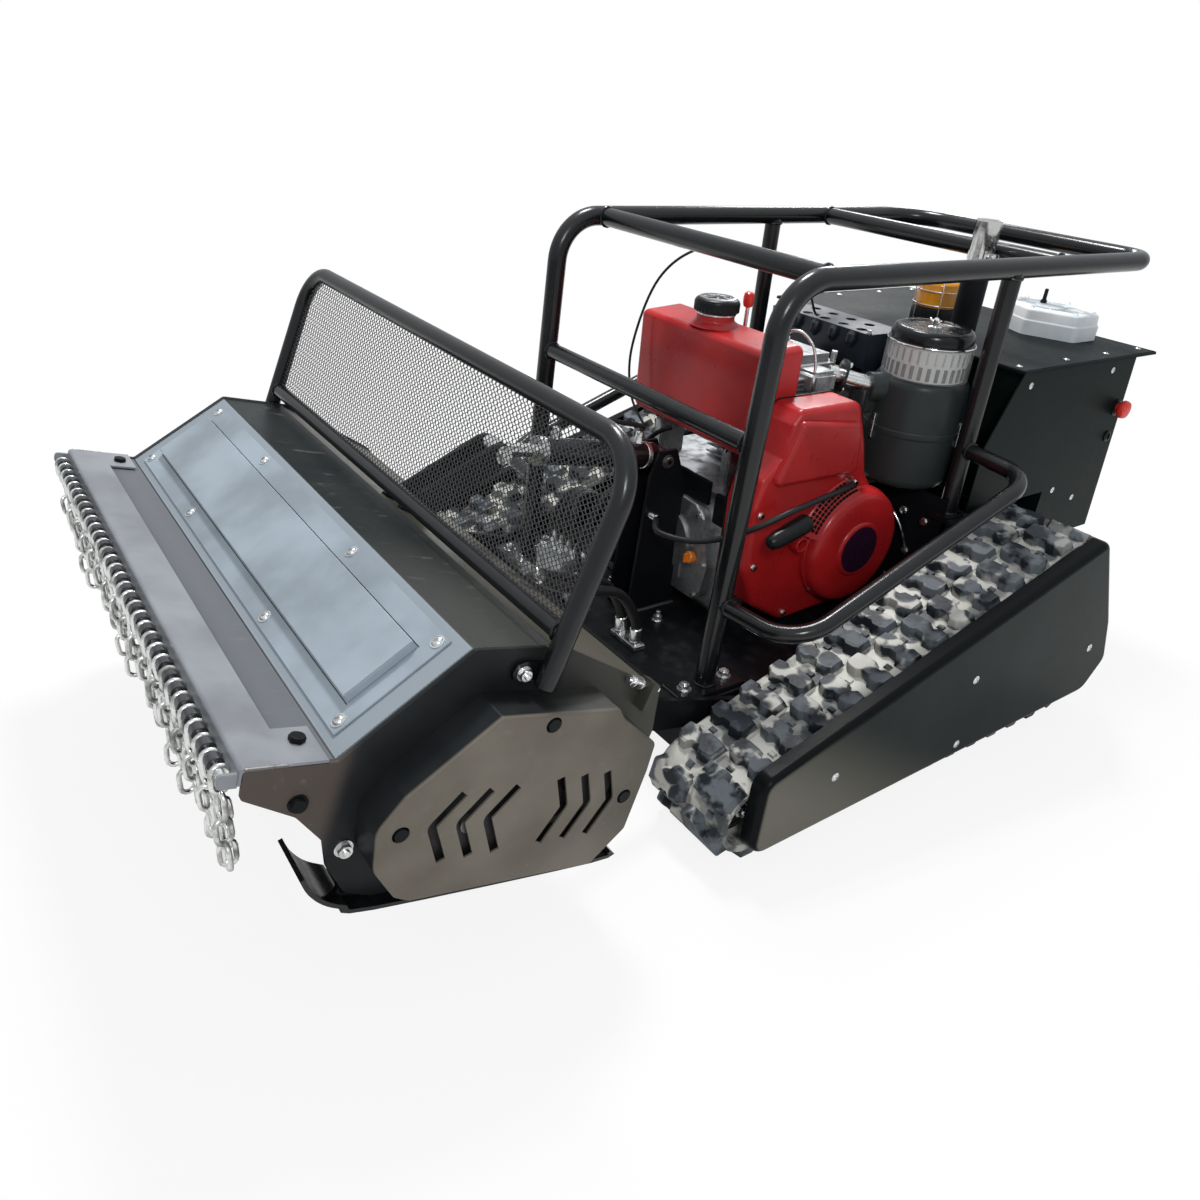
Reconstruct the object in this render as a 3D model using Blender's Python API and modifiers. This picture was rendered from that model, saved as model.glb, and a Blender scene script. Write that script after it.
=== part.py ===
"""Remote-controlled tracked flail mower, as an assembly of named pieces.

Metres, +Z up. The flail deck points to -Y and +X is the machine's left-hand side.
The tracks stand on z = 0 and the origin lies under the middle of the whole machine.
The deck is modelled level, in its own frame, and stored raised, as it is parked.
"""
import math

import bmesh
import bpy
from mathutils import Matrix, Vector

GAP = 0.0003            # clearance kept between pieces that touch
RUNNING = 0.0012        # radial clearance of a shaft in its bore

# Tracks: rubber belts on a front idler, a rear roller and a raised drive sprocket
BELT_INNER_X = 0.3945
BELT_WIDTH = 0.180
BELT_CARCASS = 0.014
LUG_HEIGHT = 0.018
LUG_PITCH = 0.072
LUG_SHARE = 0.56
BELT_HEIGHT = BELT_CARCASS + LUG_HEIGHT
IDLER_Y = -0.2225
IDLER_RADIUS = 0.0536
ROLLER_Y = 0.6638
ROLLER_RADIUS = 0.0572
SPROCKET_Y = 0.562
SPROCKET_Z = 0.340
SPROCKET_RADIUS = 0.0783
SPROCKET_TEETH = 12
IDLER_Z = IDLER_RADIUS + BELT_HEIGHT
ROLLER_Z = ROLLER_RADIUS + BELT_HEIGHT
WHEEL_WIDTH = 0.100
WHEEL_PLAY = 0.0011
WHEEL_X = BELT_INNER_X + BELT_WIDTH / 2
AXLE_RADIUS = 0.0125
DRIVE_MOTOR_RADIUS = 0.058
DRIVE_MOTOR_LENGTH = 0.150
DRIVE_SHAFT_RADIUS = 0.016
BEAM_TOP = 0.102
BEAM_ARM = 0.010
FORK_GAP = 0.012
FORK_REACH = 0.022
BEAM_BRACKETS = (0.000, 0.420)
COVER_POSTS = (0.020, 0.480)

# Track side covers: pressed pans outside the belts
COVER_X = 0.612
COVER_DEPTH = 0.034
COVER_SHEET = 0.003
COVER_OUTLINE = ((-0.2508, 0.0399), (-0.2466, 0.1920), (0.6060, 0.4460),
                 (0.7320, 0.2373), (0.7772, 0.1323), (0.7236, 0.0620))

# Chassis: welded tub between the tracks
TUB_HALF_WIDTH = 0.360
TUB_FRONT = -0.205
TUB_REAR = 0.780
TUB_BOTTOM = 0.070
TUB_TOP = 0.172
TUB_SHEET = 0.006
TOWER_TOP = 0.405
TOWER_INSET = 0.0007
TOWER_FRONT = 0.450
TOWER_REAR = 0.660
HATCH_FRONT = 0.100
HATCH_LENGTH = 0.300
HATCH_WIDTH = 0.260

# Cage: one bent main tube, cross bars, rear posts and two side loops
CAGE_TUBE = 0.019
CAGE_BAR = 0.018
LOOP_TUBE = 0.016
CAGE_BEND_FRONT = 0.090
CAGE_BEND_REAR = 0.060
CAGE_BEND_FAR = 0.120
LOOP_BEND_FRONT = 0.085
LOOP_BEND_REAR = 0.070
POST_PAD = 0.006
CAGE_HALF_WIDTH = 0.319
CAGE_TOP = 0.898
CAGE_FRONT = -0.087
CAGE_REAR = 0.984
FOOT_Y = -0.130
FOOT_PLATE = 0.008
FOOT_LENGTH = 0.144
FOOT_BOLT_SPACING = 0.096
FRONT_BAR_Y = 0.0137
MIDDLE_BAR_Y = 0.6662
LOW_BAR_Z = 0.636
POST_Y = 0.497
LOOP_X = 0.489
LOOP_FRONT_Z = 0.343
LOOP_REAR_Z = 0.548
LOOP_FRONT_Y = -0.100
LOOP_REAR_Y = 0.469

# Deck lift: one hinge in the tub's side walls, worked by a hydraulic cylinder
PIVOT_Y = -0.087
PIVOT_Z = 0.1418
PIVOT_RADIUS = 0.012
LIFT_ANGLE = math.radians(14.5)
ARM_X = 0.3662
ARM_SHEET = 0.012
LIFT_PIN = (-0.415, 0.330)
LIFT_PIN_RADIUS = 0.010
BRACKET_GAP = 0.044
BRACKET_SHEET = 0.010
ANCHOR_Y = -0.040
ANCHOR_Z = 0.500
ANCHOR_GAP = 0.056
ANCHOR_SHEET = 0.008
CYLINDER_RADIUS = 0.025
CYLINDER_LENGTH = 0.285
ROD_RADIUS = 0.0125
EYE_RADIUS = 0.020
EYE_PLAY = 0.003
ANCHOR_PIN_RADIUS = 0.009
BORE_START = 0.060
PIN_REACH = 0.030

# Deck, in its own level frame: u to the rear and w up, both from the lift hinge
DECK_HALF_WIDTH = 0.520
DECK_SHEET = 0.005
SIDE_SHEET = 0.006
SIDE_BOTTOM = -0.129
DECK_PROFILE = ((-0.962, 0.081), (-0.859, 0.081), (-0.713, 0.222), (-0.600, 0.224),
                (-0.388, 0.150), (-0.380, 0.020), (-0.430, -0.050))
SIDE_OUTLINE = ((-0.967, 0.083), (-0.859, 0.083), (-0.713, 0.2245), (-0.585, 0.2265),
                (-0.387, 0.154), (-0.372, 0.080), (-0.385, -0.020), (-0.430, SIDE_BOTTOM),
                (-0.775, SIDE_BOTTOM), (-0.812, -0.116), (-0.845, -0.070), (-0.857, -0.029),
                (-0.897, 0.012), (-0.965, 0.046))
SKID_NOSE = ((-0.882, -0.066), (-0.868, -0.088), (-0.846, -0.108), (-0.818, -0.121))
SIDE_BOLT = (-0.898, 0.036)
SKID_SHEET = 0.006
SKID_OUTER_X = DECK_HALF_WIDTH + 0.026
SKID_WIDTH = 0.080
CARRIER_SHEET = 0.0035
CARRIER_FRONT = -0.9675
CARRIER_REAR = -0.915
CARRIER_EAR = 0.045
CARRIER_LIP = 0.022
CHAIN_ROD = (-0.984, 0.0700)
CHAIN_ROD_RADIUS = 0.005
CHAIN_LINK = 0.0035
CHAIN_COUNT = 32
CHAIN_LENGTHS = (0.150, 0.172, 0.136, 0.164)

# Inspection cover on the sloping front of the deck
LID_HALF_WIDTH = DECK_HALF_WIDTH - 0.035
LID_RAISED_HALF = LID_HALF_WIDTH - 0.030
LID_SCREWS_X = (-LID_HALF_WIDTH + 0.015, -0.40 * LID_HALF_WIDTH, 0.40 * LID_HALF_WIDTH,
                LID_HALF_WIDTH - 0.015)
LID_SCREWS = (0.028, 0.177)
LID_LOW = 0.014
LID_HIGH = 0.190
LID_SHEET = 0.003
LID_HEIGHT = 0.016
LID_RAISED = (0.045, 0.160)

# Rotor, its belt drive and the cover over them
ROTOR = (-0.690, 0.005)
ROTOR_TUBE_RADIUS = 0.045
ROTOR_HALF_LENGTH = DECK_HALF_WIDTH - 0.030
ROTOR_SHAFT_RADIUS = 0.0175
BEARING_RADIUS = 0.040
BEARING_WIDTH = 0.014
FLAIL_TIP_RADIUS = 0.125
FLAIL_ROWS = 16
FLAIL_THICK = 0.006
FLAIL_WIDTH = 0.030
MOTOR = (-0.508, 0.035)
MOTOR_BODY_RADIUS = 0.045
MOTOR_BODY_LENGTH = 0.140
MOTOR_SHAFT_RADIUS = 0.0125
ROTOR_PULLEY_RADIUS = 0.085
MOTOR_PULLEY_RADIUS = 0.040
PULLEY_INNER_X = DECK_HALF_WIDTH + 0.023
PULLEY_WIDTH = 0.030
GROOVE_DEPTH = 0.009
BELT_THICK = 0.008
BELT_COVER_X = PULLEY_INNER_X + PULLEY_WIDTH + 0.012
BELT_COVER_SHEET = 0.003
BELT_COVER_OUTLINE = ((-0.823, 0.018), (-0.796, 0.064), (-0.692, 0.164), (-0.508, 0.162),
                      (-0.491, 0.143), (-0.420, 0.100), (-0.418, 0.054), (-0.423, -0.044),
                      (-0.468, -0.098), (-0.755, -0.096), (-0.777, -0.086), (-0.814, -0.040))
COVER_BOLTS = ((-0.791, 0.012), (-0.612, 0.147), (-0.448, 0.016))
COVER_BOLT_RADIUS = 0.010
SLOT_WIDTH = 0.0125
SLOT_FRONT = ((-0.717, 0.060), (-0.751, 0.015), (-0.725, -0.039))
SLOT_REAR = ((-0.573, 0.063), (-0.553, 0.016), (-0.578, -0.038))
SLOT_PITCH = 0.0393

# Guard: bent tube with a mesh, behind the deck's top edge
GUARD_TUBE = 0.0145
GUARD_X = DECK_HALF_WIDTH + 0.026
GUARD_FOOT = (-0.612, 0.180)
GUARD_TOP = (-0.572, 0.497)
GUARD_RAIL_W = 0.251
GUARD_BOLT = (-0.640, 0.193)
GUARD_BEND = 0.075
MESH_SHEET = 0.003
MESH_BAR = 0.010
MESH_COLUMNS = 12
MESH_ROWS = 3

# Engine: upright single cylinder, crankshaft along X, recoil starter on the left
CRANK_Y = 0.296
CRANK_Z = 0.343
CRANK_RADIUS = 0.020
PUMP_LEFT = -TUB_HALF_WIDTH + 0.122
PUMP_LENGTH = 0.080
CRANKCASE_LEFT = 0.158
CRANKCASE_RIGHT = -0.170
CRANKCASE_FRONT = 0.030
CRANKCASE_REAR = 0.385
CRANKCASE_TOP = 0.440
ENGINE_FOOT = 0.020
BARREL_HALF = 0.100
BARREL_FRONT = 0.180
BARREL_REAR = 0.380
BARREL_TOP = 0.600
FIN_COUNT = 6
HEAD_TOP = 0.690
SHROUD_LEFT = 0.232
SHROUD_SHEET = 0.003
SHROUD_OUTLINE = ((0.060, 0.245), (0.020, 0.330), (0.015, 0.465), (0.028, 0.520),
                  (0.070, 0.556), (0.085, 0.620), (0.105, 0.645), (0.262, 0.645),
                  (0.300, 0.560), (0.322, 0.490), (0.402, 0.395), (0.405, 0.290),
                  (0.360, 0.200), (0.150, 0.190))
FLYWHEEL_RADIUS = 0.095
RECOIL_RADIUS = 0.123
RECOIL_FACE_X = 0.276
HANDLE_PLACE = (0.285, 0.077, 0.426)
HANDLE_LENGTH = 0.096
HANDLE_RADIUS = 0.015

# Fuel tank in front of the cylinder
TANK_LOW = (-0.221, 0.057, 0.525)
TANK_HIGH = (0.157, 0.165, 0.735)
TANK_WALL = 0.004
TANK_CORNER = 0.014
LEVER_PLACE = (-0.060, 0.205)
LEVER_LENGTH = 0.093
LEVER_RADIUS = 0.006
LEVER_LIFT = 0.009
KNOB_RADIUS = 0.011
NECK = (-0.045, 0.108)
NECK_RADIUS = 0.036
NECK_RISE = 0.027
CAP_RADIUS = 0.045
CAP_HEIGHT = 0.028

# Air cleaner, muffler and exhaust stack
CLEANER = (0.190, 0.475)
CLEANER_BOTTOM = 0.444
CLEANER_SEAM = 0.560
CLEANER_SHOULDER = 0.665
CLEANER_RADIUS = 0.106
BOWL_RADIUS = 0.100
DOME_RADIUS = 0.083
DOME_TOP = 0.735
DOME_CAP_TOP = 0.776
MUFFLER_LOW = (-0.210, 0.430, 0.625)
MUFFLER_HIGH = (0.078, 0.548, 0.722)
PORT_X = -0.060
OUTLET_X = 0.045
STACK = (0.160, 0.620)
STACK_RADIUS = 0.027
STACK_FOOT_RADIUS = 0.036
STACK_PIPE = 0.016
STACK_BEND = 0.024
STACK_SLEEVE_TOP = 0.868
STACK_TIP_RADIUS = 0.0255
STACK_TIP_TOP = 0.958

# Rear box with the batteries and controls, and what stands on its lid
BOX_HALF_WIDTH = 0.345
BOX_SHEET = 0.003
BOX_TOP = 0.6997
BOX_FRONT_WALL = 0.600
BOX_BOTTOM = 0.412
BOX_OUTLINE = ((0.522, BOX_BOTTOM), (0.522, 0.550), (0.592, BOX_TOP), (1.015, BOX_TOP),
               (1.050, 0.285), (0.800, 0.285), (0.800, BOX_BOTTOM))
LID_FRONT_Y = 0.580
LID_REAR_Y = 1.085
LID_OVERHANG = 0.007
LID_TOP = 0.706
RECEIVER = (0.130, 0.985)
RECEIVER_RADIUS = 0.120
RECEIVER_SHARE = 0.78
RECEIVER_HEIGHT = 0.058
BEACON = (0.0, 0.735)
BEACON_BASE_RADIUS = 0.056
BEACON_LENS_RADIUS = 0.049
BEACON_BASE_TOP = 0.750
BEACON_TOP = 0.812
STOP_PLACE = (1.000, 0.585)
STOP_RADIUS = 0.020
STOP_STEM = 0.0105
STOP_TRAVEL = 0.006

# Cable and hose routes, as points chosen by hand
CABLE_ROUTE = ((0.0384, -0.070, 0.394), (0.056, -0.070, 0.394), (0.100, -0.098, 0.388),
               (0.160, -0.068, 0.388), (0.212, -0.026, 0.408), (0.255, 0.010, 0.442),
               (0.279, 0.065, 0.472), (0.278, 0.140, 0.484), (0.270, 0.205, 0.488),
               (0.252, 0.258, 0.487), (0.2340, 0.262, 0.487))
HOSE_ROUTE = ((0.100, -0.165, 0.1770), (0.103, -0.172, 0.235), (0.118, -0.230, 0.315),
              (0.130, -0.315, 0.350), (0.138, -0.395, 0.385), (0.142, -0.4485, 0.430))
HOSE_SPACING = 0.050
HOSE_RADIUS = 0.010

# The middle of the whole machine, which becomes the origin
MACHINE_MIDDLE_Y = 0.02595

# Finish of each family of pieces: colour, roughness, metallic
FINISHES = {
    "black_coat": ((0.025, 0.026, 0.028), 0.38, 0.3),
    "deck_coat": ((0.075, 0.072, 0.070), 0.42, 0.4),
    "slate_coat": ((0.190, 0.215, 0.240), 0.45, 0.3),
    "engine_red": ((0.520, 0.020, 0.035), 0.35, 0.0),
    "cast_aluminium": ((0.560, 0.570, 0.580), 0.50, 0.9),
    "bright_zinc": ((0.700, 0.710, 0.700), 0.30, 0.9),
    "chrome": ((0.800, 0.800, 0.790), 0.12, 1.0),
    "rubber": ((0.035, 0.037, 0.040), 0.80, 0.0),
    "black_plastic": ((0.022, 0.023, 0.025), 0.35, 0.0),
    "clear_plastic": ((0.750, 0.780, 0.790), 0.10, 0.0),
    "amber": ((0.900, 0.330, 0.010), 0.20, 0.0),
    "red_plastic": ((0.720, 0.030, 0.025), 0.35, 0.0),
    "steel": ((0.300, 0.300, 0.300), 0.45, 0.9),
}

MATERIALS = {}
FRAMES = {}


def start_scene():
    """Empty the scene and make the collections and the materials."""
    for item in list(bpy.data.objects):
        bpy.data.objects.remove(item, do_unlink=True)
    scene = bpy.context.scene.collection
    for name in ("flail_mower", "cutters"):
        collection = bpy.data.collections.get(name) or bpy.data.collections.new(name)
        if name not in scene.children:
            scene.children.link(collection)
    for name, (colour, roughness, metallic) in FINISHES.items():
        material = bpy.data.materials.new(name)
        material.use_nodes = True
        shader = material.node_tree.nodes["Principled BSDF"]
        shader.inputs["Base Color"].default_value = (*colour, 1.0)
        shader.inputs["Roughness"].default_value = roughness
        shader.inputs["Metallic"].default_value = metallic
        MATERIALS[name] = material


def place(name, data, finish=None, frame=None):
    """Link a new object, hung from the frame that it moves with."""
    item = bpy.data.objects.new(name, data)
    bpy.data.collections["flail_mower"].objects.link(item)
    if finish:
        item.data.materials.clear()
        item.data.materials.append(MATERIALS[finish])
    if frame or "machine" in FRAMES:
        item.parent = FRAMES[frame or "machine"]
    return item


def add_frame(name, location, tilt=0.0, parent=None):
    """An empty on a joint's axis; a positive tilt lowers what lies towards -Y."""
    empty = place(name, None, frame=parent)
    empty.location = location
    empty.rotation_euler.x = tilt
    FRAMES[name] = empty


def from_bmesh(name, shape, finish=None, frame=None):
    bmesh.ops.recalc_face_normals(shape, faces=shape.faces)
    mesh = bpy.data.meshes.new(name)
    shape.to_mesh(mesh)
    shape.free()
    return place(name, mesh, finish, frame)


def box(name, low, high, finish=None, frame=None):
    """A block between two corners, given in any order."""
    low, high = Vector(low), Vector(high)
    size = high - low
    shape = bmesh.new()
    bmesh.ops.create_cube(shape, size=1.0,
                          matrix=Matrix.Diagonal((abs(size.x), abs(size.y), abs(size.z), 1.0)))
    item = from_bmesh(name, shape, finish, frame)
    item.location = (low + high) / 2
    return item


def rod(name, start, end, radius, sides=20, finish=None, frame=None, end_radius=None):
    """A cylinder, or a cone with a second radius, from one point to another."""
    start, end = Vector(start), Vector(end)
    along = end - start
    shape = bmesh.new()
    bmesh.ops.create_cone(shape, cap_ends=True, segments=sides, radius1=radius,
                          radius2=radius if end_radius is None else end_radius,
                          depth=along.length)
    item = from_bmesh(name, shape, finish, frame)
    item.location = (start + end) / 2
    item.rotation_euler = along.to_track_quat("Z", "Y").to_euler()
    smooth(item)
    return item


def smooth(item):
    item.data.shade_smooth()
    item.data.set_sharp_from_angle(angle=math.radians(35))


FACING = {"X": (math.radians(90), 0.0, math.radians(90)),
          "Y": (math.radians(90), 0.0, math.radians(180)), "Z": (0.0, 0.0, 0.0)}


def prism(name, outline, low, high, finish=None, frame=None, holes=(), axis="X"):
    """A flat outline with any holes, made thick along an axis.

    Along X the outline is in (y, z), along Y it is in (-x, z), along Z in (x, y).
    """
    curve = bpy.data.curves.new(name, "CURVE")
    curve.dimensions = "2D"
    curve.fill_mode = "BOTH"
    curve.extrude = abs(high - low) / 2
    for ring in (outline, *holes):
        spline = curve.splines.new("POLY")
        spline.points.add(len(ring) - 1)
        for point, (across, up) in zip(spline.points, ring):
            point.co = (across, up, 0.0, 1.0)
        spline.use_cyclic_u = True
    item = place(name, curve)
    item.location["XYZ".index(axis)] = (low + high) / 2
    item.rotation_euler = FACING[axis]
    return as_mesh(item, finish, frame)


def turned(name, profile, centre, axis="Z", sides=24, finish=None, frame=None, bore=None):
    """A turned shape from a profile of (radius, height), which runs up its outer side."""
    bottom, top = profile[0][1], profile[-1][1]
    line = [(radius, 0.0, height) for radius, height in profile[::-1]]
    if bore is None:
        line = [(0.0, 0.0, top), *line, (0.0, 0.0, bottom)]
    else:
        line = [*line, (bore, 0.0, bottom), (bore, 0.0, top)]
    edges = [(k, k + 1) for k in range(len(line) - 1)]
    if bore is not None:
        edges.append((len(line) - 1, 0))
    mesh = bpy.data.meshes.new(name)
    mesh.from_pydata(line, edges, [])
    item = place(name, mesh, finish, frame)
    item.location = centre
    item.rotation_euler = {"X": (0.0, math.radians(90), 0.0), "Y": (math.radians(-90), 0.0, 0.0),
                           "Z": (0.0, 0.0, 0.0)}[axis]
    screw = item.modifiers.new("turned", "SCREW")
    screw.steps = sides
    screw.render_steps = sides
    screw.use_merge_vertices = True
    screw.merge_threshold = 0.00002
    screw.use_smooth_shade = True
    return item


def tube(name, points, radius, resolution=4, finish=None, frame=None):
    """A round tube along a list of points, with closed ends."""
    curve = bpy.data.curves.new(name, "CURVE")
    curve.dimensions = "3D"
    curve.bevel_depth = radius
    curve.bevel_resolution = resolution
    curve.use_fill_caps = True
    spline = curve.splines.new("POLY")
    spline.points.add(len(points) - 1)
    for target, point in zip(spline.points, points):
        target.co = (*point, 1.0)
    item = as_mesh(place(name, curve), finish, frame)
    smooth(item)
    return item


def as_mesh(item, finish=None, frame=None):
    """Replace a curve by the closed mesh that it makes, in the same place."""
    bpy.context.view_layer.update()
    graph = bpy.context.evaluated_depsgraph_get()
    mesh = bpy.data.meshes.new_from_object(item.evaluated_get(graph))
    name, location, turn = item.name, item.location.copy(), item.rotation_euler.copy()
    bpy.data.objects.remove(item, do_unlink=True)
    shape = bmesh.new()
    shape.from_mesh(mesh)
    bmesh.ops.remove_doubles(shape, verts=shape.verts, dist=0.00001)
    bmesh.ops.recalc_face_normals(shape, faces=shape.faces)
    shape.to_mesh(mesh)
    shape.free()
    mesh.name = name
    result = place(name, mesh, finish, frame)
    result.location = location
    result.rotation_euler = turn
    return result


def pan(name, outline, open_x, closed_x, sheet_size, corner, finish=None, frame=None, segments=1):
    """A pressed pan: a closed face with rounded edges and sides, made as a shell."""
    shape = bmesh.new()
    ring = [shape.verts.new((closed_x, y, z)) for y, z in outline]
    face = shape.faces.new(ring)
    rim = bmesh.ops.extrude_edge_only(shape, edges=face.edges[:])
    bmesh.ops.translate(shape, vec=(open_x - closed_x, 0, 0),
                        verts=[v for v in rim["geom"] if isinstance(v, bmesh.types.BMVert)])
    bmesh.ops.recalc_face_normals(shape, faces=shape.faces)
    if (face.normal.x > 0) != (closed_x > open_x):
        bmesh.ops.reverse_faces(shape, faces=shape.faces)
    mesh = bpy.data.meshes.new(name)
    shape.to_mesh(mesh)
    shape.free()
    item = place(name, mesh, finish, frame)
    bevel(item, corner, segments, 15)
    shell = item.modifiers.new("shell", "SOLIDIFY")
    shell.thickness = sheet_size
    shell.offset = -1.0
    shell.use_even_offset = True
    return item


def combine(item, tool, operation):
    """Cut or join an object with another, which becomes a hidden guide."""
    collection = bpy.data.collections["cutters"]
    bpy.data.collections["flail_mower"].objects.unlink(tool)
    collection.objects.link(tool)
    tool.hide_render = True
    tool.display_type = "WIRE"
    modifier = item.modifiers.new(operation.lower(), "BOOLEAN")
    modifier.operation = operation
    modifier.solver = "EXACT"
    modifier.object = tool
    return item


def cut(item, *tools):
    for tool in tools:
        combine(item, tool, "DIFFERENCE")
    return item


def fuse(item, *tools):
    for tool in tools:
        combine(item, tool, "UNION")
    return item


def together(name, pieces, frame=None):
    """Several solids that don't touch, as one tool for a cut or a join."""
    bpy.context.view_layer.update()
    graph = bpy.context.evaluated_depsgraph_get()
    back = FRAMES[frame or "machine"].matrix_world.inverted()
    shape = bmesh.new()
    for piece in pieces:
        mesh = bpy.data.meshes.new_from_object(piece.evaluated_get(graph))
        mesh.transform(back @ piece.matrix_world)
        shape.from_mesh(mesh)
        bpy.data.meshes.remove(mesh)
    for piece in pieces:
        bpy.data.objects.remove(piece, do_unlink=True)
    return from_bmesh(name, shape, None, frame)


def bevel(item, width, segments=2, angle=30):
    """Rounded edges; the width is clamped where pieces are too small for it."""
    modifier = item.modifiers.new("rounded_edges", "BEVEL")
    modifier.width = width
    modifier.segments = segments
    modifier.limit_method = "ANGLE"
    modifier.angle_limit = math.radians(angle)
    return item


def circle(centre, radius, sides=24, start=0.0):
    return [(centre[0] + radius * math.cos(start + math.tau * k / sides),
             centre[1] + radius * math.sin(start + math.tau * k / sides)) for k in range(sides)]


def offset(points, distance, closed=True):
    """Move each edge of an outline to its left by a distance, with mitred corners."""
    count = len(points)
    result = []
    for k in range(count):
        here = Vector(points[k])
        before = Vector(points[k - 1]) if closed or k > 0 else None
        after = Vector(points[(k + 1) % count]) if closed or k < count - 1 else None
        sides = []
        if before is not None:
            sides.append((here - before).normalized())
        if after is not None:
            sides.append((after - here).normalized())
        lefts = [Vector((-side.y, side.x)) for side in sides]
        middle = sum(lefts, Vector((0.0, 0.0))).normalized()
        result.append(tuple(here + middle * distance / middle.dot(lefts[0])))
    return result


def sheet(path, thickness):
    """The closed outline of a bent sheet whose path is its middle line."""
    left = offset(path, thickness / 2, closed=False)
    right = offset(path, -thickness / 2, closed=False)
    return left + right[::-1]


def rounded(points, radii, steps=5):
    """A path through points in space, with its corners rounded to the radii."""
    points = [Vector(point) for point in points]
    path = [points[0]]
    for k, radius in enumerate(radii, start=1):
        into = (points[k] - points[k - 1]).normalized()
        out = (points[k + 1] - points[k]).normalized()
        turn = into.angle(out)
        reach = radius * math.tan(turn / 2)
        normal = (out - into * into.dot(out)).normalized()
        centre = points[k] - into * reach + normal * radius
        for step in range(steps + 1):
            angle = turn * step / steps
            path.append(centre - normal * radius * math.cos(angle) + into * radius * math.sin(angle))
    path.append(points[-1])
    return path


def mirrored(side, low, high):
    """Corners of a block on the left (side 1) or the right (side -1)."""
    return (side * low[0], low[1], low[2]), (side * high[0], high[1], high[2])


def wrap_outline(circles):
    """The line that a belt takes round circles given in turn, as a function of length."""
    parts = []
    count = len(circles)
    normals = []
    for k in range(count):
        (y0, z0, r0), (y1, z1, r1) = circles[k], circles[(k + 1) % count]
        along = Vector((y1 - y0, z1 - z0))
        share = (r0 - r1) / along.length
        along.normalize()
        normals.append(along * share + Vector((along.y, -along.x)) * math.sqrt(1 - share * share))
    for k in range(count):
        y, z, radius = circles[k]
        start = math.atan2(normals[k - 1].y, normals[k - 1].x)
        sweep = (math.atan2(normals[k].y, normals[k].x) - start) % math.tau
        parts.append(("arc", Vector((y, z)), radius, start, sweep, radius * sweep))
        y1, z1, r1 = circles[(k + 1) % count]
        first = Vector((y, z)) + normals[k] * radius
        last = Vector((y1, z1)) + normals[k] * r1
        parts.append(("line", first, last, normals[k], (last - first).length))
    total = sum(part[-1] for part in parts)

    def at(length, height):
        length %= total
        for part in parts:
            if length <= part[-1]:
                break
            length -= part[-1]
        if part[0] == "arc":
            _, centre, radius, start, sweep, size = part
            angle = start + sweep * length / size
            return tuple(centre + Vector((math.cos(angle), math.sin(angle))) * (radius + height))
        _, first, last, normal, size = part
        return tuple(first.lerp(last, length / size) + normal * height)

    def bends(step):
        """Lengths at which the line needs a point: along each arc, and at its ends."""
        lengths = []
        reached = 0.0
        for part in parts:
            if part[0] == "arc":
                pieces = max(1, round(part[4] / step))
                lengths += [reached + part[5] * k / pieces for k in range(pieces + 1)]
            reached += part[-1]
        return lengths

    return at, bends, total


TRACK_WHEELS = ((IDLER_Y, IDLER_Z, IDLER_RADIUS), (ROLLER_Y, ROLLER_Z, ROLLER_RADIUS),
                (SPROCKET_Y, SPROCKET_Z, SPROCKET_RADIUS))


def track_belt(side, name):
    """Rubber belt: a ring round the three wheels with raised lugs across it."""
    at, bends, total = wrap_outline(TRACK_WHEELS)
    inner = [at(length, 0.0) for length in bends(math.radians(15))]
    lugs = round(total * (1 + BELT_CARCASS / 0.3) / LUG_PITCH)
    pitch = total / lugs
    outline = []
    for k in range(lugs):
        start = k * pitch
        end = start + LUG_SHARE * pitch
        outline += [at(start, BELT_CARCASS), at(start, BELT_HEIGHT),
                    at(end, BELT_HEIGHT), at(end, BELT_CARCASS)]
    prism(name, outline, side * BELT_INNER_X, side * (BELT_INNER_X + BELT_WIDTH), "rubber", holes=[inner])


def track_wheels(side, label):
    """Idler, rear roller and toothed drive sprocket of one side."""
    frame_places = {"front_idler": (IDLER_Y, IDLER_Z), "rear_roller": (ROLLER_Y, ROLLER_Z),
                    "drive_sprocket": (SPROCKET_Y, SPROCKET_Z)}
    for piece, (y, z) in frame_places.items():
        add_frame(f"{piece}_{label}_axis", (side * WHEEL_X, y, z))
    half = WHEEL_WIDTH / 2
    for piece, radius in (("front_idler", IDLER_RADIUS), ("rear_roller", ROLLER_RADIUS)):
        rim = circle((0, 0), radius - WHEEL_PLAY, 24)
        bore = circle((0, 0), AXLE_RADIUS + RUNNING, 16)
        prism(f"{piece}_{label}", rim, -half, half, "black_coat",
              f"{piece}_{label}_axis", holes=[bore])
    teeth = []
    for k in range(SPROCKET_TEETH):
        for share, radius in ((-0.30, 0.82), (-0.18, 1.0), (0.18, 1.0), (0.30, 0.82)):
            angle = math.tau * (k + share) / SPROCKET_TEETH
            size = (SPROCKET_RADIUS - WHEEL_PLAY) * radius
            teeth.append((size * math.cos(angle), size * math.sin(angle)))
    bore = circle((0, 0), DRIVE_SHAFT_RADIUS + RUNNING, 20)
    prism(f"drive_sprocket_{label}", teeth, -half, half, "steel",
          f"drive_sprocket_{label}_axis", holes=[bore])


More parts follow.
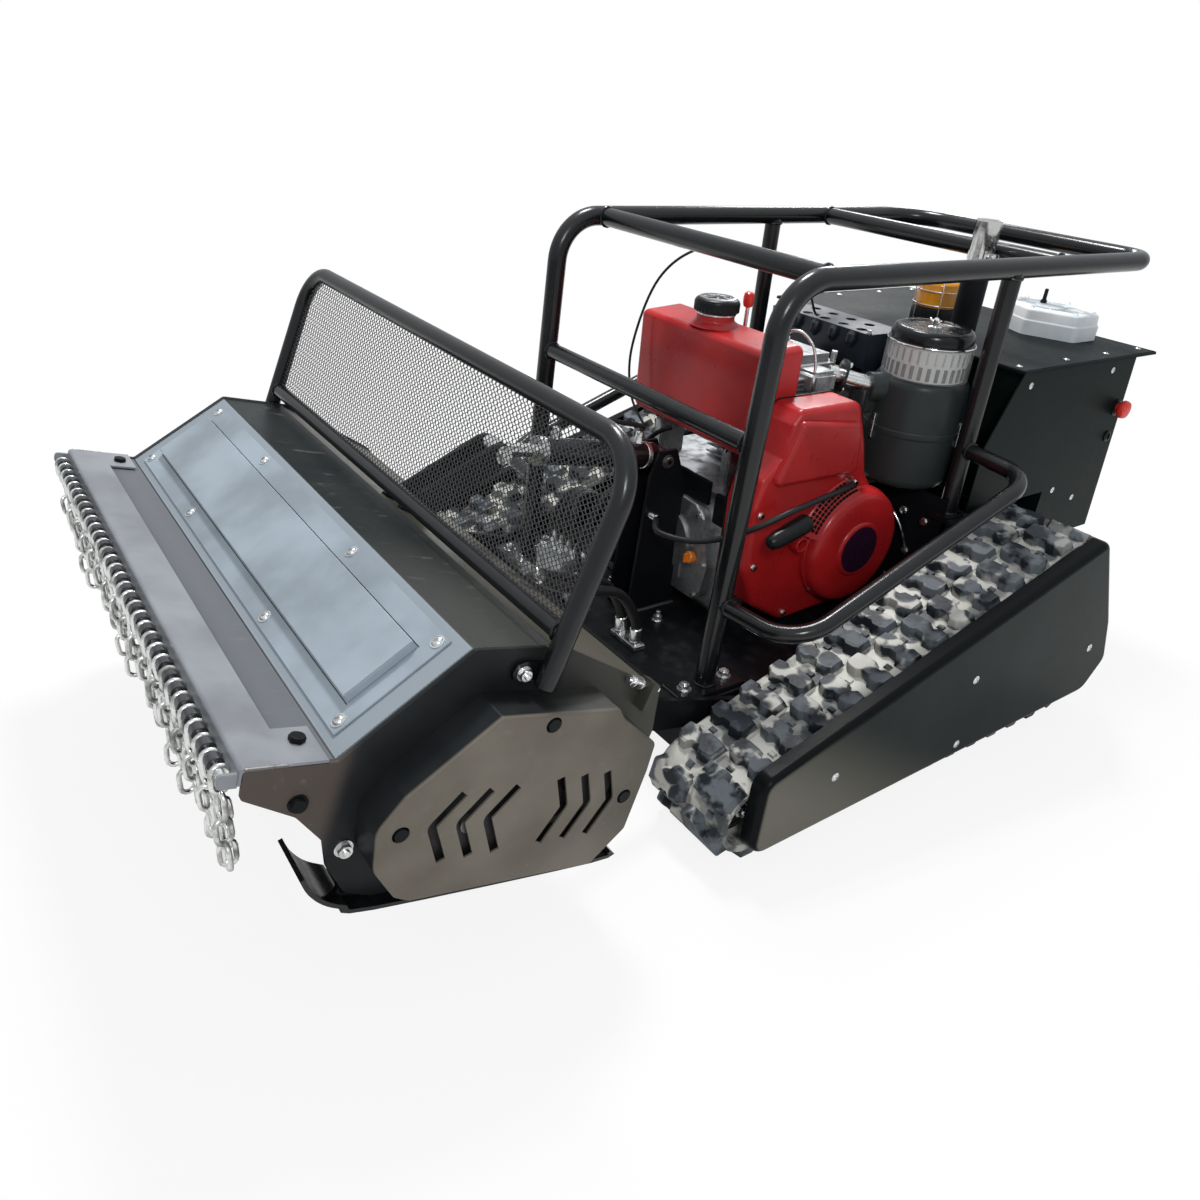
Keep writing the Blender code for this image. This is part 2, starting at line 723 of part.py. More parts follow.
def track_frame(side, name):
    """Frame inside a belt: slide rail, forks and axles for the wheels, cover posts."""
    slide_z = GAP + BELT_HEIGHT
    arm_low = WHEEL_X - WHEEL_WIDTH / 2 - GAP - BEAM_ARM
    arm_high = WHEEL_X + WHEEL_WIDTH / 2 + GAP
    low, high = arm_low + 0.001, arm_high + BEAM_ARM - 0.001
    front = IDLER_Y + IDLER_RADIUS + FORK_GAP
    rear = ROLLER_Y - ROLLER_RADIUS - FORK_GAP
    beam = box(name, *mirrored(side, (low, front, slide_z), (high, rear, BEAM_TOP)), "black_coat")
    for y, z, inner, reach in ((IDLER_Y, IDLER_Z, front, -FORK_REACH), (ROLLER_Y, ROLLER_Z, rear, FORK_REACH)):
        for arm_x in (arm_low, arm_high):
            arm = box("arm", *mirrored(side, (arm_x, inner - reach, z - 0.020),
                                       (arm_x + BEAM_ARM, y + reach, z + 0.014)))
            fuse(beam, arm)
        axle = rod("axle", (side * (arm_low + 0.002), y, z),
                   (side * (arm_high + BEAM_ARM - 0.002), y, z), AXLE_RADIUS, 16)
        fuse(beam, axle)
    for y in BEAM_BRACKETS:
        bracket = box("bracket", *mirrored(side, (TUB_HALF_WIDTH + GAP, y - 0.045, 0.080),
                                           (low + 0.010, y + 0.045, 0.098)))
        fuse(beam, bracket)
    for y in COVER_POSTS:
        post = box("post", *mirrored(side, (high - 0.010, y - 0.010, 0.068),
                                     (COVER_X - COVER_SHEET - GAP, y + 0.010, 0.090)))
        fuse(beam, post)


def track_cover(side, name):
    """Pressed side cover: a shallow pan open towards the belt."""
    pan(name, COVER_OUTLINE, side * (COVER_X - COVER_DEPTH), side * COVER_X, COVER_SHEET,
        0.006, "black_coat")


def drive_motor(side, name):
    """Geared drive motor on the inside of its tower, with its output shaft."""
    wall = TUB_HALF_WIDTH - TUB_SHEET + TOWER_INSET
    centre = (SPROCKET_Y, SPROCKET_Z)
    body = rod(name, (side * (wall - GAP - DRIVE_MOTOR_LENGTH), *centre), (side * (wall - GAP), *centre),
               DRIVE_MOTOR_RADIUS, 24, "cast_aluminium")
    shaft = rod("shaft", (side * (wall - 0.02), *centre),
                (side * (WHEEL_X + WHEEL_WIDTH / 2 + 0.004), *centre), DRIVE_SHAFT_RADIUS, 16)
    fuse(body, shaft)


def chassis_tub():
    """Welded tub: a hollow box with side towers, lift anchor, box pads and foot pads."""
    tub = box("chassis_tub", (-TUB_HALF_WIDTH, TUB_FRONT, TUB_BOTTOM),
              (TUB_HALF_WIDTH, TUB_REAR, TUB_TOP), "black_coat")
    wall = TUB_SHEET
    hollow = box("tub_hollow", (-TUB_HALF_WIDTH + wall, TUB_FRONT + wall, TUB_BOTTOM + wall),
                 (TUB_HALF_WIDTH - wall, TUB_REAR - wall, TUB_TOP - wall))
    hatch = box("hatch", (-HATCH_WIDTH / 2, HATCH_FRONT, TUB_BOTTOM - 0.01),
                (HATCH_WIDTH / 2, HATCH_FRONT + HATCH_LENGTH, TUB_BOTTOM + wall + 0.005))
    cut(tub, hollow, hatch)
    for side in (1, -1):
        inner = side * (TUB_HALF_WIDTH - wall + TOWER_INSET)
        tower_outline = ((TOWER_FRONT - 0.060, TUB_TOP - 0.020), (TOWER_FRONT, TOWER_TOP),
                         (TOWER_REAR, TOWER_TOP), (TOWER_REAR + 0.080, TUB_TOP - 0.020))
        tower = prism(f"tower_{side}", tower_outline, inner, side * (TUB_HALF_WIDTH - TOWER_INSET))
        shelf = box(f"shelf_{side}", *mirrored(side, (CAGE_HALF_WIDTH - 0.024, POST_Y - 0.032, TOWER_TOP - 0.009),
                                               (TUB_HALF_WIDTH - 0.002, POST_Y + 0.024, TOWER_TOP - 0.001)))
        pad = box(f"pad_{side}", *mirrored(side, (BOX_HALF_WIDTH - 0.040, TOWER_REAR - 0.100, TOWER_TOP - 0.006),
                                           (TUB_HALF_WIDTH - 0.002, TOWER_REAR - 0.004, BOX_BOTTOM - GAP)))
        fuse(tub, tower, shelf, pad)
        shaft_hole = rod(f"shaft_hole_{side}", (side * (TUB_HALF_WIDTH - 0.04), SPROCKET_Y, SPROCKET_Z),
                         (side * (TUB_HALF_WIDTH + 0.02), SPROCKET_Y, SPROCKET_Z),
                         DRIVE_SHAFT_RADIUS + 0.004, 20)
        pin_hole = rod(f"pin_hole_{side}", (side * (TUB_HALF_WIDTH - 0.04), PIVOT_Y, PIVOT_Z),
                       (side * (TUB_HALF_WIDTH + 0.02), PIVOT_Y, PIVOT_Z), PIVOT_RADIUS + GAP, 20)
        cut(tub, shaft_hole, pin_hole)
        plate_x = side * ANCHOR_GAP / 2
        top = ANCHOR_Z + EYE_RADIUS + 0.002
        anchor = prism(f"anchor_{side}", ((ANCHOR_Y - 0.060, TUB_TOP - 0.003), (ANCHOR_Y - 0.038, ANCHOR_Z - 0.030),
                                          (ANCHOR_Y - 0.020, top), (ANCHOR_Y + 0.022, top),
                                          (ANCHOR_Y + 0.052, ANCHOR_Z - 0.050), (ANCHOR_Y + 0.058, TUB_TOP - 0.003)),
                       plate_x, plate_x + side * ANCHOR_SHEET)
        fuse(tub, anchor)
    web_y = ANCHOR_Y + EYE_RADIUS + 0.024
    web = box("anchor_web", (-ANCHOR_GAP / 2 - 0.002, web_y, TUB_TOP - 0.002),
              (ANCHOR_GAP / 2 + 0.002, web_y + 0.006, ANCHOR_Z - 0.100))
    fuse(tub, web)
    anchor_hole = rod("anchor_hole", (-ANCHOR_GAP, ANCHOR_Y, ANCHOR_Z), (ANCHOR_GAP, ANCHOR_Y, ANCHOR_Z),
                      ANCHOR_PIN_RADIUS + GAP, 20)
    cut(tub, anchor_hole)


def cage():
    """Roll cage of bent tube. Cross bars are coped round the tubes they meet."""
    foot_z = TUB_TOP + GAP + FOOT_PLATE
    left = CAGE_HALF_WIDTH
    path = rounded([(left, FOOT_Y, foot_z - 0.003), (left, CAGE_FRONT, CAGE_TOP),
                    (left, CAGE_REAR, CAGE_TOP), (-left, CAGE_REAR, CAGE_TOP),
                    (-left, CAGE_FRONT, CAGE_TOP), (-left, FOOT_Y, foot_z - 0.003)],
                   (CAGE_BEND_FRONT, CAGE_BEND_REAR, CAGE_BEND_FAR, CAGE_BEND_FRONT))
    main = tube("cage_main_tube", path, CAGE_TUBE, finish="black_coat")
    for side in (1, -1):
        x = side * left
        plate = box("foot_plate", (x - 0.034, FOOT_Y - FOOT_LENGTH / 2, TUB_TOP + GAP),
                    (x + 0.034, FOOT_Y + FOOT_LENGTH / 2, TUB_TOP + GAP + FOOT_PLATE))
        fuse(main, plate)
        for end in (1, -1):
            y = FOOT_Y + end * FOOT_BOLT_SPACING / 2
            fuse(main, rod("foot_bolt", (x, y, foot_z - 0.002), (x, y, foot_z + 0.009), 0.0115, 6))
    for name, y in (("cage_front_bar", FRONT_BAR_Y), ("cage_middle_bar", MIDDLE_BAR_Y)):
        bar = rod(name, (-left, y, CAGE_TOP), (left, y, CAGE_TOP), CAGE_BAR, 12, "black_coat")
        for side in (1, -1):
            rail = rod("rail", (side * left, y - 0.05, CAGE_TOP), (side * left, y + 0.05, CAGE_TOP),
                       CAGE_TUBE + GAP, 12)
            beyond = box("beyond", *mirrored(side, (left, y - 0.04, CAGE_TOP - 0.04),
                                             (left + 0.03, y + 0.04, CAGE_TOP + 0.04)))
            cut(bar, rail, beyond)
    low_bar = rod("cage_low_bar", (-left, leg_y(LOW_BAR_Z), LOW_BAR_Z),
                  (left, leg_y(LOW_BAR_Z), LOW_BAR_Z), CAGE_BAR - 0.002, 12, "black_coat")
    for side in (1, -1):
        cope_on_leg(low_bar, side, LOW_BAR_Z)
        beyond = box("beyond", *mirrored(side, (left, leg_y(LOW_BAR_Z) - 0.04, LOW_BAR_Z - 0.04),
                                         (left + 0.03, leg_y(LOW_BAR_Z) + 0.04, LOW_BAR_Z + 0.04)))
        cut(low_bar, beyond)
    cage_side(1, "cage_side_left")
    cage_side(-1, "cage_side_right")


def leg_y(z):
    """Where the front leg stands at a height, on its straight part."""
    foot_z = TUB_TOP + GAP + FOOT_PLATE - 0.003
    return FOOT_Y + (CAGE_FRONT - FOOT_Y) * (z - foot_z) / (CAGE_TOP - foot_z)


def cope_on_leg(item, side, z):
    x = side * CAGE_HALF_WIDTH
    leg = rod("leg", (x, leg_y(z - 0.08), z - 0.08), (x, leg_y(z + 0.08), z + 0.08),
              CAGE_TUBE + GAP, 12)
    cut(item, leg)


def cage_side(side, name):
    """Rear post with the side loop that bows outwards from the front leg to it."""
    x = side * CAGE_HALF_WIDTH
    post = rod(name, (x, POST_Y, TOWER_TOP - 0.001 + GAP + POST_PAD - 0.002), (x, POST_Y, CAGE_TOP),
               CAGE_BAR, 12, "black_coat")
    rail = rod("rail", (x, POST_Y - 0.05, CAGE_TOP), (x, POST_Y + 0.05, CAGE_TOP), CAGE_TUBE + GAP, 12)
    above = box("above", (x - 0.04, POST_Y - 0.04, CAGE_TOP), (x + 0.04, POST_Y + 0.04, CAGE_TOP + 0.04))
    cut(post, rail, above)
    pad = box("post_pad", (x - 0.024, POST_Y - 0.030, TOWER_TOP - 0.001 + GAP),
              (x + 0.024, POST_Y + 0.022, TOWER_TOP - 0.001 + GAP + POST_PAD))
    path = rounded([(x, leg_y(LOOP_FRONT_Z), LOOP_FRONT_Z), (side * LOOP_X, LOOP_FRONT_Y, LOOP_FRONT_Z),
                    (side * LOOP_X, LOOP_REAR_Y, LOOP_REAR_Z), (x, POST_Y, LOOP_REAR_Z)],
                   (LOOP_BEND_FRONT, LOOP_BEND_REAR))
    loop = tube("side_loop", path, LOOP_TUBE)
    cope_on_leg(loop, side, LOOP_FRONT_Z)
    beyond = box("beyond", *mirrored(side, (CAGE_HALF_WIDTH - 0.04, leg_y(LOOP_FRONT_Z) - 0.04, LOOP_FRONT_Z - 0.04),
                                     (CAGE_HALF_WIDTH, leg_y(LOOP_FRONT_Z) + 0.04, LOOP_FRONT_Z + 0.04)))
    cut(loop, beyond)
    fuse(post, pad, loop)





def engine():
    """Crankcase and finned barrel, head, red shroud, recoil starter and flywheel."""
    base = TUB_TOP + GAP
    top = CRANKCASE_TOP
    block = box("engine_block", (CRANKCASE_RIGHT, CRANKCASE_FRONT, base + ENGINE_FOOT),
                (CRANKCASE_LEFT, CRANKCASE_REAR, top), "cast_aluminium")
    bevel(block, 0.012, 2)
    for y in (CRANKCASE_FRONT + 0.05, CRANKCASE_REAR - 0.05):
        foot = box("foot", (CRANKCASE_RIGHT - 0.03, y - 0.02, base),
                   (CRANKCASE_LEFT - 0.02, y + 0.02, base + ENGINE_FOOT + 0.012))
        fuse(block, foot)
    barrel = box("barrel", (-BARREL_HALF + 0.015, BARREL_FRONT + 0.012, top - 0.01),
                 (BARREL_HALF - 0.015, BARREL_REAR - 0.012, BARREL_TOP))
    fuse(block, barrel)
    fin_step = (BARREL_TOP - top) / FIN_COUNT
    fins = []
    for k in range(FIN_COUNT):
        z = top + (k + 0.5) * fin_step
        fins.append(box("fin", (-BARREL_HALF, BARREL_FRONT, z - 0.003), (BARREL_HALF, BARREL_REAR, z + 0.003)))
    fuse(block, together("fins", fins))
    stands = []
    for x in (TANK_LOW[0] + 0.075, TANK_HIGH[0] - 0.085):
        stands.append(box("tank_stand", (x - 0.012, TANK_LOW[1] + 0.020, top - 0.010),
                          (x + 0.012, TANK_HIGH[1] - 0.020, TANK_LOW[2] - GAP)))
    y = CLEANER[1]
    stands.append(box("cleaner_shelf", (CRANKCASE_LEFT - 0.06, CRANKCASE_REAR - 0.030, CLEANER_BOTTOM - 0.010),
                      (CRANKCASE_LEFT - 0.001, y + 0.030, CLEANER_BOTTOM - GAP)))
    fuse(block, together("stands", stands))
    crank_bore = rod("crank_bore", (CRANKCASE_RIGHT - 0.1, CRANK_Y, CRANK_Z),
                     (CRANKCASE_LEFT + 0.1, CRANK_Y, CRANK_Z), CRANK_RADIUS + RUNNING, 24)
    cut(block, crank_bore)
    head = box("cylinder_head", (-BARREL_HALF - 0.005, BARREL_FRONT, BARREL_TOP + GAP),
               (BARREL_HALF + 0.005, BARREL_REAR, HEAD_TOP - 0.030), "cast_aluminium")
    rocker_cover = box("rocker_cover", (-BARREL_HALF + 0.02, BARREL_FRONT + 0.02, HEAD_TOP - 0.035),
                       (BARREL_HALF - 0.02, BARREL_REAR - 0.03, HEAD_TOP))
    fuse(head, rocker_cover)
    bevel(head, 0.008, 2)
    lever_x, lever_y = LEVER_PLACE
    for side in (1, -1):
        near = lever_x + side * (LEVER_RADIUS + GAP)
        fuse(head, box("lever_lug", (near, lever_y - 0.007, HEAD_TOP - 0.003),
                       (near + side * 0.005, lever_y + 0.007, HEAD_TOP + LEVER_LIFT + 0.006)))
    intake_elbow(head)
    fan_shroud()
    recoil_starter()
    add_frame("crank_axis", (0.0, CRANK_Y, CRANK_Z))
    turned("flywheel", [(CRANK_RADIUS, PUMP_LEFT + 0.003), (CRANK_RADIUS, CRANKCASE_LEFT + 0.015),
                        (FLYWHEEL_RADIUS, CRANKCASE_LEFT + 0.015), (FLYWHEEL_RADIUS, SHROUD_LEFT - 0.045),
                        (0.030, SHROUD_LEFT - 0.045), (0.030, SHROUD_LEFT - 0.015)],
           (0, 0, 0), "X", 24, "steel", "crank_axis")


def fan_shroud():
    """Red air shroud over the flywheel: a deep pan with an opening for the starter."""
    shroud = pan("fan_shroud", SHROUD_OUTLINE, CRANKCASE_LEFT + GAP, SHROUD_LEFT, SHROUD_SHEET, 0.014,
                 "engine_red", segments=2)
    mouth = rod("mouth", (SHROUD_LEFT - 0.02, CRANK_Y, CRANK_Z),
                (SHROUD_LEFT + 0.02, CRANK_Y, CRANK_Z), RECOIL_RADIUS - 0.030, 24)
    cut(shroud, mouth)
    x, y, z = HANDLE_PLACE
    fuse(shroud, rod("rope_guide", (SHROUD_LEFT - 0.002, y, z), (x - HANDLE_RADIUS - GAP, y, z), 0.011, 12))


def recoil_starter():
    """Dished starter cover, with the pull handle that parks beside it."""
    x = SHROUD_LEFT + GAP
    turned("recoil_cover", [(RECOIL_RADIUS, 0.0), (RECOIL_RADIUS, 0.018),
                            (RECOIL_RADIUS - 0.010, 0.032), (RECOIL_RADIUS / 2, RECOIL_FACE_X - x)],
           (x, CRANK_Y, CRANK_Z), "X", 24, "engine_red")
    add_frame("recoil_pull_axis", HANDLE_PLACE)
    rod("recoil_handle", (0, -HANDLE_LENGTH / 2, -0.010), (0, HANDLE_LENGTH / 2, 0.012),
        HANDLE_RADIUS, 12, "black_plastic", "recoil_pull_axis")


def fuel_tank():
    """Hollow tank with a neck, its screw cap and the decompression lever behind it."""
    tank = box("fuel_tank", TANK_LOW, TANK_HIGH, "engine_red")
    bevel(tank, TANK_CORNER, 2)
    neck_top = TANK_HIGH[2] + NECK_RISE
    neck = rod("neck", (*NECK, TANK_HIGH[2] - 0.010), (*NECK, neck_top), NECK_RADIUS, 24)
    fuse(tank, neck)
    inside = box("tank_hollow", [value + TANK_WALL for value in TANK_LOW],
                 [value - TANK_WALL for value in TANK_HIGH])
    bevel(inside, TANK_CORNER - TANK_WALL / 2, 2)
    throat = rod("throat", (*NECK, TANK_HIGH[2] - 0.020), (*NECK, neck_top + 0.01),
                 NECK_RADIUS - TANK_WALL, 20)
    cut(tank, inside, throat)
    add_frame("fuel_cap_axis", (*NECK, neck_top + GAP))
    turned("fuel_cap", [(CAP_RADIUS, 0.0), (CAP_RADIUS, CAP_HEIGHT * 0.75),
                        (CAP_RADIUS - 0.006, CAP_HEIGHT)],
           (0, 0, 0), "Z", 24, "black_plastic", "fuel_cap_axis")
    add_frame("decompression_axis", (*LEVER_PLACE, HEAD_TOP + LEVER_LIFT))
    lever = rod("decompression_lever", (0, 0, 0), (0, 0, LEVER_LENGTH), LEVER_RADIUS, 12,
                "red_plastic", "decompression_axis")
    knob = rod("knob", (0, 0, LEVER_LENGTH - 0.010), (0, 0, LEVER_LENGTH + 0.025), KNOB_RADIUS, 16,
               frame="decompression_axis")
    fuse(lever, knob)


def air_cleaner():
    """Oil-bath air cleaner with the clear pre-cleaner that stands on it."""
    x, y = CLEANER
    turned("air_cleaner", [(BOWL_RADIUS - 0.012, CLEANER_BOTTOM), (BOWL_RADIUS, CLEANER_BOTTOM + 0.012),
                           (BOWL_RADIUS, CLEANER_SEAM - 0.004), (CLEANER_RADIUS, CLEANER_SEAM),
                           (CLEANER_RADIUS, CLEANER_SHOULDER - 0.012),
                           (CLEANER_RADIUS - 0.010, CLEANER_SHOULDER)],
           (x, y, 0), "Z", 24, "black_plastic")
    turned("pre_cleaner", [(DOME_RADIUS - 0.002, CLEANER_SHOULDER + GAP), (DOME_RADIUS - 0.002, DOME_TOP),
                           (DOME_RADIUS, DOME_TOP), (DOME_RADIUS, DOME_TOP + 0.014),
                           (DOME_RADIUS - 0.014, DOME_CAP_TOP - 0.006), (0.012, DOME_CAP_TOP - 0.006),
                           (0.005, DOME_CAP_TOP + 0.010)],
           (x, y, 0), "Z", 24, "clear_plastic")


def intake_elbow(head):
    """Intake pipe from the air cleaner's side to the head, ending in a flange."""
    x, y = CLEANER
    z = (BARREL_TOP + HEAD_TOP) / 2 - 0.010
    side_x = BARREL_HALF + 0.005
    middle = (BARREL_FRONT + BARREL_REAR) / 2 + 0.045
    path = rounded([(side_x - 0.010, middle, z), (side_x + 0.030, middle, z), (x, y, z)], (0.026,))
    elbow = tube("intake_elbow", path, 0.020, 3)
    body = rod("cleaner_clearance", (x, y, z - 0.1), (x, y, z + 0.1), CLEANER_RADIUS + GAP, 24)
    cut(elbow, body)
    fuse(head, elbow)


def exhaust():
    """Box muffler behind the head; its pipe runs through the rear box and up the stack."""
    muffler = box("muffler", MUFFLER_LOW, MUFFLER_HIGH, "black_coat")
    bevel(muffler, 0.012, 2)
    port_z = (BARREL_TOP + HEAD_TOP) / 2 - 0.005
    fuse(muffler, rod("exhaust_port", (PORT_X, BARREL_REAR + GAP, port_z),
                      (PORT_X, MUFFLER_LOW[1] + 0.01, port_z), 0.020, 16))
    x, y = STACK
    low = (MUFFLER_LOW[2] + MUFFLER_HIGH[2]) / 2 - 0.010
    path = rounded([(OUTLET_X, MUFFLER_HIGH[1] + GAP, low), (OUTLET_X, y, low), (x, y, low),
                    (x, y, LID_TOP + 0.020)], (STACK_BEND, STACK_BEND))
    stack = tube("exhaust_stack", path, STACK_PIPE, 2, "black_coat")
    sleeve = turned("sleeve", [(STACK_FOOT_RADIUS, LID_TOP + GAP), (STACK_FOOT_RADIUS, LID_TOP + 0.006),
                               (STACK_RADIUS, LID_TOP + 0.006), (STACK_RADIUS, STACK_SLEEVE_TOP),
                               (STACK_TIP_RADIUS, STACK_SLEEVE_TOP), (STACK_TIP_RADIUS, STACK_TIP_TOP)],
                    (x, y, 0), "Z", 16)
    bore = rod("tip_bore", (x, y, STACK_SLEEVE_TOP - 0.03), (x, y, STACK_TIP_TOP + 0.01),
               STACK_TIP_RADIUS - 0.002, 16)
    fuse(stack, sleeve)
    cut(stack, bore)
    return path


def pump_and_cable():
    """Gear pump on the crankshaft's right end, and the throttle cable in its casing."""
    pump = box("hydraulic_pump", (PUMP_LEFT - PUMP_LENGTH, CRANK_Y - 0.045, CRANK_Z - 0.050),
               (PUMP_LEFT, CRANK_Y + 0.045, CRANK_Z + 0.050), "cast_aluminium")
    bevel(pump, 0.008, 2)
    stand = box("pump_stand", (PUMP_LEFT - 0.052, CRANK_Y - 0.035, TUB_TOP + GAP),
                (PUMP_LEFT - 0.024, CRANK_Y + 0.035, CRANK_Z - 0.040))
    fuse(pump, stand)
    tube("throttle_cable", smooth_route(CABLE_ROUTE, 3), 0.006, 2, "black_plastic")


def smooth_route(points, steps):
    """Catmull-Rom points through a route chosen by hand."""
    points = [Vector(point) for point in points]
    path = []
    for k in range(len(points) - 1):
        before = points[max(k - 1, 0)]
        here, there = points[k], points[k + 1]
        after = points[min(k + 2, len(points) - 1)]
        for step in range(steps):
            t = step / steps
            path.append(0.5 * ((2 * here) + (there - before) * t
                               + (2 * before - 5 * here + 4 * there - after) * t * t
                               + (3 * here - before - 3 * there + after) * t * t * t))
    path.append(points[-1])
    return path


def rear_box(pipe):
    """Sheet box with its lid and what is mounted on them."""
    half = BOX_HALF_WIDTH
    shell = prism("rear_box", BOX_OUTLINE, -half, half, "black_coat")
    inner = offset(BOX_OUTLINE, -BOX_SHEET)
    inner = [(max(y, BOX_FRONT_WALL + BOX_SHEET), z + (0.02 if z > BOX_TOP - 0.02 else 0.0))
             for y, z in inner if not 0.5 < z < 0.6]
    cut(shell, prism("box_hollow", inner, -half + BOX_SHEET, half - BOX_SHEET))
    cut(shell, box("between_cheeks", (-half + BOX_SHEET, BOX_OUTLINE[0][0] - 0.01, BOX_BOTTOM - 0.01),
                   (half - BOX_SHEET, BOX_FRONT_WALL, BOX_TOP + 0.01)))
    stop_y, stop_z = STOP_PLACE
    cut(shell, rod("stop_hole", (half - 0.02, stop_y, stop_z), (half + 0.02, stop_y, stop_z),
                   STOP_STEM + RUNNING, 20))
    first, x, y = pipe[0], *STACK
    cut(shell, rod("pipe_hole", (first.x, first.y - 0.03, first.z), (first.x, first.y + 0.07, first.z),
                   STACK_PIPE + 0.006, 20))
    lid_half = half + LID_OVERHANG
    lid = box("rear_box_lid", (-lid_half, LID_FRONT_Y, BOX_TOP + GAP),
              (lid_half, LID_REAR_Y, LID_TOP), "black_coat")
    cut(lid, rod("stack_hole", (x, y, LID_TOP - 0.03), (x, y, LID_TOP + 0.03), STACK_PIPE + 0.002, 20))
    x, y = RECEIVER
    hexagon = [(x + RECEIVER_RADIUS * math.cos(a), y + RECEIVER_SHARE * RECEIVER_RADIUS * math.sin(a))
               for a in (math.tau * (k + 0.5) / 6 for k in range(6))]
    receiver = prism("receiver_housing", hexagon, LID_TOP + GAP, LID_TOP + RECEIVER_HEIGHT,
                     "cast_aluminium", axis="Z")
    bevel(receiver, 0.006, 2)
    x, y = BEACON
    turned("beacon", [(BEACON_BASE_RADIUS, LID_TOP + GAP), (BEACON_BASE_RADIUS, BEACON_BASE_TOP),
                      (BEACON_LENS_RADIUS, BEACON_BASE_TOP), (BEACON_LENS_RADIUS, BEACON_TOP - 0.014),
                      (BEACON_LENS_RADIUS - 0.018, BEACON_TOP)], (x, y, 0), "Z", 24, "amber")
    add_frame("stop_button_axis", (half, stop_y, stop_z))
    turned("stop_button", [(STOP_STEM, -0.016), (STOP_STEM, STOP_TRAVEL + 0.006), (STOP_RADIUS, STOP_TRAVEL + 0.006),
                           (STOP_RADIUS, STOP_TRAVEL + 0.018), (STOP_RADIUS - 0.004, STOP_TRAVEL + 0.022)],
           (0, 0, 0), "X", 20, "red_plastic", "stop_button_axis")


def deck_body():
    """Bent deck shell with its push arms and lift bracket, side plates and skids."""
    half = DECK_HALF_WIDTH
    middle = offset(DECK_PROFILE, -DECK_SHEET / 2, closed=False)
    shell = prism("deck_shell", sheet(middle, DECK_SHEET), -half, half, "deck_coat", "deck")
    lift_linkage(shell)
    for side, label in ((1, "left"), (-1, "right")):
        inner = half + GAP
        plate = prism(f"deck_side_{label}", SIDE_OUTLINE, side * inner, side * (inner + SIDE_SHEET),
                      "deck_coat", "deck")
        hole = rod("rotor_hole", (side * (half - 0.02), *ROTOR), (side * (half + 0.03), *ROTOR),
                   ROTOR_SHAFT_RADIUS + 0.004, 20, frame="deck")
        cut(plate, hole)
        end = inner + SIDE_SHEET
        bearing = prism("bearing", circle(ROTOR, BEARING_RADIUS, 16), side * (end - 0.002),
                        side * (end + BEARING_WIDTH), frame="deck",
                        holes=[circle(ROTOR, ROTOR_SHAFT_RADIUS + RUNNING, 20)])
        fuse(plate, bearing)
        fuse(plate, rod("side_bolt", (side * (end - 0.002), *SIDE_BOLT), (side * (end + 0.008), *SIDE_BOLT),
                        0.012, 6, frame="deck"))
        if side > 0:
            cut(plate, rod("motor_hole", (half - 0.02, *MOTOR), (half + 0.03, *MOTOR),
                           MOTOR_SHAFT_RADIUS + 0.006, 20, frame="deck"))
        skid(side, f"skid_{label}")
    chain_carrier()
    inspection_cover()


def skid(side, name):
    """Runner under a side plate, with two tabs bolted inside it."""
    outer = SKID_OUTER_X
    low = SIDE_BOTTOM - GAP - SKID_SHEET / 2
    path = [*SKID_NOSE, (-0.776, low), (-0.424, low), (-0.395, low + 0.011)]
    runner = prism(name, sheet(path, SKID_SHEET), side * (outer - SKID_WIDTH), side * outer,
                   "black_coat", "deck")
    for u in (-0.800, -0.470):
        floor = low if u > -0.776 else low + 0.010
        tab = box("tab", *mirrored(side, (DECK_HALF_WIDTH - 0.0085, u - 0.020, floor - 0.001),
                                   (DECK_HALF_WIDTH - GAP, u + 0.020, SIDE_BOTTOM + 0.065)), frame="deck")
        fuse(runner, tab)


def chain_carrier():
    """Bolted strip on the deck's front edge with a lip, eyes and the chain rod."""
    half = DECK_HALF_WIDTH + SIDE_SHEET
    low = SIDE_OUTLINE[0][1] + GAP
    high = low + CARRIER_SHEET
    strip = box("chain_carrier", (-half, CARRIER_FRONT, low), (half, CARRIER_REAR, high),
                "deck_coat", "deck")
    lip = box("lip", (-half, CARRIER_FRONT - 0.0035, high - CARRIER_LIP),
              (half, CARRIER_FRONT + 0.0001, high - 0.0002), frame="deck")
    fuse(strip, lip)
    rod_u, rod_w = CHAIN_ROD
    for side in (1, -1):
        ear = box("ear", *mirrored(side, (half - 0.075, CARRIER_REAR - 0.002, low + 0.0002),
                                   (half - 0.0003, CARRIER_REAR + CARRIER_EAR, high - 0.0002)), frame="deck")
        u = CARRIER_REAR + 0.022
        head = rod("ear_bolt", (side * (half - 0.046), u, high - 0.001),
                   (side * (half - 0.046), u, high + 0.008), 0.010, 6, frame="deck")
        eye = box("eye", *mirrored(side, (half - 0.008, rod_u - 0.009, rod_w - 0.009),
                                   (half - 0.002, CARRIER_FRONT - 0.001, rod_w + 0.009)), frame="deck")
        fuse(strip, ear, head, eye)
    fuse(strip, rod("chain_rod", (-half + 0.003, rod_u, rod_w), (half - 0.003, rod_u, rod_w),
                    CHAIN_ROD_RADIUS, 12, frame="deck"))


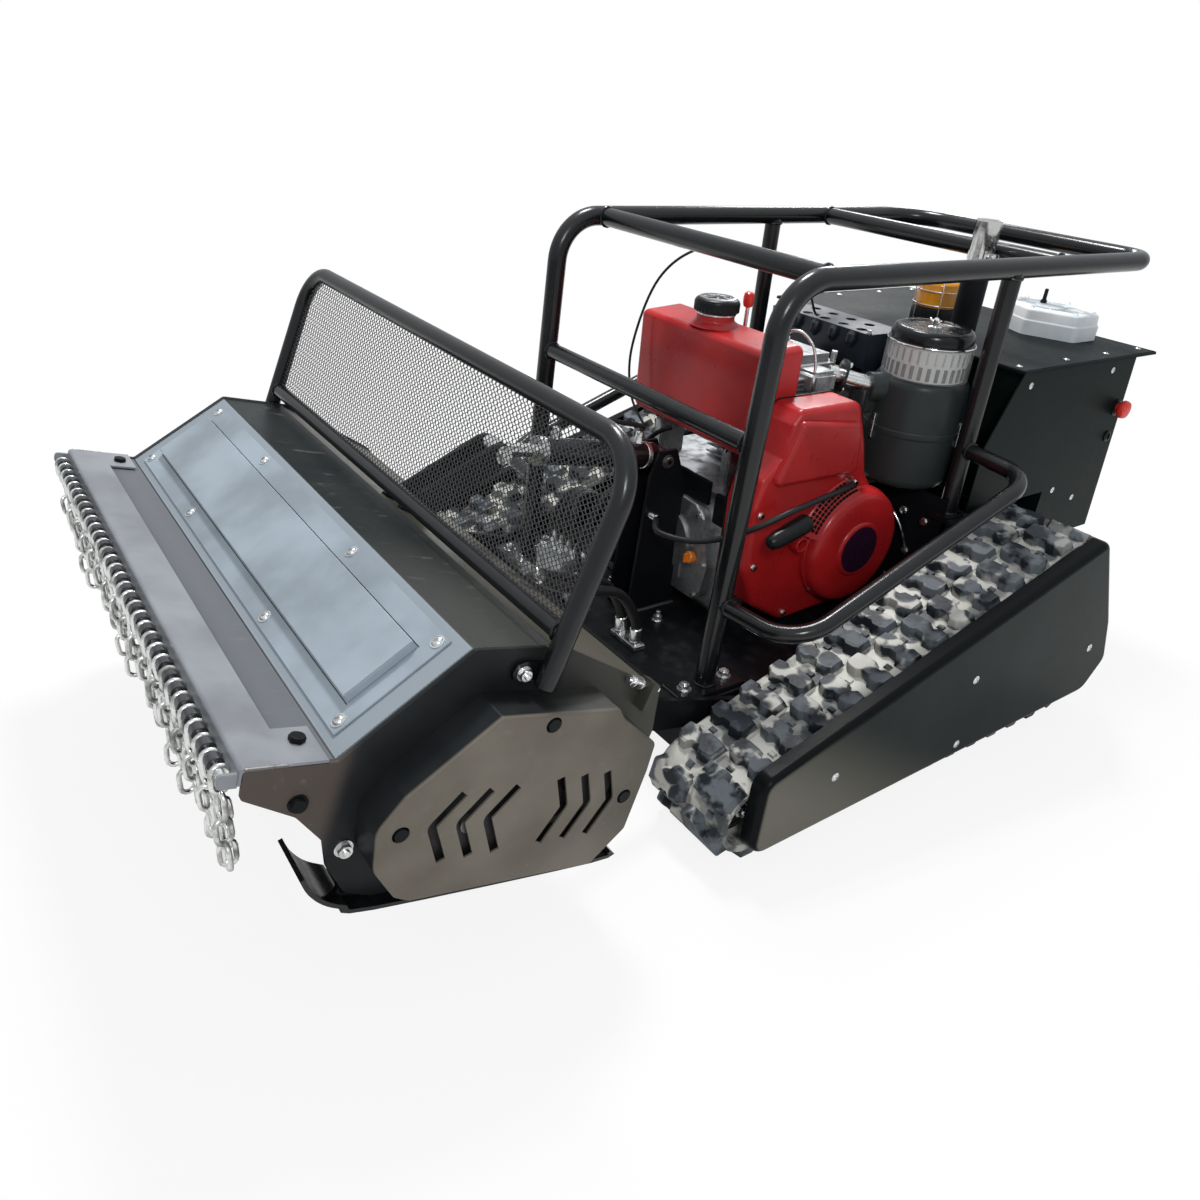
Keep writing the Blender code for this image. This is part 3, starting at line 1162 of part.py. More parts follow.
def chain_curtain():
    """Chains side by side on the rod, hanging straight down, held as one curtain."""
    add_frame("curtain", (0, *CHAIN_ROD), LIFT_ANGLE, "deck")
    half = DECK_HALF_WIDTH + SIDE_SHEET - 0.008 - 0.002
    bore = CHAIN_ROD_RADIUS + RUNNING
    sleeve = prism("chain_curtain", circle((0, 0), bore + 0.003, 12), -half, half,
                   "bright_zinc", "curtain", holes=[circle((0, 0), bore, 12)])
    edge = half - 0.006
    top = -bore - 0.0012
    strip = box("top_links", (-edge, -0.0032, top - 0.008), (edge, 0.0032, top), frame="curtain")
    chains = []
    for k in range(CHAIN_COUNT):
        x = -edge + (k + 0.5) * 2 * edge / CHAIN_COUNT
        length = CHAIN_LENGTHS[k % len(CHAIN_LENGTHS)]
        chains.append(box("chain", (x - CHAIN_LINK, -CHAIN_LINK + 0.0006, -length),
                          (x + CHAIN_LINK, CHAIN_LINK - 0.0006, top - 0.004), frame="curtain"))
    fuse(sleeve, strip, together("chains", chains, "curtain"))


def inspection_cover():
    """Flanged cover with a raised middle, screwed to the deck's sloping front."""
    foot, top = Vector(DECK_PROFILE[1]), Vector(DECK_PROFILE[2])
    along = (top - foot).normalized()
    out = Vector((-along.y, along.x))

    def point(distance, height):
        return tuple(foot + along * distance + out * height)

    low, high = LID_RAISED
    flange = prism("inspection_cover",
                   (point(LID_LOW, GAP), point(LID_HIGH, GAP), point(LID_HIGH, LID_SHEET),
                    point(LID_LOW, LID_SHEET)), -LID_HALF_WIDTH, LID_HALF_WIDTH, "slate_coat", "deck")
    raised = prism("raised", (point(low, 0.001), point(high + 0.006, 0.001), point(high, LID_HEIGHT),
                              point(low + 0.004, LID_HEIGHT)), -LID_RAISED_HALF, LID_RAISED_HALF,
                   frame="deck")
    fuse(flange, raised)
    for x in LID_SCREWS_X:
        for distance in LID_SCREWS:
            head = rod("screw", (x, *point(distance, 0.001)), (x, *point(distance, 0.008)),
                       0.008, 8, frame="deck")
            fuse(flange, head)


def rotor():
    """Flail rotor with its blades, and the pulley on its left end."""
    add_frame("rotor_axis", (0, *ROTOR), 0.0, "deck")
    half = ROTOR_HALF_LENGTH
    end = DECK_HALF_WIDTH + GAP + SIDE_SHEET + BEARING_WIDTH
    radius = ROTOR_TUBE_RADIUS
    neck = ROTOR_SHAFT_RADIUS - 0.0035
    tube_and_shaft = turned("flail_rotor", [(ROTOR_SHAFT_RADIUS, -end - 0.003), (ROTOR_SHAFT_RADIUS, -half),
                                            (radius, -half), (radius, half), (ROTOR_SHAFT_RADIUS, half),
                                            (ROTOR_SHAFT_RADIUS, PULLEY_INNER_X - GAP),
                                            (neck, PULLEY_INNER_X - GAP),
                                            (neck, PULLEY_INNER_X + PULLEY_WIDTH + 0.004)],
                            (0, 0, 0), "X", 24, "black_coat", "rotor_axis")
    blades = []
    for k in range(FLAIL_ROWS):
        x = -half + 0.025 + k * (2 * half - 0.05) / (FLAIL_ROWS - 1)
        blade = box("blade", (-FLAIL_WIDTH / 2, -FLAIL_THICK / 2, radius - 0.004),
                    (FLAIL_WIDTH / 2, FLAIL_THICK / 2, FLAIL_TIP_RADIUS), frame="rotor_axis")
        turn = Matrix.Rotation(math.tau * (k % 4) / 4 + math.radians(12) * k, 4, "X")
        blade.matrix_local = Matrix.Translation((x, 0, 0)) @ turn @ Matrix.Translation(blade.location)
        blades.append(blade)
    fuse(tube_and_shaft, together("blades", blades, "rotor_axis"))
    pulley("rotor_pulley", ROTOR_PULLEY_RADIUS, neck + 0.0003, "rotor_axis")


def pulley(name, radius, bore, frame):
    """Grooved pulley; a bore makes it a close fit on a shaft end."""
    groove = radius - GROOVE_DEPTH
    width = PULLEY_WIDTH
    return turned(name, [(radius, 0.0), (radius, 0.004), (groove, 0.006),
                         (groove, width - 0.006), (radius, width - 0.004), (radius, width)],
                  (PULLEY_INNER_X, 0, 0), "X", 20, "steel", frame, bore)


def deck_drive():
    """Hydraulic motor on the deck, its pulley, the belt and the cover over them."""
    add_frame("motor_axis", (0, *MOTOR), 0.0, "deck")
    inner = DECK_HALF_WIDTH
    rod("deck_motor", (inner - MOTOR_BODY_LENGTH, *MOTOR), (inner, *MOTOR),
        MOTOR_BODY_RADIUS, 24, "cast_aluminium", "deck")
    wheel = pulley("motor_pulley", MOTOR_PULLEY_RADIUS, None, "motor_axis")
    fuse(wheel, rod("motor_shaft", (DECK_HALF_WIDTH + GAP, 0, 0), (PULLEY_INNER_X + 0.010, 0, 0),
                    MOTOR_SHAFT_RADIUS, 20, frame="motor_axis"))
    circles = ((*MOTOR, MOTOR_PULLEY_RADIUS - GROOVE_DEPTH + 0.0010),
               (*ROTOR, ROTOR_PULLEY_RADIUS - GROOVE_DEPTH + 0.0010))
    at, bends, _ = wrap_outline(circles)
    lengths = bends(math.radians(15))
    middle = PULLEY_INNER_X + PULLEY_WIDTH / 2
    reach = PULLEY_WIDTH / 2 - 0.0075
    prism("drive_belt", [at(s, BELT_THICK) for s in lengths], middle - reach, middle + reach,
          "rubber", "deck", holes=[[at(s, 0.0) for s in lengths]])
    belt_cover()


def belt_cover():
    """Pressed cover with chevron slots, open towards the side plate, on three posts."""
    inner = DECK_HALF_WIDTH + GAP + SIDE_SHEET + GAP
    cover = pan("belt_cover", BELT_COVER_OUTLINE, inner, BELT_COVER_X, BELT_COVER_SHEET, 0.005,
                "deck_coat", "deck")
    slots = []
    for outline in (SLOT_FRONT, SLOT_REAR):
        for k in range(3):
            moved = [(u + k * SLOT_PITCH, w) for u, w in outline]
            slots.append(prism("slot", sheet(moved, SLOT_WIDTH), BELT_COVER_X - 0.02,
                               BELT_COVER_X + 0.02, frame="deck"))
    cut(cover, together("slots", slots, "deck"))
    posts = [rod("post", (inner, *place_uw), (BELT_COVER_X + 0.002, *place_uw),
                 COVER_BOLT_RADIUS, 8, frame="deck") for place_uw in COVER_BOLTS]
    fuse(cover, together("posts", posts, "deck"))


def guard():
    """Bent guard tube with its lower rail, fixing tabs and mesh."""
    x = GUARD_X
    path = rounded([(x, *GUARD_FOOT), (x, *GUARD_TOP), (-x, *GUARD_TOP), (-x, *GUARD_FOOT)],
                   (GUARD_BEND, GUARD_BEND))
    frame_tube = tube("guard_frame", path, GUARD_TUBE, finish="black_coat", frame="deck")
    lean = (GUARD_TOP[0] - GUARD_FOOT[0]) / (GUARD_TOP[1] - GUARD_FOOT[1])
    rail_u = GUARD_FOOT[0] + lean * (GUARD_RAIL_W - GUARD_FOOT[1])
    rail = rod("rail", (-x, rail_u, GUARD_RAIL_W), (x, rail_u, GUARD_RAIL_W), GUARD_TUBE - 0.0015, 12,
               frame="deck")
    fuse(frame_tube, rail)
    low_x = DECK_HALF_WIDTH + 2 * GAP + SIDE_SHEET
    for side in (1, -1):
        tab = box("tab", *mirrored(side, (low_x, GUARD_BOLT[0] - 0.014, GUARD_BOLT[1] - 0.013),
                                   (low_x + 0.006, GUARD_FOOT[0] + 0.010, GUARD_BOLT[1] + 0.014)), frame="deck")
        bolt = rod("bolt", (side * (low_x + 0.003), *GUARD_BOLT), (side * (low_x + 0.013), *GUARD_BOLT),
                   0.009, 6, frame="deck")
        fuse(frame_tube, tab, bolt)
    low = GUARD_RAIL_W + GUARD_TUBE + GAP
    high = GUARD_TOP[1] - GUARD_TUBE - GAP
    reach = x - GUARD_TUBE - GAP
    corner = GUARD_BEND - GUARD_TUBE
    bow = [(-reach, low), (reach, low), (reach, high - corner),
           (reach - 0.3 * corner, high - 0.3 * corner), (reach - corner, high),
           (-reach + corner, high), (-reach + 0.3 * corner, high - 0.3 * corner), (-reach, high - corner)]
    tilt = math.atan(lean)
    holes = mesh_holes(-reach, reach, low, high, corner)
    mesh = prism("guard_mesh", [(px, pw / math.cos(tilt)) for px, pw in bow],
                 -MESH_SHEET / 2, MESH_SHEET / 2, "steel", "deck", axis="Y",
                 holes=[[(px, pw / math.cos(tilt)) for px, pw in hole] for hole in holes])
    mesh.location.y = GUARD_FOOT[0] - lean * GUARD_FOOT[1]
    mesh.rotation_euler.x += tilt


def mesh_holes(left, right, low, high, corner):
    """Openings of the guard's mesh in even rows, cut off at the rounded top corners."""
    wide = (right - left - MESH_BAR) / MESH_COLUMNS
    tall = (high - low - MESH_BAR) / MESH_ROWS
    holes = []
    for row in range(MESH_ROWS):
        z0 = low + MESH_BAR + row * tall
        z1 = z0 + tall - MESH_BAR
        for column in range(MESH_COLUMNS):
            x0 = left + MESH_BAR + column * wide
            x1 = x0 + wide - MESH_BAR
            hole = [(x0, z0), (x1, z0), (x1, z1), (x0, z1)]
            back = min(corner, 0.9 * (x1 - x0), 0.9 * (z1 - z0))
            if row == MESH_ROWS - 1 and column == MESH_COLUMNS - 1:
                hole[2:3] = [(x1, z1 - back), (x1 - back, z1)]
            if row == MESH_ROWS - 1 and column == 0:
                hole[3:4] = [(x0 + back, z1), (x0, z1 - back)]
            holes.append(hole)
    return holes


def lift_linkage(shell):
    """Push arms to the hinge and the bracket for the lift cylinder, on the deck shell."""
    for side in (1, -1):
        arm_low, arm_high = side * ARM_X, side * (ARM_X + ARM_SHEET)
        outline = ((-0.3855, 0.060), (-0.200, 0.030), (-0.010, 0.022), (0.016, 0.016), (0.022, 0.0),
                   (0.016, -0.016), (-0.010, -0.022), (-0.200, -0.030), (-0.3890, 0.010))
        arm = prism(f"push_arm_{side}", outline, arm_low, arm_high, frame="deck")
        pin = rod("hinge_pin", (side * (ARM_X - PIN_REACH), 0, 0), (side * (ARM_X + 0.004), 0, 0),
                  PIVOT_RADIUS, 20, frame="deck")
        fuse(shell, arm, pin)
    pin_u, pin_w = LIFT_PIN
    slope = (DECK_PROFILE[4][1] - DECK_PROFILE[3][1]) / (DECK_PROFILE[4][0] - DECK_PROFILE[3][0])

    def on_top(u):
        return u, DECK_PROFILE[3][1] + slope * (u - DECK_PROFILE[3][0]) - 0.0025

    for side in (1, -1):
        low_x = BRACKET_GAP / 2
        outline = (on_top(-0.590), on_top(-0.535), (pin_u + 0.015, pin_w - 0.016),
                   (pin_u + 0.018, pin_w + 0.008), (pin_u, pin_w + 0.020), (pin_u - 0.020, pin_w + 0.014))
        fuse(shell, prism(f"cheek_{side}", outline, side * low_x, side * (low_x + BRACKET_SHEET),
                          frame="deck"))
    reach = BRACKET_GAP / 2 + BRACKET_SHEET + 0.012
    pin = rod("lift_pin", (-reach, pin_u, pin_w), (reach, pin_u, pin_w), LIFT_PIN_RADIUS, 20, frame="deck")
    fuse(shell, pin)


def lift_cylinder():
    """Cylinder hinged on the tub's anchor; its rod eye rides the lift pin."""
    c, s = math.cos(LIFT_ANGLE), math.sin(LIFT_ANGLE)
    pin_y = PIVOT_Y + LIFT_PIN[0] * c + LIFT_PIN[1] * s
    pin_z = PIVOT_Z - LIFT_PIN[0] * s + LIFT_PIN[1] * c
    reach = Vector((pin_y - ANCHOR_Y, pin_z - ANCHOR_Z))
    angle = math.atan2(reach.y, -reach.x)
    add_frame("cylinder_axis", (0, ANCHOR_Y, ANCHOR_Z), -angle)
    length = reach.length
    gap = ANCHOR_GAP / 2 - 0.002
    body = rod("lift_cylinder", (0, -0.012, 0), (0, -CYLINDER_LENGTH, 0), CYLINDER_RADIUS, 20,
               "black_coat", "cylinder_axis")
    eye = rod("cylinder_eye", (-gap, 0, 0), (gap, 0, 0), EYE_RADIUS, 20, frame="cylinder_axis")
    trunnion = rod("cylinder_pin", (-gap - 0.002 - ANCHOR_SHEET, 0, 0), (gap + 0.002 + ANCHOR_SHEET, 0, 0),
                   ANCHOR_PIN_RADIUS, 20, frame="cylinder_axis")
    bore = rod("cylinder_bore", (0, -BORE_START, 0), (0, -CYLINDER_LENGTH - 0.01, 0), ROD_RADIUS + RUNNING, 20,
               frame="cylinder_axis")
    fuse(body, eye, trunnion)
    cut(body, bore)
    piston = rod("lift_rod", (0, -length + EYE_RADIUS - 0.006, 0), (0, -BORE_START - 0.010, 0), ROD_RADIUS, 16,
                 "chrome", "cylinder_axis")
    eye_half = BRACKET_GAP / 2 - 0.003
    rod_eye = rod("rod_eye", (-eye_half, -length, 0), (eye_half, -length, 0), EYE_RADIUS, 20,
                  frame="cylinder_axis")
    eye_bore = rod("eye_bore", (-0.04, -length, 0), (0.04, -length, 0), LIFT_PIN_RADIUS + EYE_PLAY, 20,
                   frame="cylinder_axis")
    fuse(piston, rod_eye)
    cut(piston, eye_bore)


def hoses():
    """Two hydraulic hoses in one clamp, from the tub over the hinge to the deck."""
    pieces = []
    for shift in (0.0, HOSE_SPACING):
        route = [(x + shift, y, z) for x, y, z in HOSE_ROUTE]
        pieces.append(tube("hydraulic_hoses" if shift == 0.0 else "second_hose",
                           smooth_route(route, 3), HOSE_RADIUS, 2, "rubber"))
    x, y, z = HOSE_ROUTE[0]
    clamp = box("hose_clamp", (x - 0.016, y - 0.014, TUB_TOP + GAP),
                (x + HOSE_SPACING + 0.016, y + 0.014, TUB_TOP + 0.022))
    fuse(*pieces, clamp)


def build():
    start_scene()
    add_frame("machine", (0, -MACHINE_MIDDLE_Y, 0))
    add_frame("deck", (0, PIVOT_Y, PIVOT_Z), -LIFT_ANGLE)
    chassis_tub()
    for side, label in ((1, "left"), (-1, "right")):
        track_belt(side, f"track_{label}")
        track_wheels(side, label)
        track_frame(side, f"track_frame_{label}")
        track_cover(side, f"track_cover_{label}")
        drive_motor(side, f"drive_motor_{label}")
    cage()
    engine()
    fuel_tank()
    air_cleaner()
    pipe = exhaust()
    pump_and_cable()
    rear_box(pipe)
    deck_body()
    chain_curtain()
    rotor()
    deck_drive()
    guard()
    lift_cylinder()
    hoses()
    bpy.context.view_layer.update()


build()
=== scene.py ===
"""Looks of the remote-controlled tracked flail mower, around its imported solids.

Metres, +Z up, the flail deck towards -Y, the machine's left-hand side at +X.
Places are worked out in the maker's frame, MACHINE; the deck's are in its own level frame, DECK.
"""
import math
import random

import bmesh
import bpy
from mathutils import Matrix, Vector
from mathutils.geometry import tessellate_polygon


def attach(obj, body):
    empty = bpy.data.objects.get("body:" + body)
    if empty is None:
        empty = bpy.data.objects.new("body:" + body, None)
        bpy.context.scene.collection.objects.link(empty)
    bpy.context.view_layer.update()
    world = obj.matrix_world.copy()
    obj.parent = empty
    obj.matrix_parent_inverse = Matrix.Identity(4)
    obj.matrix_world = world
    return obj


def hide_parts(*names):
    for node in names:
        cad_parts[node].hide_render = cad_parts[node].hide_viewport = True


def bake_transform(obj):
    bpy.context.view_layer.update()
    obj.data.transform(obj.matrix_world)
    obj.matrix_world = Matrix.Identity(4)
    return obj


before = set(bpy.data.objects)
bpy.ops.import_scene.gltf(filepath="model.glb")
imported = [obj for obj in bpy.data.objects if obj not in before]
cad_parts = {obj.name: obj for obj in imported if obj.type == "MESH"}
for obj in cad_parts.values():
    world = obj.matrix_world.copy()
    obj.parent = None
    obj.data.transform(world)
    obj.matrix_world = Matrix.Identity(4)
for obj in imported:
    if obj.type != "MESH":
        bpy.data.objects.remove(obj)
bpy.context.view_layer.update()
chance = random.Random(7)

# Frames of the machine, the raised deck and the chain curtain
MACHINE_MIDDLE_Y = 0.02595
PIVOT_Y = -0.087
PIVOT_Z = 0.1418
LIFT_ANGLE = math.radians(14.5)
CHAIN_ROD = (-0.984, 0.07)
MACHINE = Matrix.Translation((0, -MACHINE_MIDDLE_Y, 0))
DECK = (Matrix.Translation((0, PIVOT_Y - MACHINE_MIDDLE_Y, PIVOT_Z))
        @ Matrix.Rotation(-LIFT_ANGLE, 4, "X"))
CURTAIN = DECK @ Matrix.Translation((0, *CHAIN_ROD)) @ Matrix.Rotation(LIFT_ANGLE, 4, "X")
SIDES = ((1, "left"), (-1, "right"))
PRESSED_SHEET = 0.003

# Tracks
BELT_INNER_X = 0.3945
BELT_WIDTH = 0.18
BELT_CARCASS = 0.014
LUG_HEIGHT = 0.018
LUG_PITCH = 0.072
IDLER = (-0.2225, 0.0856, 0.0536)
ROLLER = (0.6638, 0.0892, 0.0572)
SPROCKET = (0.562, 0.34, 0.0783)
WHEEL_X = BELT_INNER_X + BELT_WIDTH / 2
WHEEL_HALF = 0.05
COVER_X = 0.612
COVER_OPEN_X = 0.578
COVER_OUTLINE = ((-0.2508, 0.0399), (-0.2466, 0.192), (0.606, 0.446), (0.732, 0.2373), (0.7772, 0.1323),
                 (0.7236, 0.062))
COVER_SCREWS = ((-0.081, 0.147), (0.27, 0.233), (0.273, 0.085), (0.678, 0.185))

# Cage
CAGE_TUBE = 0.019
CAGE_BAR = 0.018
LOOP_TUBE = 0.016
CAGE_HALF_WIDTH = 0.319
CAGE_TOP = 0.898
CAGE_FRONT = -0.087
CAGE_REAR = 0.984
FOOT_Y = -0.13
TUB_TOP = 0.172
FOOT_TOP = TUB_TOP + 0.0083
FOOT_INTO = FOOT_TOP - 0.003
FRONT_BAR_Y = 0.0137
MIDDLE_BAR_Y = 0.6662
LOW_BAR_Z = 0.636
POST_Y = 0.497
POST_FOOT_Z = 0.4043
LOOP_X = 0.489

# Deck
DECK_HALF = 0.52
DECK_SHEET = 0.005
SIDE_IN = 0.5203
SIDE_OUT = 0.5263
ON_SIDE = SIDE_OUT + 0.0004
DECK_PROFILE = ((-0.962, 0.081), (-0.859, 0.081), (-0.713, 0.222), (-0.6, 0.224), (-0.388, 0.15),
                (-0.38, 0.02), (-0.43, -0.05))
SIDE_OUTLINE = ((-0.967, 0.083), (-0.859, 0.083), (-0.713, 0.2245), (-0.585, 0.2265),
                (-0.387, 0.154), (-0.372, 0.08), (-0.385, -0.02), (-0.43, -0.129),
                (-0.775, -0.129), (-0.812, -0.116), (-0.845, -0.07), (-0.857, -0.029),
                (-0.897, 0.012), (-0.965, 0.046))
ROTOR = (-0.69, 0.005)
MOTOR = (-0.508, 0.035)
BELT_COVER_X = 0.585
SLOT_WIDTH = 0.0125
BELT_COVER_OUTLINE = ((-0.823, 0.018), (-0.796, 0.064), (-0.692, 0.164), (-0.508, 0.162),
                      (-0.491, 0.143), (-0.42, 0.1), (-0.418, 0.054), (-0.423, -0.044),
                      (-0.468, -0.098), (-0.755, -0.096), (-0.777, -0.086), (-0.814, -0.04))
COVER_BOLTS = ((-0.791, 0.012), (-0.612, 0.147), (-0.448, 0.016))
GUARD_TUBE = 0.0145
GUARD_X = 0.546
GUARD_FOOT = (-0.612, 0.18)
GUARD_TOP = (-0.572, 0.497)
GUARD_RAIL_W = 0.251
GUARD_BEND = 0.075
GUARD_LEAN = (GUARD_TOP[0] - GUARD_FOOT[0]) / (GUARD_TOP[1] - GUARD_FOOT[1])
LIFT_PIN = (-0.415, 0.33)

LINK_WIRE = 0.0035
LINK_LENGTH = 0.043
LINK_WIDTH = 0.0255
STRANDS = 33
CHAIN_LOWEST = -0.1685

# Engine and rear box
CRANK = (0.296, 0.343)
SHROUD_OUTLINE = ((0.06, 0.245), (0.02, 0.33), (0.015, 0.465), (0.028, 0.52), (0.07, 0.556), (0.085, 0.62),
                  (0.105, 0.645), (0.262, 0.645), (0.3, 0.56), (0.322, 0.49), (0.402, 0.395), (0.405, 0.29),
                  (0.36, 0.2), (0.15, 0.19))
SHROUD_OPEN_X = 0.1583
SHROUD_X = 0.232
HEAD_TOP = 0.69
TANK_LOW = (-0.221, 0.057, 0.525)
TANK_HIGH = (0.157, 0.165, 0.735)
NECK = (-0.045, 0.108)
CLEANER = (0.19, 0.484)
OUTLET_X = 0.045
STACK = (0.16, 0.62)
BOX_HALF = 0.345
BOX_TOP = 0.6997
LID_LOW = 0.7
LID_TOP = 0.706
LID_HALF = 0.352
LID_FRONT = 0.58
LID_REAR = 1.085
ON_LID = LID_TOP + 0.0003
BOX_OUTLINE = ((0.522, 0.412), (0.522, 0.55), (0.592, BOX_TOP), (1.015, BOX_TOP), (1.05, 0.285),
               (0.8, 0.285), (0.8, 0.412))
RECEIVER = (0.13, 0.985)
RECEIVER_RADIUS = 0.12
RECEIVER_SQUASH = 0.78
BEACON = (0.0, 0.735)
STOP = (1.0, 0.585)
SOCKET = (1.002, 0.517)

# Camera, lamps and floor
CAMERA_PLACE = (1.3738, -1.1862 - MACHINE_MIDDLE_Y, 1.1483)
CAMERA_RIGHT = (0.56652, 0.82021, 0.07939)
CAMERA_UP = (-0.43772, 0.2179, 0.87231)
CAMERA_LENS = 28.463
CAMERA_SHIFT = (-0.0005, -0.0003)
LAMPS = (("overhead", (-1.2, 0.6, 4.2), (0, 0, 0.4), 130),
         ("left_front", (3.4, -2.4, 3.2), (0, -0.2, 0.4), 60),
         ("rear_rim", (-2.4, 3.2, 2.6), (0, 0, 0.5), 35))
LAMP_SIZE = 0.9
FLOOR_REACH = 40
FLOOR_Z = -0.0005


class Wire:
    """A shader value that takes part in plain arithmetic."""

    def __init__(self, tree, socket):
        self.tree = tree
        self.socket = socket

    def work(self, operation, first, second):
        return self.tree.node("ShaderNodeMath", {"operation": operation}, {0: first, 1: second})[0]

    def __add__(self, other):
        return self.work("ADD", self, other)

    def __sub__(self, other):
        return self.work("SUBTRACT", self, other)

    def __rsub__(self, other):
        return self.work("SUBTRACT", other, self)

    def __mul__(self, other):
        return self.work("MULTIPLY", self, other)

    __radd__ = __add__
    __rmul__ = __mul__

    def between(self, low, high):
        """0 below low, 1 above high and smooth from one to the other."""
        return self.tree.node("ShaderNodeMapRange", {"interpolation_type": "SMOOTHSTEP"},
                              {"Value": self, "From Min": low, "From Max": high})[0]


class Outlets:
    """A node's outputs, by name or by number."""

    def __init__(self, tree, made):
        self.tree = tree
        self.made = made

    def __getitem__(self, key):
        return Wire(self.tree, self.made.outputs[key])


class Shader:
    """A node tree whose nodes are added by one method."""

    def __init__(self, tree):
        self.tree = tree

    def node(self, kind, settings=None, sockets=None):
        made = self.tree.nodes.new(kind)
        for key, value in (settings or {}).items():
            if key == "stops":
                stops = made.color_ramp.elements
                while len(stops) < len(value):
                    stops.new(1.0)
                for stop, (position, colour) in zip(stops, value):
                    stop.position = position
                    stop.color = (*colour, 1.0)
            else:
                setattr(made, key, value)
        for key, value in (sockets or {}).items():
            self.feed(made.inputs[key], value)
        return Outlets(self, made)

    def feed(self, socket, value):
        if isinstance(value, Wire):
            self.tree.links.new(value.socket, socket)
        elif socket.type == "RGBA" and len(value) == 3:
            socket.default_value = (*value, 1.0)
        else:
            socket.default_value = value

    def mix(self, share, first, second):
        return self.node("ShaderNodeMix", {"data_type": "RGBA"}, {0: share, 6: first, 7: second})[2]


class Finish(Shader):
    """One surface finish of the machine: a Principled shader and what feeds it."""

    def __init__(self, name, slot, **plain):
        self.slot = slot
        self.material = bpy.data.materials.new(name)
        self.material.use_nodes = True
        super().__init__(self.material.node_tree)
        self.shader = self.tree.nodes["Principled BSDF"]
        self.place = self.node("ShaderNodeTexCoord")["Object"]
        for key, value in plain.items():
            self.set({"specular_ior_level": "Specular IOR Level", "ior": "IOR"}.get(
                key, key.replace("_", " ").title()), value)

    def set(self, socket, value):
        self.feed(self.shader.inputs[socket], value)

    def grain(self, scale, detail=3.0, stretch=None):
        """Soft noise from 0 to 1, with about scale blobs to a metre."""
        place = self.place
        if stretch:
            place = self.node("ShaderNodeVectorMath", {"operation": "MULTIPLY"}, {0: place, 1: stretch})[0]
        return self.node("ShaderNodeTexNoise", {}, {"Vector": place, "Scale": scale, "Detail": detail})["Fac"]

    def cells(self, scale):
        return self.node("ShaderNodeTexVoronoi", {}, {"Vector": self.place, "Scale": scale})["Distance"]

    def upward(self):
        """How far the surface faces up, from -1 to 1."""
        normal = self.node("ShaderNodeNewGeometry")["Normal"]
        return self.node("ShaderNodeSeparateXYZ", {}, {0: normal})["Z"]

    def facing(self, direction):
        normal = self.node("ShaderNodeNewGeometry")["Normal"]
        return self.node("ShaderNodeVectorMath", {"operation": "DOT_PRODUCT"},
                         {0: normal, 1: tuple(Vector(direction).normalized())})["Value"]

    def relief(self, height, distance, strength=1.0):
        made = self.node("ShaderNodeBump", {}, {"Height": height, "Distance": distance,
                                                "Strength": strength})
        self.set("Normal", made["Normal"])


def shade(colour, factor):
    """A colour made darker or lighter."""
    return tuple(min(1.0, value * factor) for value in colour)


def coat(name, slot, colour, rough, dust=0.3, settled_colour=(0.33, 0.32, 0.3), peel=0.35, **plain):
    """Powder coat or paint: orange peel, slow changes of tone, and dust on what faces up."""
    made = Finish(name, slot, **plain)
    tone = made.grain(6, 4).between(0.33, 0.67)
    film = made.grain(34, 7).between(0.46, 0.78) * made.upward().between(0.1, 0.95) * dust
    base = made.mix(tone, shade(colour, 0.8), shade(colour, 1.22))
    made.set("Base Color", made.mix(film, base, settled_colour))
    made.set("Roughness", made.grain(55, 3) * 0.12 + tone * 0.05 + film * 0.35 + (rough - 0.09))
    made.relief(made.grain(620, 2) + made.grain(90, 2) * 1.5, 0.00022, peel)
    return made


def metal(name, slot, colour, rough, stain=0.15, stain_colour=(0.2, 0.19, 0.17), grain=260, depth=0.0001):
    """Bare or plated metal with stained patches and a fine surface."""
    made = Finish(name, slot)
    patch = made.grain(38, 6).between(0.45, 0.72) * stain
    made.set("Base Color", made.mix(patch, colour, stain_colour))
    made.set("Metallic", 1.0 - patch * 0.35)
    made.set("Roughness", made.grain(grain, 3) * 0.16 + patch * 0.4 + (rough - 0.08))
    made.relief(made.grain(grain, 4), depth, 0.5)
    return made


def moulded(name, slot, colour, rough, **plain):
    """Moulded plastic with a fine texture and handling marks."""
    made = Finish(name, slot, **plain)
    marks = made.grain(60, 6).between(0.5, 0.72)
    made.set("Base Color", made.mix(marks * 0.16, colour, shade(colour, 1.6)))
    made.set("Roughness", marks * 0.14 + made.grain(400, 2) * 0.08 + (rough - 0.08))
    made.relief(made.grain(900, 2), 0.00012, 0.3)
    return made


def track_rubber(name, dark, middle, pale, share):
    """Rubber of the tracks: blue-black, with dust in patches and pale places of wear, shown only on faces
    turned up as painted light and thinning out to the rear as painted shade.
    """
    made = Finish(name, "rubber", specular_ior_level=0.3)
    dusty = made.grain(24, 5).between(0.44, 0.58)
    # Painted shade: fewer pale places towards the rear of the track.
    ahead = made.node("ShaderNodeSeparateXYZ", {}, {0: made.place})["Y"].between(0.62, 0.2) * 0.7 + 0.3
    wear_and_painted_light = made.cells(20).between(0.62 - share, 0.74 - share) * ahead
    wear_and_painted_light = wear_and_painted_light * made.grain(13, 4).between(0.56 - share / 2, 0.62 - share / 2)
    base = made.mix(dusty, dark, middle)
    # Painted light: the pale places show only on faces turned up.
    made.set("Base Color", made.mix(wear_and_painted_light * made.upward().between(-0.5, 0.3), base, pale))
    made.set("Roughness", dusty * 0.22 + made.grain(120, 3) * 0.2 + 0.34)
    made.relief(made.grain(160, 5) + made.grain(700, 2) * 0.3, 0.0011, 0.5)
    return made


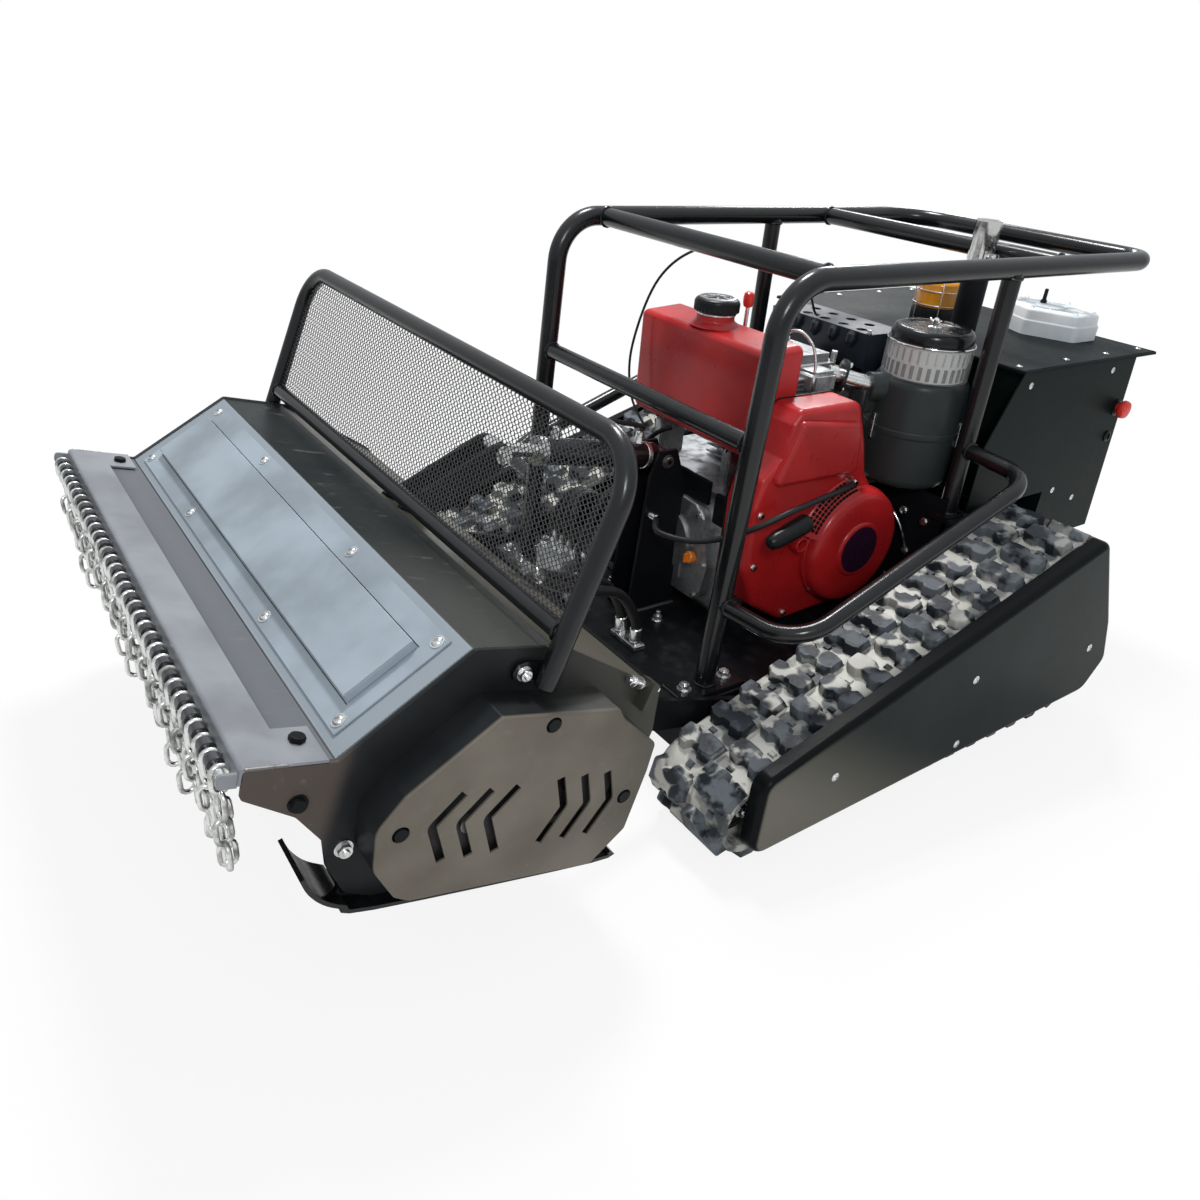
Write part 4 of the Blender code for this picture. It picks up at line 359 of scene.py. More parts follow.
def deck_paint():
    """The deck shell's coat: black, with painted reflections, slate on the front slope, grey on the shelf,
    warm grey on the near back slope, and painted light on the near half.
    """
    made = Finish("deck_top_coat", "deck_coat", specular_ior_level=0.12)
    tone = made.grain(5, 5).between(0.35, 0.65)
    # Painted reflection of the sky on faces turned forward and up: the slope and the shelf.
    slope = made.facing((0, -0.493, 0.87)).between(0.9, 0.985)
    shelf = made.facing((0, 0.25, 0.968)).between(0.975, 0.995)
    axes = made.node("ShaderNodeSeparateXYZ", {}, {0: made.place})
    # Painted light on the near half of the shell.
    near = axes["X"].between(0.05, 0.45)
    shelf = shelf * axes["Z"].between(0.47, 0.44)
    # Painted reflection, warm grey, on faces turned back and up.
    back = made.facing((0, 0.6, 0.8)).between(0.93, 0.99)
    dark = made.mix(tone, (0.008, 0.011, 0.012), (0.018, 0.021, 0.021))
    dark = made.mix(near, dark, (0.056, 0.058, 0.054))
    dark = made.mix(back, dark, (0.105, 0.1, 0.08))
    base = made.mix(slope, made.mix(shelf, dark, (0.15, 0.155, 0.17)), (0.285, 0.325, 0.36))
    scuff = made.grain(48, 8, (1, 0.35, 1)).between(0.6, 0.78) * made.upward().between(0.3, 0.9)
    made.set("Base Color", made.mix(scuff * 0.22, base, (0.3, 0.3, 0.29)))
    made.set("Roughness", scuff * 0.25 + made.grain(60, 4) * 0.14 + 0.3)
    made.relief(made.grain(520, 2) + made.grain(80, 2), 0.00022, 0.35)
    return made


def cover_paint():
    """The track covers' coat: near black, with a painted pool of warm grey light on the low front of each
    cover's face.
    """
    made = Finish("track_cover_coat", "black_coat", specular_ior_level=0.06)
    axes = made.node("ShaderNodeSeparateXYZ", {}, {0: made.place})
    face = axes["X"].between(0.609, 0.6118)
    # Painted light on the low front of the face.
    lit = (axes["Y"] + axes["Z"] * 1.6).between(0.36, -0.06) * face
    tone = made.grain(5, 3).between(0.3, 0.7)
    base = made.mix(tone, (0.005, 0.01, 0.0095), (0.011, 0.018, 0.017))
    base = made.mix(face * 0.85, (0.005, 0.006, 0.0065), base)
    made.set("Base Color", made.mix(lit, base, (0.15, 0.142, 0.118)))
    made.set("Roughness", made.grain(55, 3) * 0.1 + 0.26)
    made.relief(made.grain(620, 2), 0.0002, 0.2)
    return made


def see_through(name, slot, colour, alpha):
    """Clear or tinted plastic with faint streaks."""
    made = Finish(name, slot, alpha=alpha, ior=1.49)
    streak = made.grain(30, 4, (1, 1, 0.2)).between(0.45, 0.7)
    made.set("Base Color", made.mix(streak * 0.3, colour, shade(colour, 0.8)))
    made.set("Roughness", streak * 0.15 + 0.08)
    return made


def side_paint():
    """The side plates' and belt cover's coat: black, with painted light and reflection: warm grey on the
    cover's face, paler at its front, a lit nose, and grey towards the rear of the near side.
    """
    made = Finish("deck_side_coat", "deck_coat", specular_ior_level=0.15)
    axes = made.node("ShaderNodeSeparateXYZ", {}, {0: made.place})
    x, y, z = axes["X"], axes["Y"], axes["Z"]
    # Painted light on the nose of the near side plate.
    nose = (z * 0.35 - y).between(1.05, 1.08) * x.between(0.45, 0.52)
    # Painted reflection of the ground on the belt cover's face, paler at the front and fading to painted
    # shade at the rear.
    face = x.between(0.578, 0.5835)
    fore = y.between(-0.45, -0.62) * 0.75 + 0.25
    tone = made.grain(7, 5).between(0.3, 0.7)
    dark = made.mix(tone, (0.008, 0.0095, 0.011), (0.018, 0.02, 0.022))
    warm = made.mix(tone, (0.12, 0.104, 0.084), (0.175, 0.155, 0.128))
    # Painted light: the near side turns grey towards the rear.
    rear = y.between(-0.72, -0.5) * x.between(0.4, 0.47)
    paint = made.mix(rear * 0.8, dark, (0.062, 0.062, 0.052))
    paint = made.mix(nose, paint, (0.082, 0.066, 0.058))
    paint = made.mix(face * fore, paint, warm)
    scuff = made.grain(48, 8).between(0.6, 0.78) * 0.25
    made.set("Base Color", made.mix(scuff * (face + nose), paint, (0.26, 0.25, 0.23)))
    made.set("Roughness", made.grain(60, 4) * 0.16 + scuff * 0.4 + 0.34)
    made.relief(made.grain(520, 2) + made.grain(80, 2), 0.00022, 0.3)
    return made


FINISHES = {
    "black_coat": coat("satin_black_coat", "black_coat", (0.006, 0.0068, 0.0078), 0.23, 0.02,
                       specular_ior_level=0.42),
    "frame_coat": coat("chassis_coat", "black_coat", (0.006, 0.0068, 0.0085), 0.42, 0.05,
                       specular_ior_level=0.1),
    "lid_coat": coat("control_box_lid_coat", "black_coat", (0.01, 0.013, 0.014), 0.46, 0.02,
                     specular_ior_level=0.04),
    "box_coat": coat("control_box_coat", "black_coat", (0.005, 0.01, 0.0092), 0.4, 0.02,
                     specular_ior_level=0.06),
    "side_coat": side_paint(),
    "deck_coat": deck_paint(),
    # The carrier strip's pale grey and the hatch's slate blue are painted reflections of the sky on dark
    # paint.
    "shelf_coat": coat("carrier_coat", "black_coat", (0.235, 0.245, 0.268), 0.38, 0.12),
    "slate_coat": coat("slate_coat", "slate_coat", (0.29, 0.34, 0.385), 0.36, 0.1, peel=0.25),
    "cover_coat": cover_paint(),
    "engine_red": coat("engine_red_paint", "engine_red", (0.44, 0.014, 0.016), 0.32, 0.05,
                       (0.62, 0.3, 0.28), 0.15, coat_weight=0.12, coat_roughness=0.14,
                       specular_ior_level=0.32),
    "cast_aluminium": metal("cast_aluminium", "cast_aluminium", (0.46, 0.47, 0.48), 0.46, 0.6,
                            (0.1, 0.1, 0.1), 300, 0.0004),
    "grey_box": coat("die_cast_paint", "cast_aluminium", (0.84, 0.91, 0.96), 0.42, 0.05),
    "cast_iron": metal("dark_cast_iron", "cast_iron_part", (0.06, 0.06, 0.065), 0.58, 0.4,
                       (0.05, 0.035, 0.025), 300, 0.0004),
    "zinc": metal("bright_zinc", "bright_zinc", (0.74, 0.745, 0.74), 0.24, 0.3),
    "chain": metal("chain_zinc", "bright_zinc", (0.74, 0.75, 0.73), 0.28, 0.8, (0.09, 0.085, 0.075), 140),
    "dark_steel": metal("blackened_steel", "bright_zinc", (0.1, 0.1, 0.105), 0.34, 0.5,
                        (0.03, 0.03, 0.03), 200),
    "chrome": metal("polished_chrome", "chrome", (0.84, 0.83, 0.81), 0.1, 0.1),
    "steel": metal("worn_steel", "steel", (0.22, 0.215, 0.21), 0.42, 0.6, (0.07, 0.055, 0.045)),
    "steel_mesh": coat("mesh_coat", "black_coat", (0.045, 0.045, 0.046), 0.3, 0.0),
    "black_plastic": moulded("black_plastic", "black_plastic", (0.007, 0.0085, 0.009), 0.34,
                             specular_ior_level=0.22),
    "cleaner_plastic": moulded("air_cleaner_plastic", "black_plastic", (0.028, 0.034, 0.035), 0.36,
                               specular_ior_level=0.22),
    "glossy_plastic": moulded("glossy_black_plastic", "black_plastic", (0.006, 0.007, 0.008), 0.24,
                              specular_ior_level=0.3),
    "grey_plastic": moulded("grey_plastic", "black_plastic", (0.5, 0.5, 0.47), 0.4),
    "cap_top": metal("cap_top_grey", "black_plastic", (0.3, 0.3, 0.31), 0.34, 0.3),
    "red_plastic": moulded("red_plastic", "red_plastic", (0.68, 0.03, 0.022), 0.3),
    "orange_plastic": moulded("orange_plastic", "red_plastic", (0.8, 0.22, 0.02), 0.35),
    "hose_rubber": moulded("hose_rubber", "rubber", (0.012, 0.012, 0.013), 0.45, specular_ior_level=0.3),
    "badge": moulded("badge_enamel", "black_plastic", (0.02, 0.006, 0.018), 0.25, specular_ior_level=0.3),
    # Painted shade: near-black fill for vents, slots and edge lines where only shade is.
    "painted_shade_fill": moulded("painted_shade_fill", "black_plastic", (0.003, 0.003, 0.003), 0.8, specular_ior_level=0.1),
    "shield_coat": coat("heat_shield_coat", "black_coat", (0.014, 0.02, 0.03), 0.34, 0.04,
                        specular_ior_level=0.3),
    "track_rubber": track_rubber("track_rubber", (0.01, 0.014, 0.02), (0.115, 0.13, 0.145),
                                 (0.52, 0.51, 0.47), 0.16),
    "belt_rubber": track_rubber("dusty_belt_rubber", (0.06, 0.066, 0.07), (0.3, 0.3, 0.28),
                                (0.6, 0.59, 0.54), 0.28),
    "clear_plastic": see_through("clear_plastic", "clear_plastic", (0.88, 0.91, 0.92), 0.14),
    "amber": see_through("amber_lens", "amber", (0.9, 0.36, 0.012), 0.92),
}


def soften(b, edges, width, segments=2):
    """Round edges over; the width is limited where faces are too small for it."""
    if width:
        bmesh.ops.bevel(b, geom=edges, offset=width, segments=segments, affect="EDGES",
                        clamp_overlap=True)


def turned_block(b, place, size, edge=0.0, segments=1):
    """A box of a size about a place's origin."""
    made = bmesh.ops.create_cube(b, size=1.0, matrix=place @ Matrix.Diagonal((*size, 1.0)))
    soften(b, list({rim for vert in made["verts"] for rim in vert.link_edges}), edge, segments)


def block(b, low, high, edge=0.0012, segments=2):
    """A box between two corners, with softened edges."""
    low, high = Vector(low), Vector(high)
    size = [abs(value) for value in high - low]
    turned_block(b, Matrix.Translation((low + high) / 2), size, min(edge, 0.45 * min(size)), segments)


def turning(points):
    """Twice the area of an outline, positive where it runs anticlockwise."""
    return sum(points[k - 1][0] * points[k][1] - points[k][0] * points[k - 1][1]
               for k in range(len(points)))


def anticlockwise(points):
    points = [tuple(point)[:2] for point in points]
    return points if turning(points) > 0 else points[::-1]


def plate(b, outline, low, high, axis="X", holes=(), edge=0.0008, segments=2):
    """A flat outline made thick along an axis, with softened rims."""
    rings = [anticlockwise(outline)] + [anticlockwise(hole)[::-1] for hole in holes]

    def corner(point, height):
        along = {"X": (height, *point), "Y": (point[0], height, point[1]), "Z": (*point, height)}
        return b.verts.new(along[axis])

    sides = [[[corner(point, height) for point in ring] for ring in rings] for height in (low, high)]
    rims = []
    for rows in sides:
        if holes:
            flat = [vert for ring in rows for vert in ring]
            for triple in tessellate_polygon([[Vector((*point, 0)) for point in ring] for ring in rings]):
                if len(set(triple)) == 3:
                    b.faces.new([flat[k] for k in triple])
        else:
            b.faces.new(rows[0])
    for lower, upper in zip(*sides):
        for k in range(len(lower)):
            b.faces.new((lower[k - 1], lower[k], upper[k], upper[k - 1]))
            rims += [b.edges.get((lower[k - 1], lower[k])), b.edges.get((upper[k - 1], upper[k]))]
    if holes:
        bmesh.ops.recalc_face_normals(b, faces=list({face for row in sides for ring in row
                                                     for vert in ring for face in vert.link_faces}))
    soften(b, [rim for rim in rims if rim], edge, segments)


def across(tangent):
    """A unit vector square to a tangent, level where it can be."""
    side = tangent.cross(Vector((0, 0, 1)))
    if side.length < 1e-4:
        side = tangent.cross(Vector((0, 1, 0)))
    return side.normalized()


def skin(b, rings, first=False, last=False):
    """Join rings of equal length by quads; first and last say which end is closed."""
    for near, far in zip(rings, rings[1:]):
        for k in range(len(near)):
            b.faces.new((near[k - 1], near[k], far[k], far[k - 1]))
    if first:
        b.faces.new(rings[0][::-1])
    if last:
        b.faces.new(rings[-1])


def fluted(b, profile, at, sides, groove, cycle=(0, 1)):
    """Rings about the vertical from (radius, height, share) rows, fluted by share of the groove's depth."""
    x, y, base = at
    rings = []
    for radius, height, share in profile:
        reaches = [radius - groove * share * cycle[k % len(cycle)] for k in range(sides)]
        rings.append([b.verts.new((x + reach * math.cos(math.tau * k / sides),
                                   y + reach * math.sin(math.tau * k / sides), base + height))
                      for k, reach in enumerate(reaches)])
    return rings


def tube(b, path, radius, sides=24, closed=False):
    """A round tube along points; radius may be one value or one for each point."""
    points = [Vector(point) for point in path]
    count = len(points)
    radii = radius if isinstance(radius, (list, tuple)) else [radius] * count
    rows = []
    side = None
    for k, point in enumerate(points):
        ahead = points[(k + 1) % count] if closed or k < count - 1 else point
        behind = points[k - 1] if closed or k > 0 else point
        tangent = (ahead - behind).normalized()
        side = across(tangent) if side is None else (side - tangent * side.dot(tangent)).normalized()
        up = tangent.cross(side)
        rows.append([b.verts.new(point + (side * math.cos(a) + up * math.sin(a)) * radii[k])
                     for a in (math.tau * j / sides for j in range(sides))])
    skin(b, rows + rows[:1] if closed else rows)
    if not closed:
        b.faces.new(rows[0])
        b.faces.new(rows[-1][::-1])


def turned(b, profile, at=(0, 0, 0), along=(0, 0, 1), sides=48, hexed=(), start=0.0):
    """Revolve (radius, height) pairs round an axis. Rows named in hexed become hexagons."""
    along = Vector(along).normalized()
    u = across(along)
    v = along.cross(u)
    at = Vector(at)
    rows = []
    for number, (radius, height) in enumerate(profile):
        if radius == 0:
            rows.append([b.verts.new(at + along * height)] * sides)
            continue
        row = []
        for j in range(sides):
            a = start + math.tau * j / sides
            reach = radius
            if number in hexed:
                reach = radius * math.cos(math.pi / 6) / math.cos(a % (math.pi / 3) - math.pi / 6)
            row.append(b.verts.new(at + along * height + (u * math.cos(a) + v * math.sin(a)) * reach))
        rows.append(row)
    for near, far in zip(rows, rows[1:]):
        for j in range(sides):
            ring = []
            for vert in (near[j - 1], near[j], far[j], far[j - 1]):
                if vert not in ring:
                    ring.append(vert)
            if len(ring) > 2:
                b.faces.new(ring)


def rounded(points, radius, steps=6, closed=False):
    """A path with its corners rounded; radius may be one value or one for each corner."""
    points = [Vector(point) for point in points]
    count = len(points)
    inner = range(count) if closed else range(1, count - 1)
    radii = dict(zip(inner, radius)) if isinstance(radius, (list, tuple)) else dict.fromkeys(inner, radius)
    path = []
    for k, here in enumerate(points):
        if k not in radii or not radii[k]:
            path.append(here)
            continue
        into = (here - points[k - 1]).normalized()
        away = (points[(k + 1) % count] - here).normalized()
        turn = math.acos(max(-1.0, min(1.0, into.dot(away))))
        if turn < 0.001:
            path.append(here)
            continue
        size = radii[k]
        reach = size * math.tan(turn / 2)
        normal = (away - into * into.dot(away)).normalized()
        centre = here - into * reach + normal * size
        for step in range(steps + 1):
            a = turn * step / steps
            path.append(centre - normal * size * math.cos(a) + into * size * math.sin(a))
    return path


def offset(points, distance, closed=True):
    """Each edge of an outline moved to its left, with mitred corners."""
    points = [Vector(tuple(point)[:2]) for point in points]
    count = len(points)
    result = []
    for k, here in enumerate(points):
        lefts = []
        if closed or k > 0:
            step = (here - points[k - 1]).normalized()
            lefts.append(Vector((-step.y, step.x)))
        if closed or k < count - 1:
            step = (points[(k + 1) % count] - here).normalized()
            lefts.append(Vector((-step.y, step.x)))
        middle = sum(lefts, Vector((0.0, 0.0))).normalized()
        result.append(here + middle * distance / middle.dot(lefts[0]))
    return result


def bent_sheet(path, thickness):
    """Outline of a bent sheet whose path is its middle line."""
    left = offset(path, thickness / 2, closed=False)
    return left + offset(path, -thickness / 2, closed=False)[::-1]


def circle(centre, radius, sides=32, start=0.0):
    """Points on a circle, from a starting angle."""
    return [(centre[0] + radius * math.cos(a), centre[1] + radius * math.sin(a))
            for a in (start + math.tau * k / sides for k in range(sides))]


def oblong(low, high, radius, steps):
    """Outline of an upright rectangle between two corners, rounded off."""
    return rounded([low, (high[0], low[1]), high, (low[0], high[1])], radius, steps, True)


def collar(b, inner, outer, ends, at, along, sides):
    """A plain ring between two radii and two heights, open on its inside."""
    turned(b, [(inner, ends[0]), (outer, ends[0]), (outer, ends[1]), (inner, ends[1])], at, along, sides)


def dished(b, outline, open_x, face_x, fold, steps=5, holes=()):
    """A pressed pan: walls from open_x, a round fold and a flat face at face_x, which may have holes."""
    outline = anticlockwise(outline)
    sign = 1 if face_x > open_x else -1
    rings = [(outline, open_x)]
    for step in range(steps + 1):
        a = math.pi / 2 * step / steps
        rings.append((offset(outline, fold * (1 - math.cos(a))), face_x - sign * fold * (1 - math.sin(a))))
    back = face_x - sign * PRESSED_SHEET
    inside = offset(outline, PRESSED_SHEET)
    inner = [(offset(outline, fold), back), (inside, face_x - sign * fold), (inside, open_x)]
    rows = [[b.verts.new((x, *point)) for point in ring] for ring, x in rings]
    hidden = [[b.verts.new((x, *point)) for point in ring] for ring, x in inner]
    skin(b, rows)
    skin(b, [*hidden, rows[0]])
    if not holes:
        b.faces.new(rows[-1])
        b.faces.new(hidden[0][::-1])
        return
    holes = [anticlockwise(hole)[::-1] for hole in holes]
    rims = []
    for row, x in ((rows[-1], face_x), (hidden[0], back)):
        cuts = [[b.verts.new((x, *point)) for point in hole] for hole in holes]
        rims.append(cuts)
        flat = row + [vert for ring in cuts for vert in ring]
        for triple in tessellate_polygon([[Vector((vert.co.y, vert.co.z, 0)) for vert in ring]
                                          for ring in (row, *cuts)]):
            if len(set(triple)) == 3:
                b.faces.new([flat[k] for k in triple])
    for outer, deep in zip(*rims):
        for k in range(len(outer)):
            b.faces.new((outer[k - 1], outer[k], deep[k], deep[k - 1]))


def hex_bolt(b, at, along, across_flats=0.018, height=0.007, washer=True):
    """Hexagon head with a chamfered top, on a washer."""
    radius = across_flats / 2 / math.cos(math.pi / 6)
    base = 0.0
    if washer:
        turned(b, [(0, 0), (radius * 1.25, 0), (radius * 1.25, 0.0018), (0, 0.0018)], at, along, 28)
        base = 0.0017
    turned(b, [(0, base), (radius, base), (radius, base + height * 0.82), (radius * 0.88, base + height),
               (0, base + height)], at, along, 24, hexed=(1, 2))


def hex_nut(b, at, along, across_flats=0.018, height=0.009, stud=0.006):
    """Nut with its washer, and the stud's end standing out of it."""
    hex_bolt(b, at, along, across_flats, height)
    core = across_flats * 0.28
    top = 0.0017 + height + stud
    turned(b, [(core, height * 0.9), (core, top - 0.001), (core - 0.001, top), (0, top)], at, along, 16)


def button_screw(b, at, along, radius=0.008):
    """Low domed screw on a washer, with a hexagon socket."""
    turned(b, [(0, 0), (radius * 1.3, 0), (radius * 1.3, 0.0012), (radius, 0.0014),
               (radius * 0.97, radius * 0.28), (radius * 0.78, radius * 0.52),
               (radius * 0.5, radius * 0.62), (radius * 0.46, radius * 0.6), (radius * 0.44, radius * 0.2),
               (0, radius * 0.2)], at, along, 24, hexed=(7, 8))


def weld(b, path, radius=0.003, closed=False):
    """A rippled weld bead along a path."""
    points = [Vector(point) for point in path]
    if closed:
        points.append(points[0])
    fine = []
    for near, far in zip(points, points[1:]):
        steps = max(1, round((far - near).length / 0.0028))
        fine += [near.lerp(far, k / steps) for k in range(steps)]
    if not closed:
        fine.append(points[-1])
    radii = [radius * (0.84 + 0.24 * (k % 2)) for k in range(len(fine))]
    tube(b, fine, radii, 8, closed)


def ring_weld(b, centre, along, radius, bead=0.003):
    """A weld bead all round a tube."""
    weld(b, ring_path(centre, along, radius), bead, True)


def ring_path(centre, along, radius, sides=28):
    """Points on a ring about an axis."""
    along = Vector(along).normalized()
    u = across(along)
    v = along.cross(u)
    return [Vector(centre) + (u * math.cos(a) + v * math.sin(a)) * radius
            for a in (math.tau * k / sides for k in range(sides))]


def smooth_route(points, steps=6):
    """A smooth curve through a route's points."""
    points = [Vector(point) for point in points]
    path = []
    for k in range(len(points) - 1):
        before, here, there = points[max(k - 1, 0)], points[k], points[k + 1]
        after = points[min(k + 2, len(points) - 1)]
        for step in range(steps):
            t = step / steps
            path.append(0.5 * ((2 * here) + (there - before) * t
                               + (2 * before - 5 * here + 4 * there - after) * t * t
                               + (3 * here - before - 3 * there + after) * t * t * t))
    path.append(points[-1])
    return path


def placed(name, data):
    """A new object in the scene."""
    item = bpy.data.objects.new(name, data)
    bpy.context.scene.collection.objects.link(item)
    return item


def piece(b, name, finish, body="chassis", place=MACHINE, replaces=(), angle=38):
    """Turn worked-up geometry into a piece that rides on a body, on none where body is empty."""
    bmesh.ops.recalc_face_normals(b, faces=b.faces)
    mesh = bpy.data.meshes.new(name)
    b.to_mesh(mesh)
    b.free()
    mesh.transform(place)
    mesh.materials.append(FINISHES[finish].material)
    mesh.shade_smooth()
    mesh.set_sharp_from_angle(angle=math.radians(angle))
    item = placed(name, mesh)
    weights = item.modifiers.new("even_shading", "WEIGHTED_NORMAL")
    weights.keep_sharp = True
    if body:
        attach(item, body)
    if replaces:
        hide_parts(*replaces)
    return item


def dress(finish, *nodes):
    """Give CAD nodes a finish."""
    for name in nodes:
        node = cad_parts[name]
        if not node.material_slots:
            node.data.materials.append(None)
        for entry in node.material_slots:
            entry.material = FINISHES[finish].material


def wrap(circles):
    """The line of a belt round circles (y, z, radius) given in turn."""
    parts = []
    normals = []
    count = len(circles)
    for k in range(count):
        (y0, z0, r0), (y1, z1, r1) = circles[k], circles[(k + 1) % count]
        along = Vector((y1 - y0, z1 - z0))
        share = (r0 - r1) / along.length
        along.normalize()
        normals.append(along * share + Vector((along.y, -along.x)) * math.sqrt(1 - share * share))
    for k in range(count):
        y, z, radius = circles[k]
        start = math.atan2(normals[k - 1].y, normals[k - 1].x)
        sweep = (math.atan2(normals[k].y, normals[k].x) - start) % math.tau
        y1, z1, r1 = circles[(k + 1) % count]
        first = Vector((y, z)) + normals[k] * radius
        last = Vector((y1, z1)) + normals[k] * r1
        parts.append(("arc", Vector((y, z)), radius, start, sweep, radius * sweep))
        parts.append(("line", first, last, normals[k], (last - first).length))
    total = sum(part[-1] for part in parts)

    def at(length, height):
        length %= total
        for part in parts:
            if length <= part[-1]:
                break
            length -= part[-1]
        if part[0] == "arc":
            _, centre, radius, start, sweep, size = part
            a = start + sweep * length / size
            return tuple(centre + Vector((math.cos(a), math.sin(a))) * (radius + height))
        _, first, last, normal, size = part
        return tuple(first.lerp(last, length / size) + normal * height)

    return at, total


# Tracks

LUG_SHAPE = ((-0.022, 0.004), (0.014, 0.004), (0.02, 0.012), (0.022, 0.03), (0.014, 0.038), (0.015, 0.054),
             (0.024, 0.06), (0.024, 0.076), (0.017, 0.082), (0.014, 0.0885), (-0.018, 0.0885),
             (-0.022, 0.07), (-0.013, 0.064), (-0.014, 0.05), (-0.025, 0.044), (-0.026, 0.02))


PAD_CORNERS = ((-0.006, -0.008), (0.006, -0.008), (0.006, 0.008), (-0.006, 0.008))
HORN_CORNERS = ((-0.014, -0.006), (0.014, -0.006), (0.014, 0.006), (-0.014, 0.006))


def stud(b, at, side, x, length, corners, layers):
    """A tapered stub on the track's line: corners give its foot, layers its heights and scales."""
    skin(b, [[b.verts.new((side * (WHEEL_X + x + dx * scale), *at(length + ds * scale, height)))
              for ds, dx in corners] for height, scale in layers], last=True)


def track(side, label):
    """A rubber belt with guide horns inside, and two staggered half-rows of lugs."""
    at, total = wrap((IDLER, ROLLER, SPROCKET))
    lugs = round(total * (1 + BELT_CARCASS / 0.3) / LUG_PITCH)
    pitch = total / lugs
    belt = bmesh.new()
    half = BELT_WIDTH / 2
    section = ((-half, 0.003), (-half + 0.003, 0.0), (half - 0.003, 0.0), (half, 0.003),
               (half, 0.011), (half - 0.004, 0.0138), (0.005, 0.0138), (0.002, 0.0115),
               (-0.002, 0.0115), (-0.005, 0.0138), (-half + 0.004, 0.0138), (-half, 0.011))
    rows = []
    steps = lugs * 8
    for k in range(steps):
        rows.append([belt.verts.new((side * (WHEEL_X + x), *at(total * k / steps, height)))
                     for x, height in section])
    skin(belt, rows[-1:] + rows)
    b = bmesh.new()
    heights = ((BELT_CARCASS - 0.002, 1.1), (BELT_CARCASS + 0.004, 0.98),
               (BELT_CARCASS + LUG_HEIGHT - 0.003, 0.84), (BELT_CARCASS + LUG_HEIGHT, 0.72))
    for k in range(lugs):
        for row, shift in ((1, 0.0), (-1, 0.5)):
            start = (k + shift) * pitch + 0.02
            jitter = chance.uniform(-0.0006, 0.0006)
            layers = []
            for height, scale in heights:
                squeeze = 1 - (1 - scale) * 0.1
                reaches = [min(x * (1 if x < 0.01 else squeeze), half) for _, x in LUG_SHAPE]
                layers.append([b.verts.new((side * (WHEEL_X + row * reach),
                                            *at(start + s * scale + jitter, height)))
                               for (s, _), reach in zip(LUG_SHAPE, reaches)])
            skin(b, layers, first=True, last=True)
            x = row * (0.03 if k % 2 else 0.056)
            stud(b, at, side, x, start + 0.5 * pitch, PAD_CORNERS,
                 ((BELT_CARCASS - 0.002, 1.0), (BELT_CARCASS + 0.004, 0.7)))
    piece(b, f"track_lugs_{label}", "track_rubber", angle=30)
    for k in range(lugs):
        for x in (-0.011, 0.011):
            stud(belt, at, side, x, k * pitch, HORN_CORNERS, ((0.001, 1.0), (-0.019, 0.55)))
    piece(belt, f"rubber_belt_{label}", "belt_rubber", replaces=[f"track_{label}"], angle=30)


def track_wheel(side, label, node, body, wheel, spokes):
    """Two rims on a hub, with the gap between them that the track's guide horns run in."""
    y, z, radius = wheel
    outer = radius - 0.0012
    b = bmesh.new()
    for end in (1, -1):
        near, far = 0.024 * end, WHEEL_HALF * end
        turned(b, [(0.026, near), (outer, near), (outer, far - 0.004 * end), (outer - 0.004, far),
                   (outer - 0.014, far), (outer - 0.017, far - 0.012 * end), (0.034, far - 0.012 * end),
                   (0.032, far), (0.0145, far), (0.0145, near)],
               (side * WHEEL_X, y, z), (1, 0, 0), 48)
        for place in circle((y, z), 0.0345, spokes):
            hex_bolt(b, (side * WHEEL_X + far - 0.012 * end, *place), (end, 0, 0), 0.008, 0.004, False)
    turned(b, [(0.026, -0.026), (0.026, 0.026)], (side * WHEEL_X, y, z), (1, 0, 0), 32)
    piece(b, f"{node}_wheel_{label}", "cast_iron", body, replaces=[f"{node}_{label}"])


def sprocket_wheel(side, label):
    """Two toothed plates on a hub, with lightening holes."""
    y, z, radius = SPROCKET
    teeth = 12
    outline = []
    for k in range(teeth):
        for share, reach in ((-0.34, 0.8), (-0.22, 0.9), (-0.13, 0.98), (-0.05, 1.0), (0.05, 1.0),
                             (0.13, 0.98), (0.22, 0.9), (0.34, 0.8)):
            a = math.tau * (k + share) / teeth
            outline.append((y + (radius - 0.0012) * reach * math.cos(a),
                            z + (radius - 0.0012) * reach * math.sin(a)))
    b = bmesh.new()
    for low, high in ((-WHEEL_HALF, -WHEEL_HALF + 0.014), (WHEEL_HALF - 0.014, WHEEL_HALF)):
        holes = [circle((y, z), 0.0175, 28)]
        holes += [circle(place, 0.007, 16) for place in circle((y, z), 0.045, 6)]
        plate(b, outline, side * WHEEL_X + low, side * WHEEL_X + high, holes=holes)
    collar(b, 0.0175, 0.034, (-0.04, 0.04), (side * WHEEL_X, y, z), (1, 0, 0), 32)
    piece(b, f"sprocket_wheel_{label}", "cast_iron", f"sprocket_{label}",
          replaces=[f"drive_sprocket_{label}"])


def track_cover(side, label):
    """The pressed cover outside a track, with its screws."""
    b = bmesh.new()
    outline = rounded(COVER_OUTLINE, (0.03, 0.03, 0.022, 0.035, 0.03, 0.04), 8, True)
    dished(b, outline, side * COVER_OPEN_X, side * COVER_X, 0.014)
    piece(b, f"track_side_cover_{label}", "cover_coat", replaces=[f"track_cover_{label}"],
          angle=50)
    b = bmesh.new()
    for y, z in COVER_SCREWS:
        button_screw(b, (side * (COVER_X - 0.0006), y, z), (side, 0, 0), 0.0065)
    piece(b, f"cover_screws_{label}", "zinc")


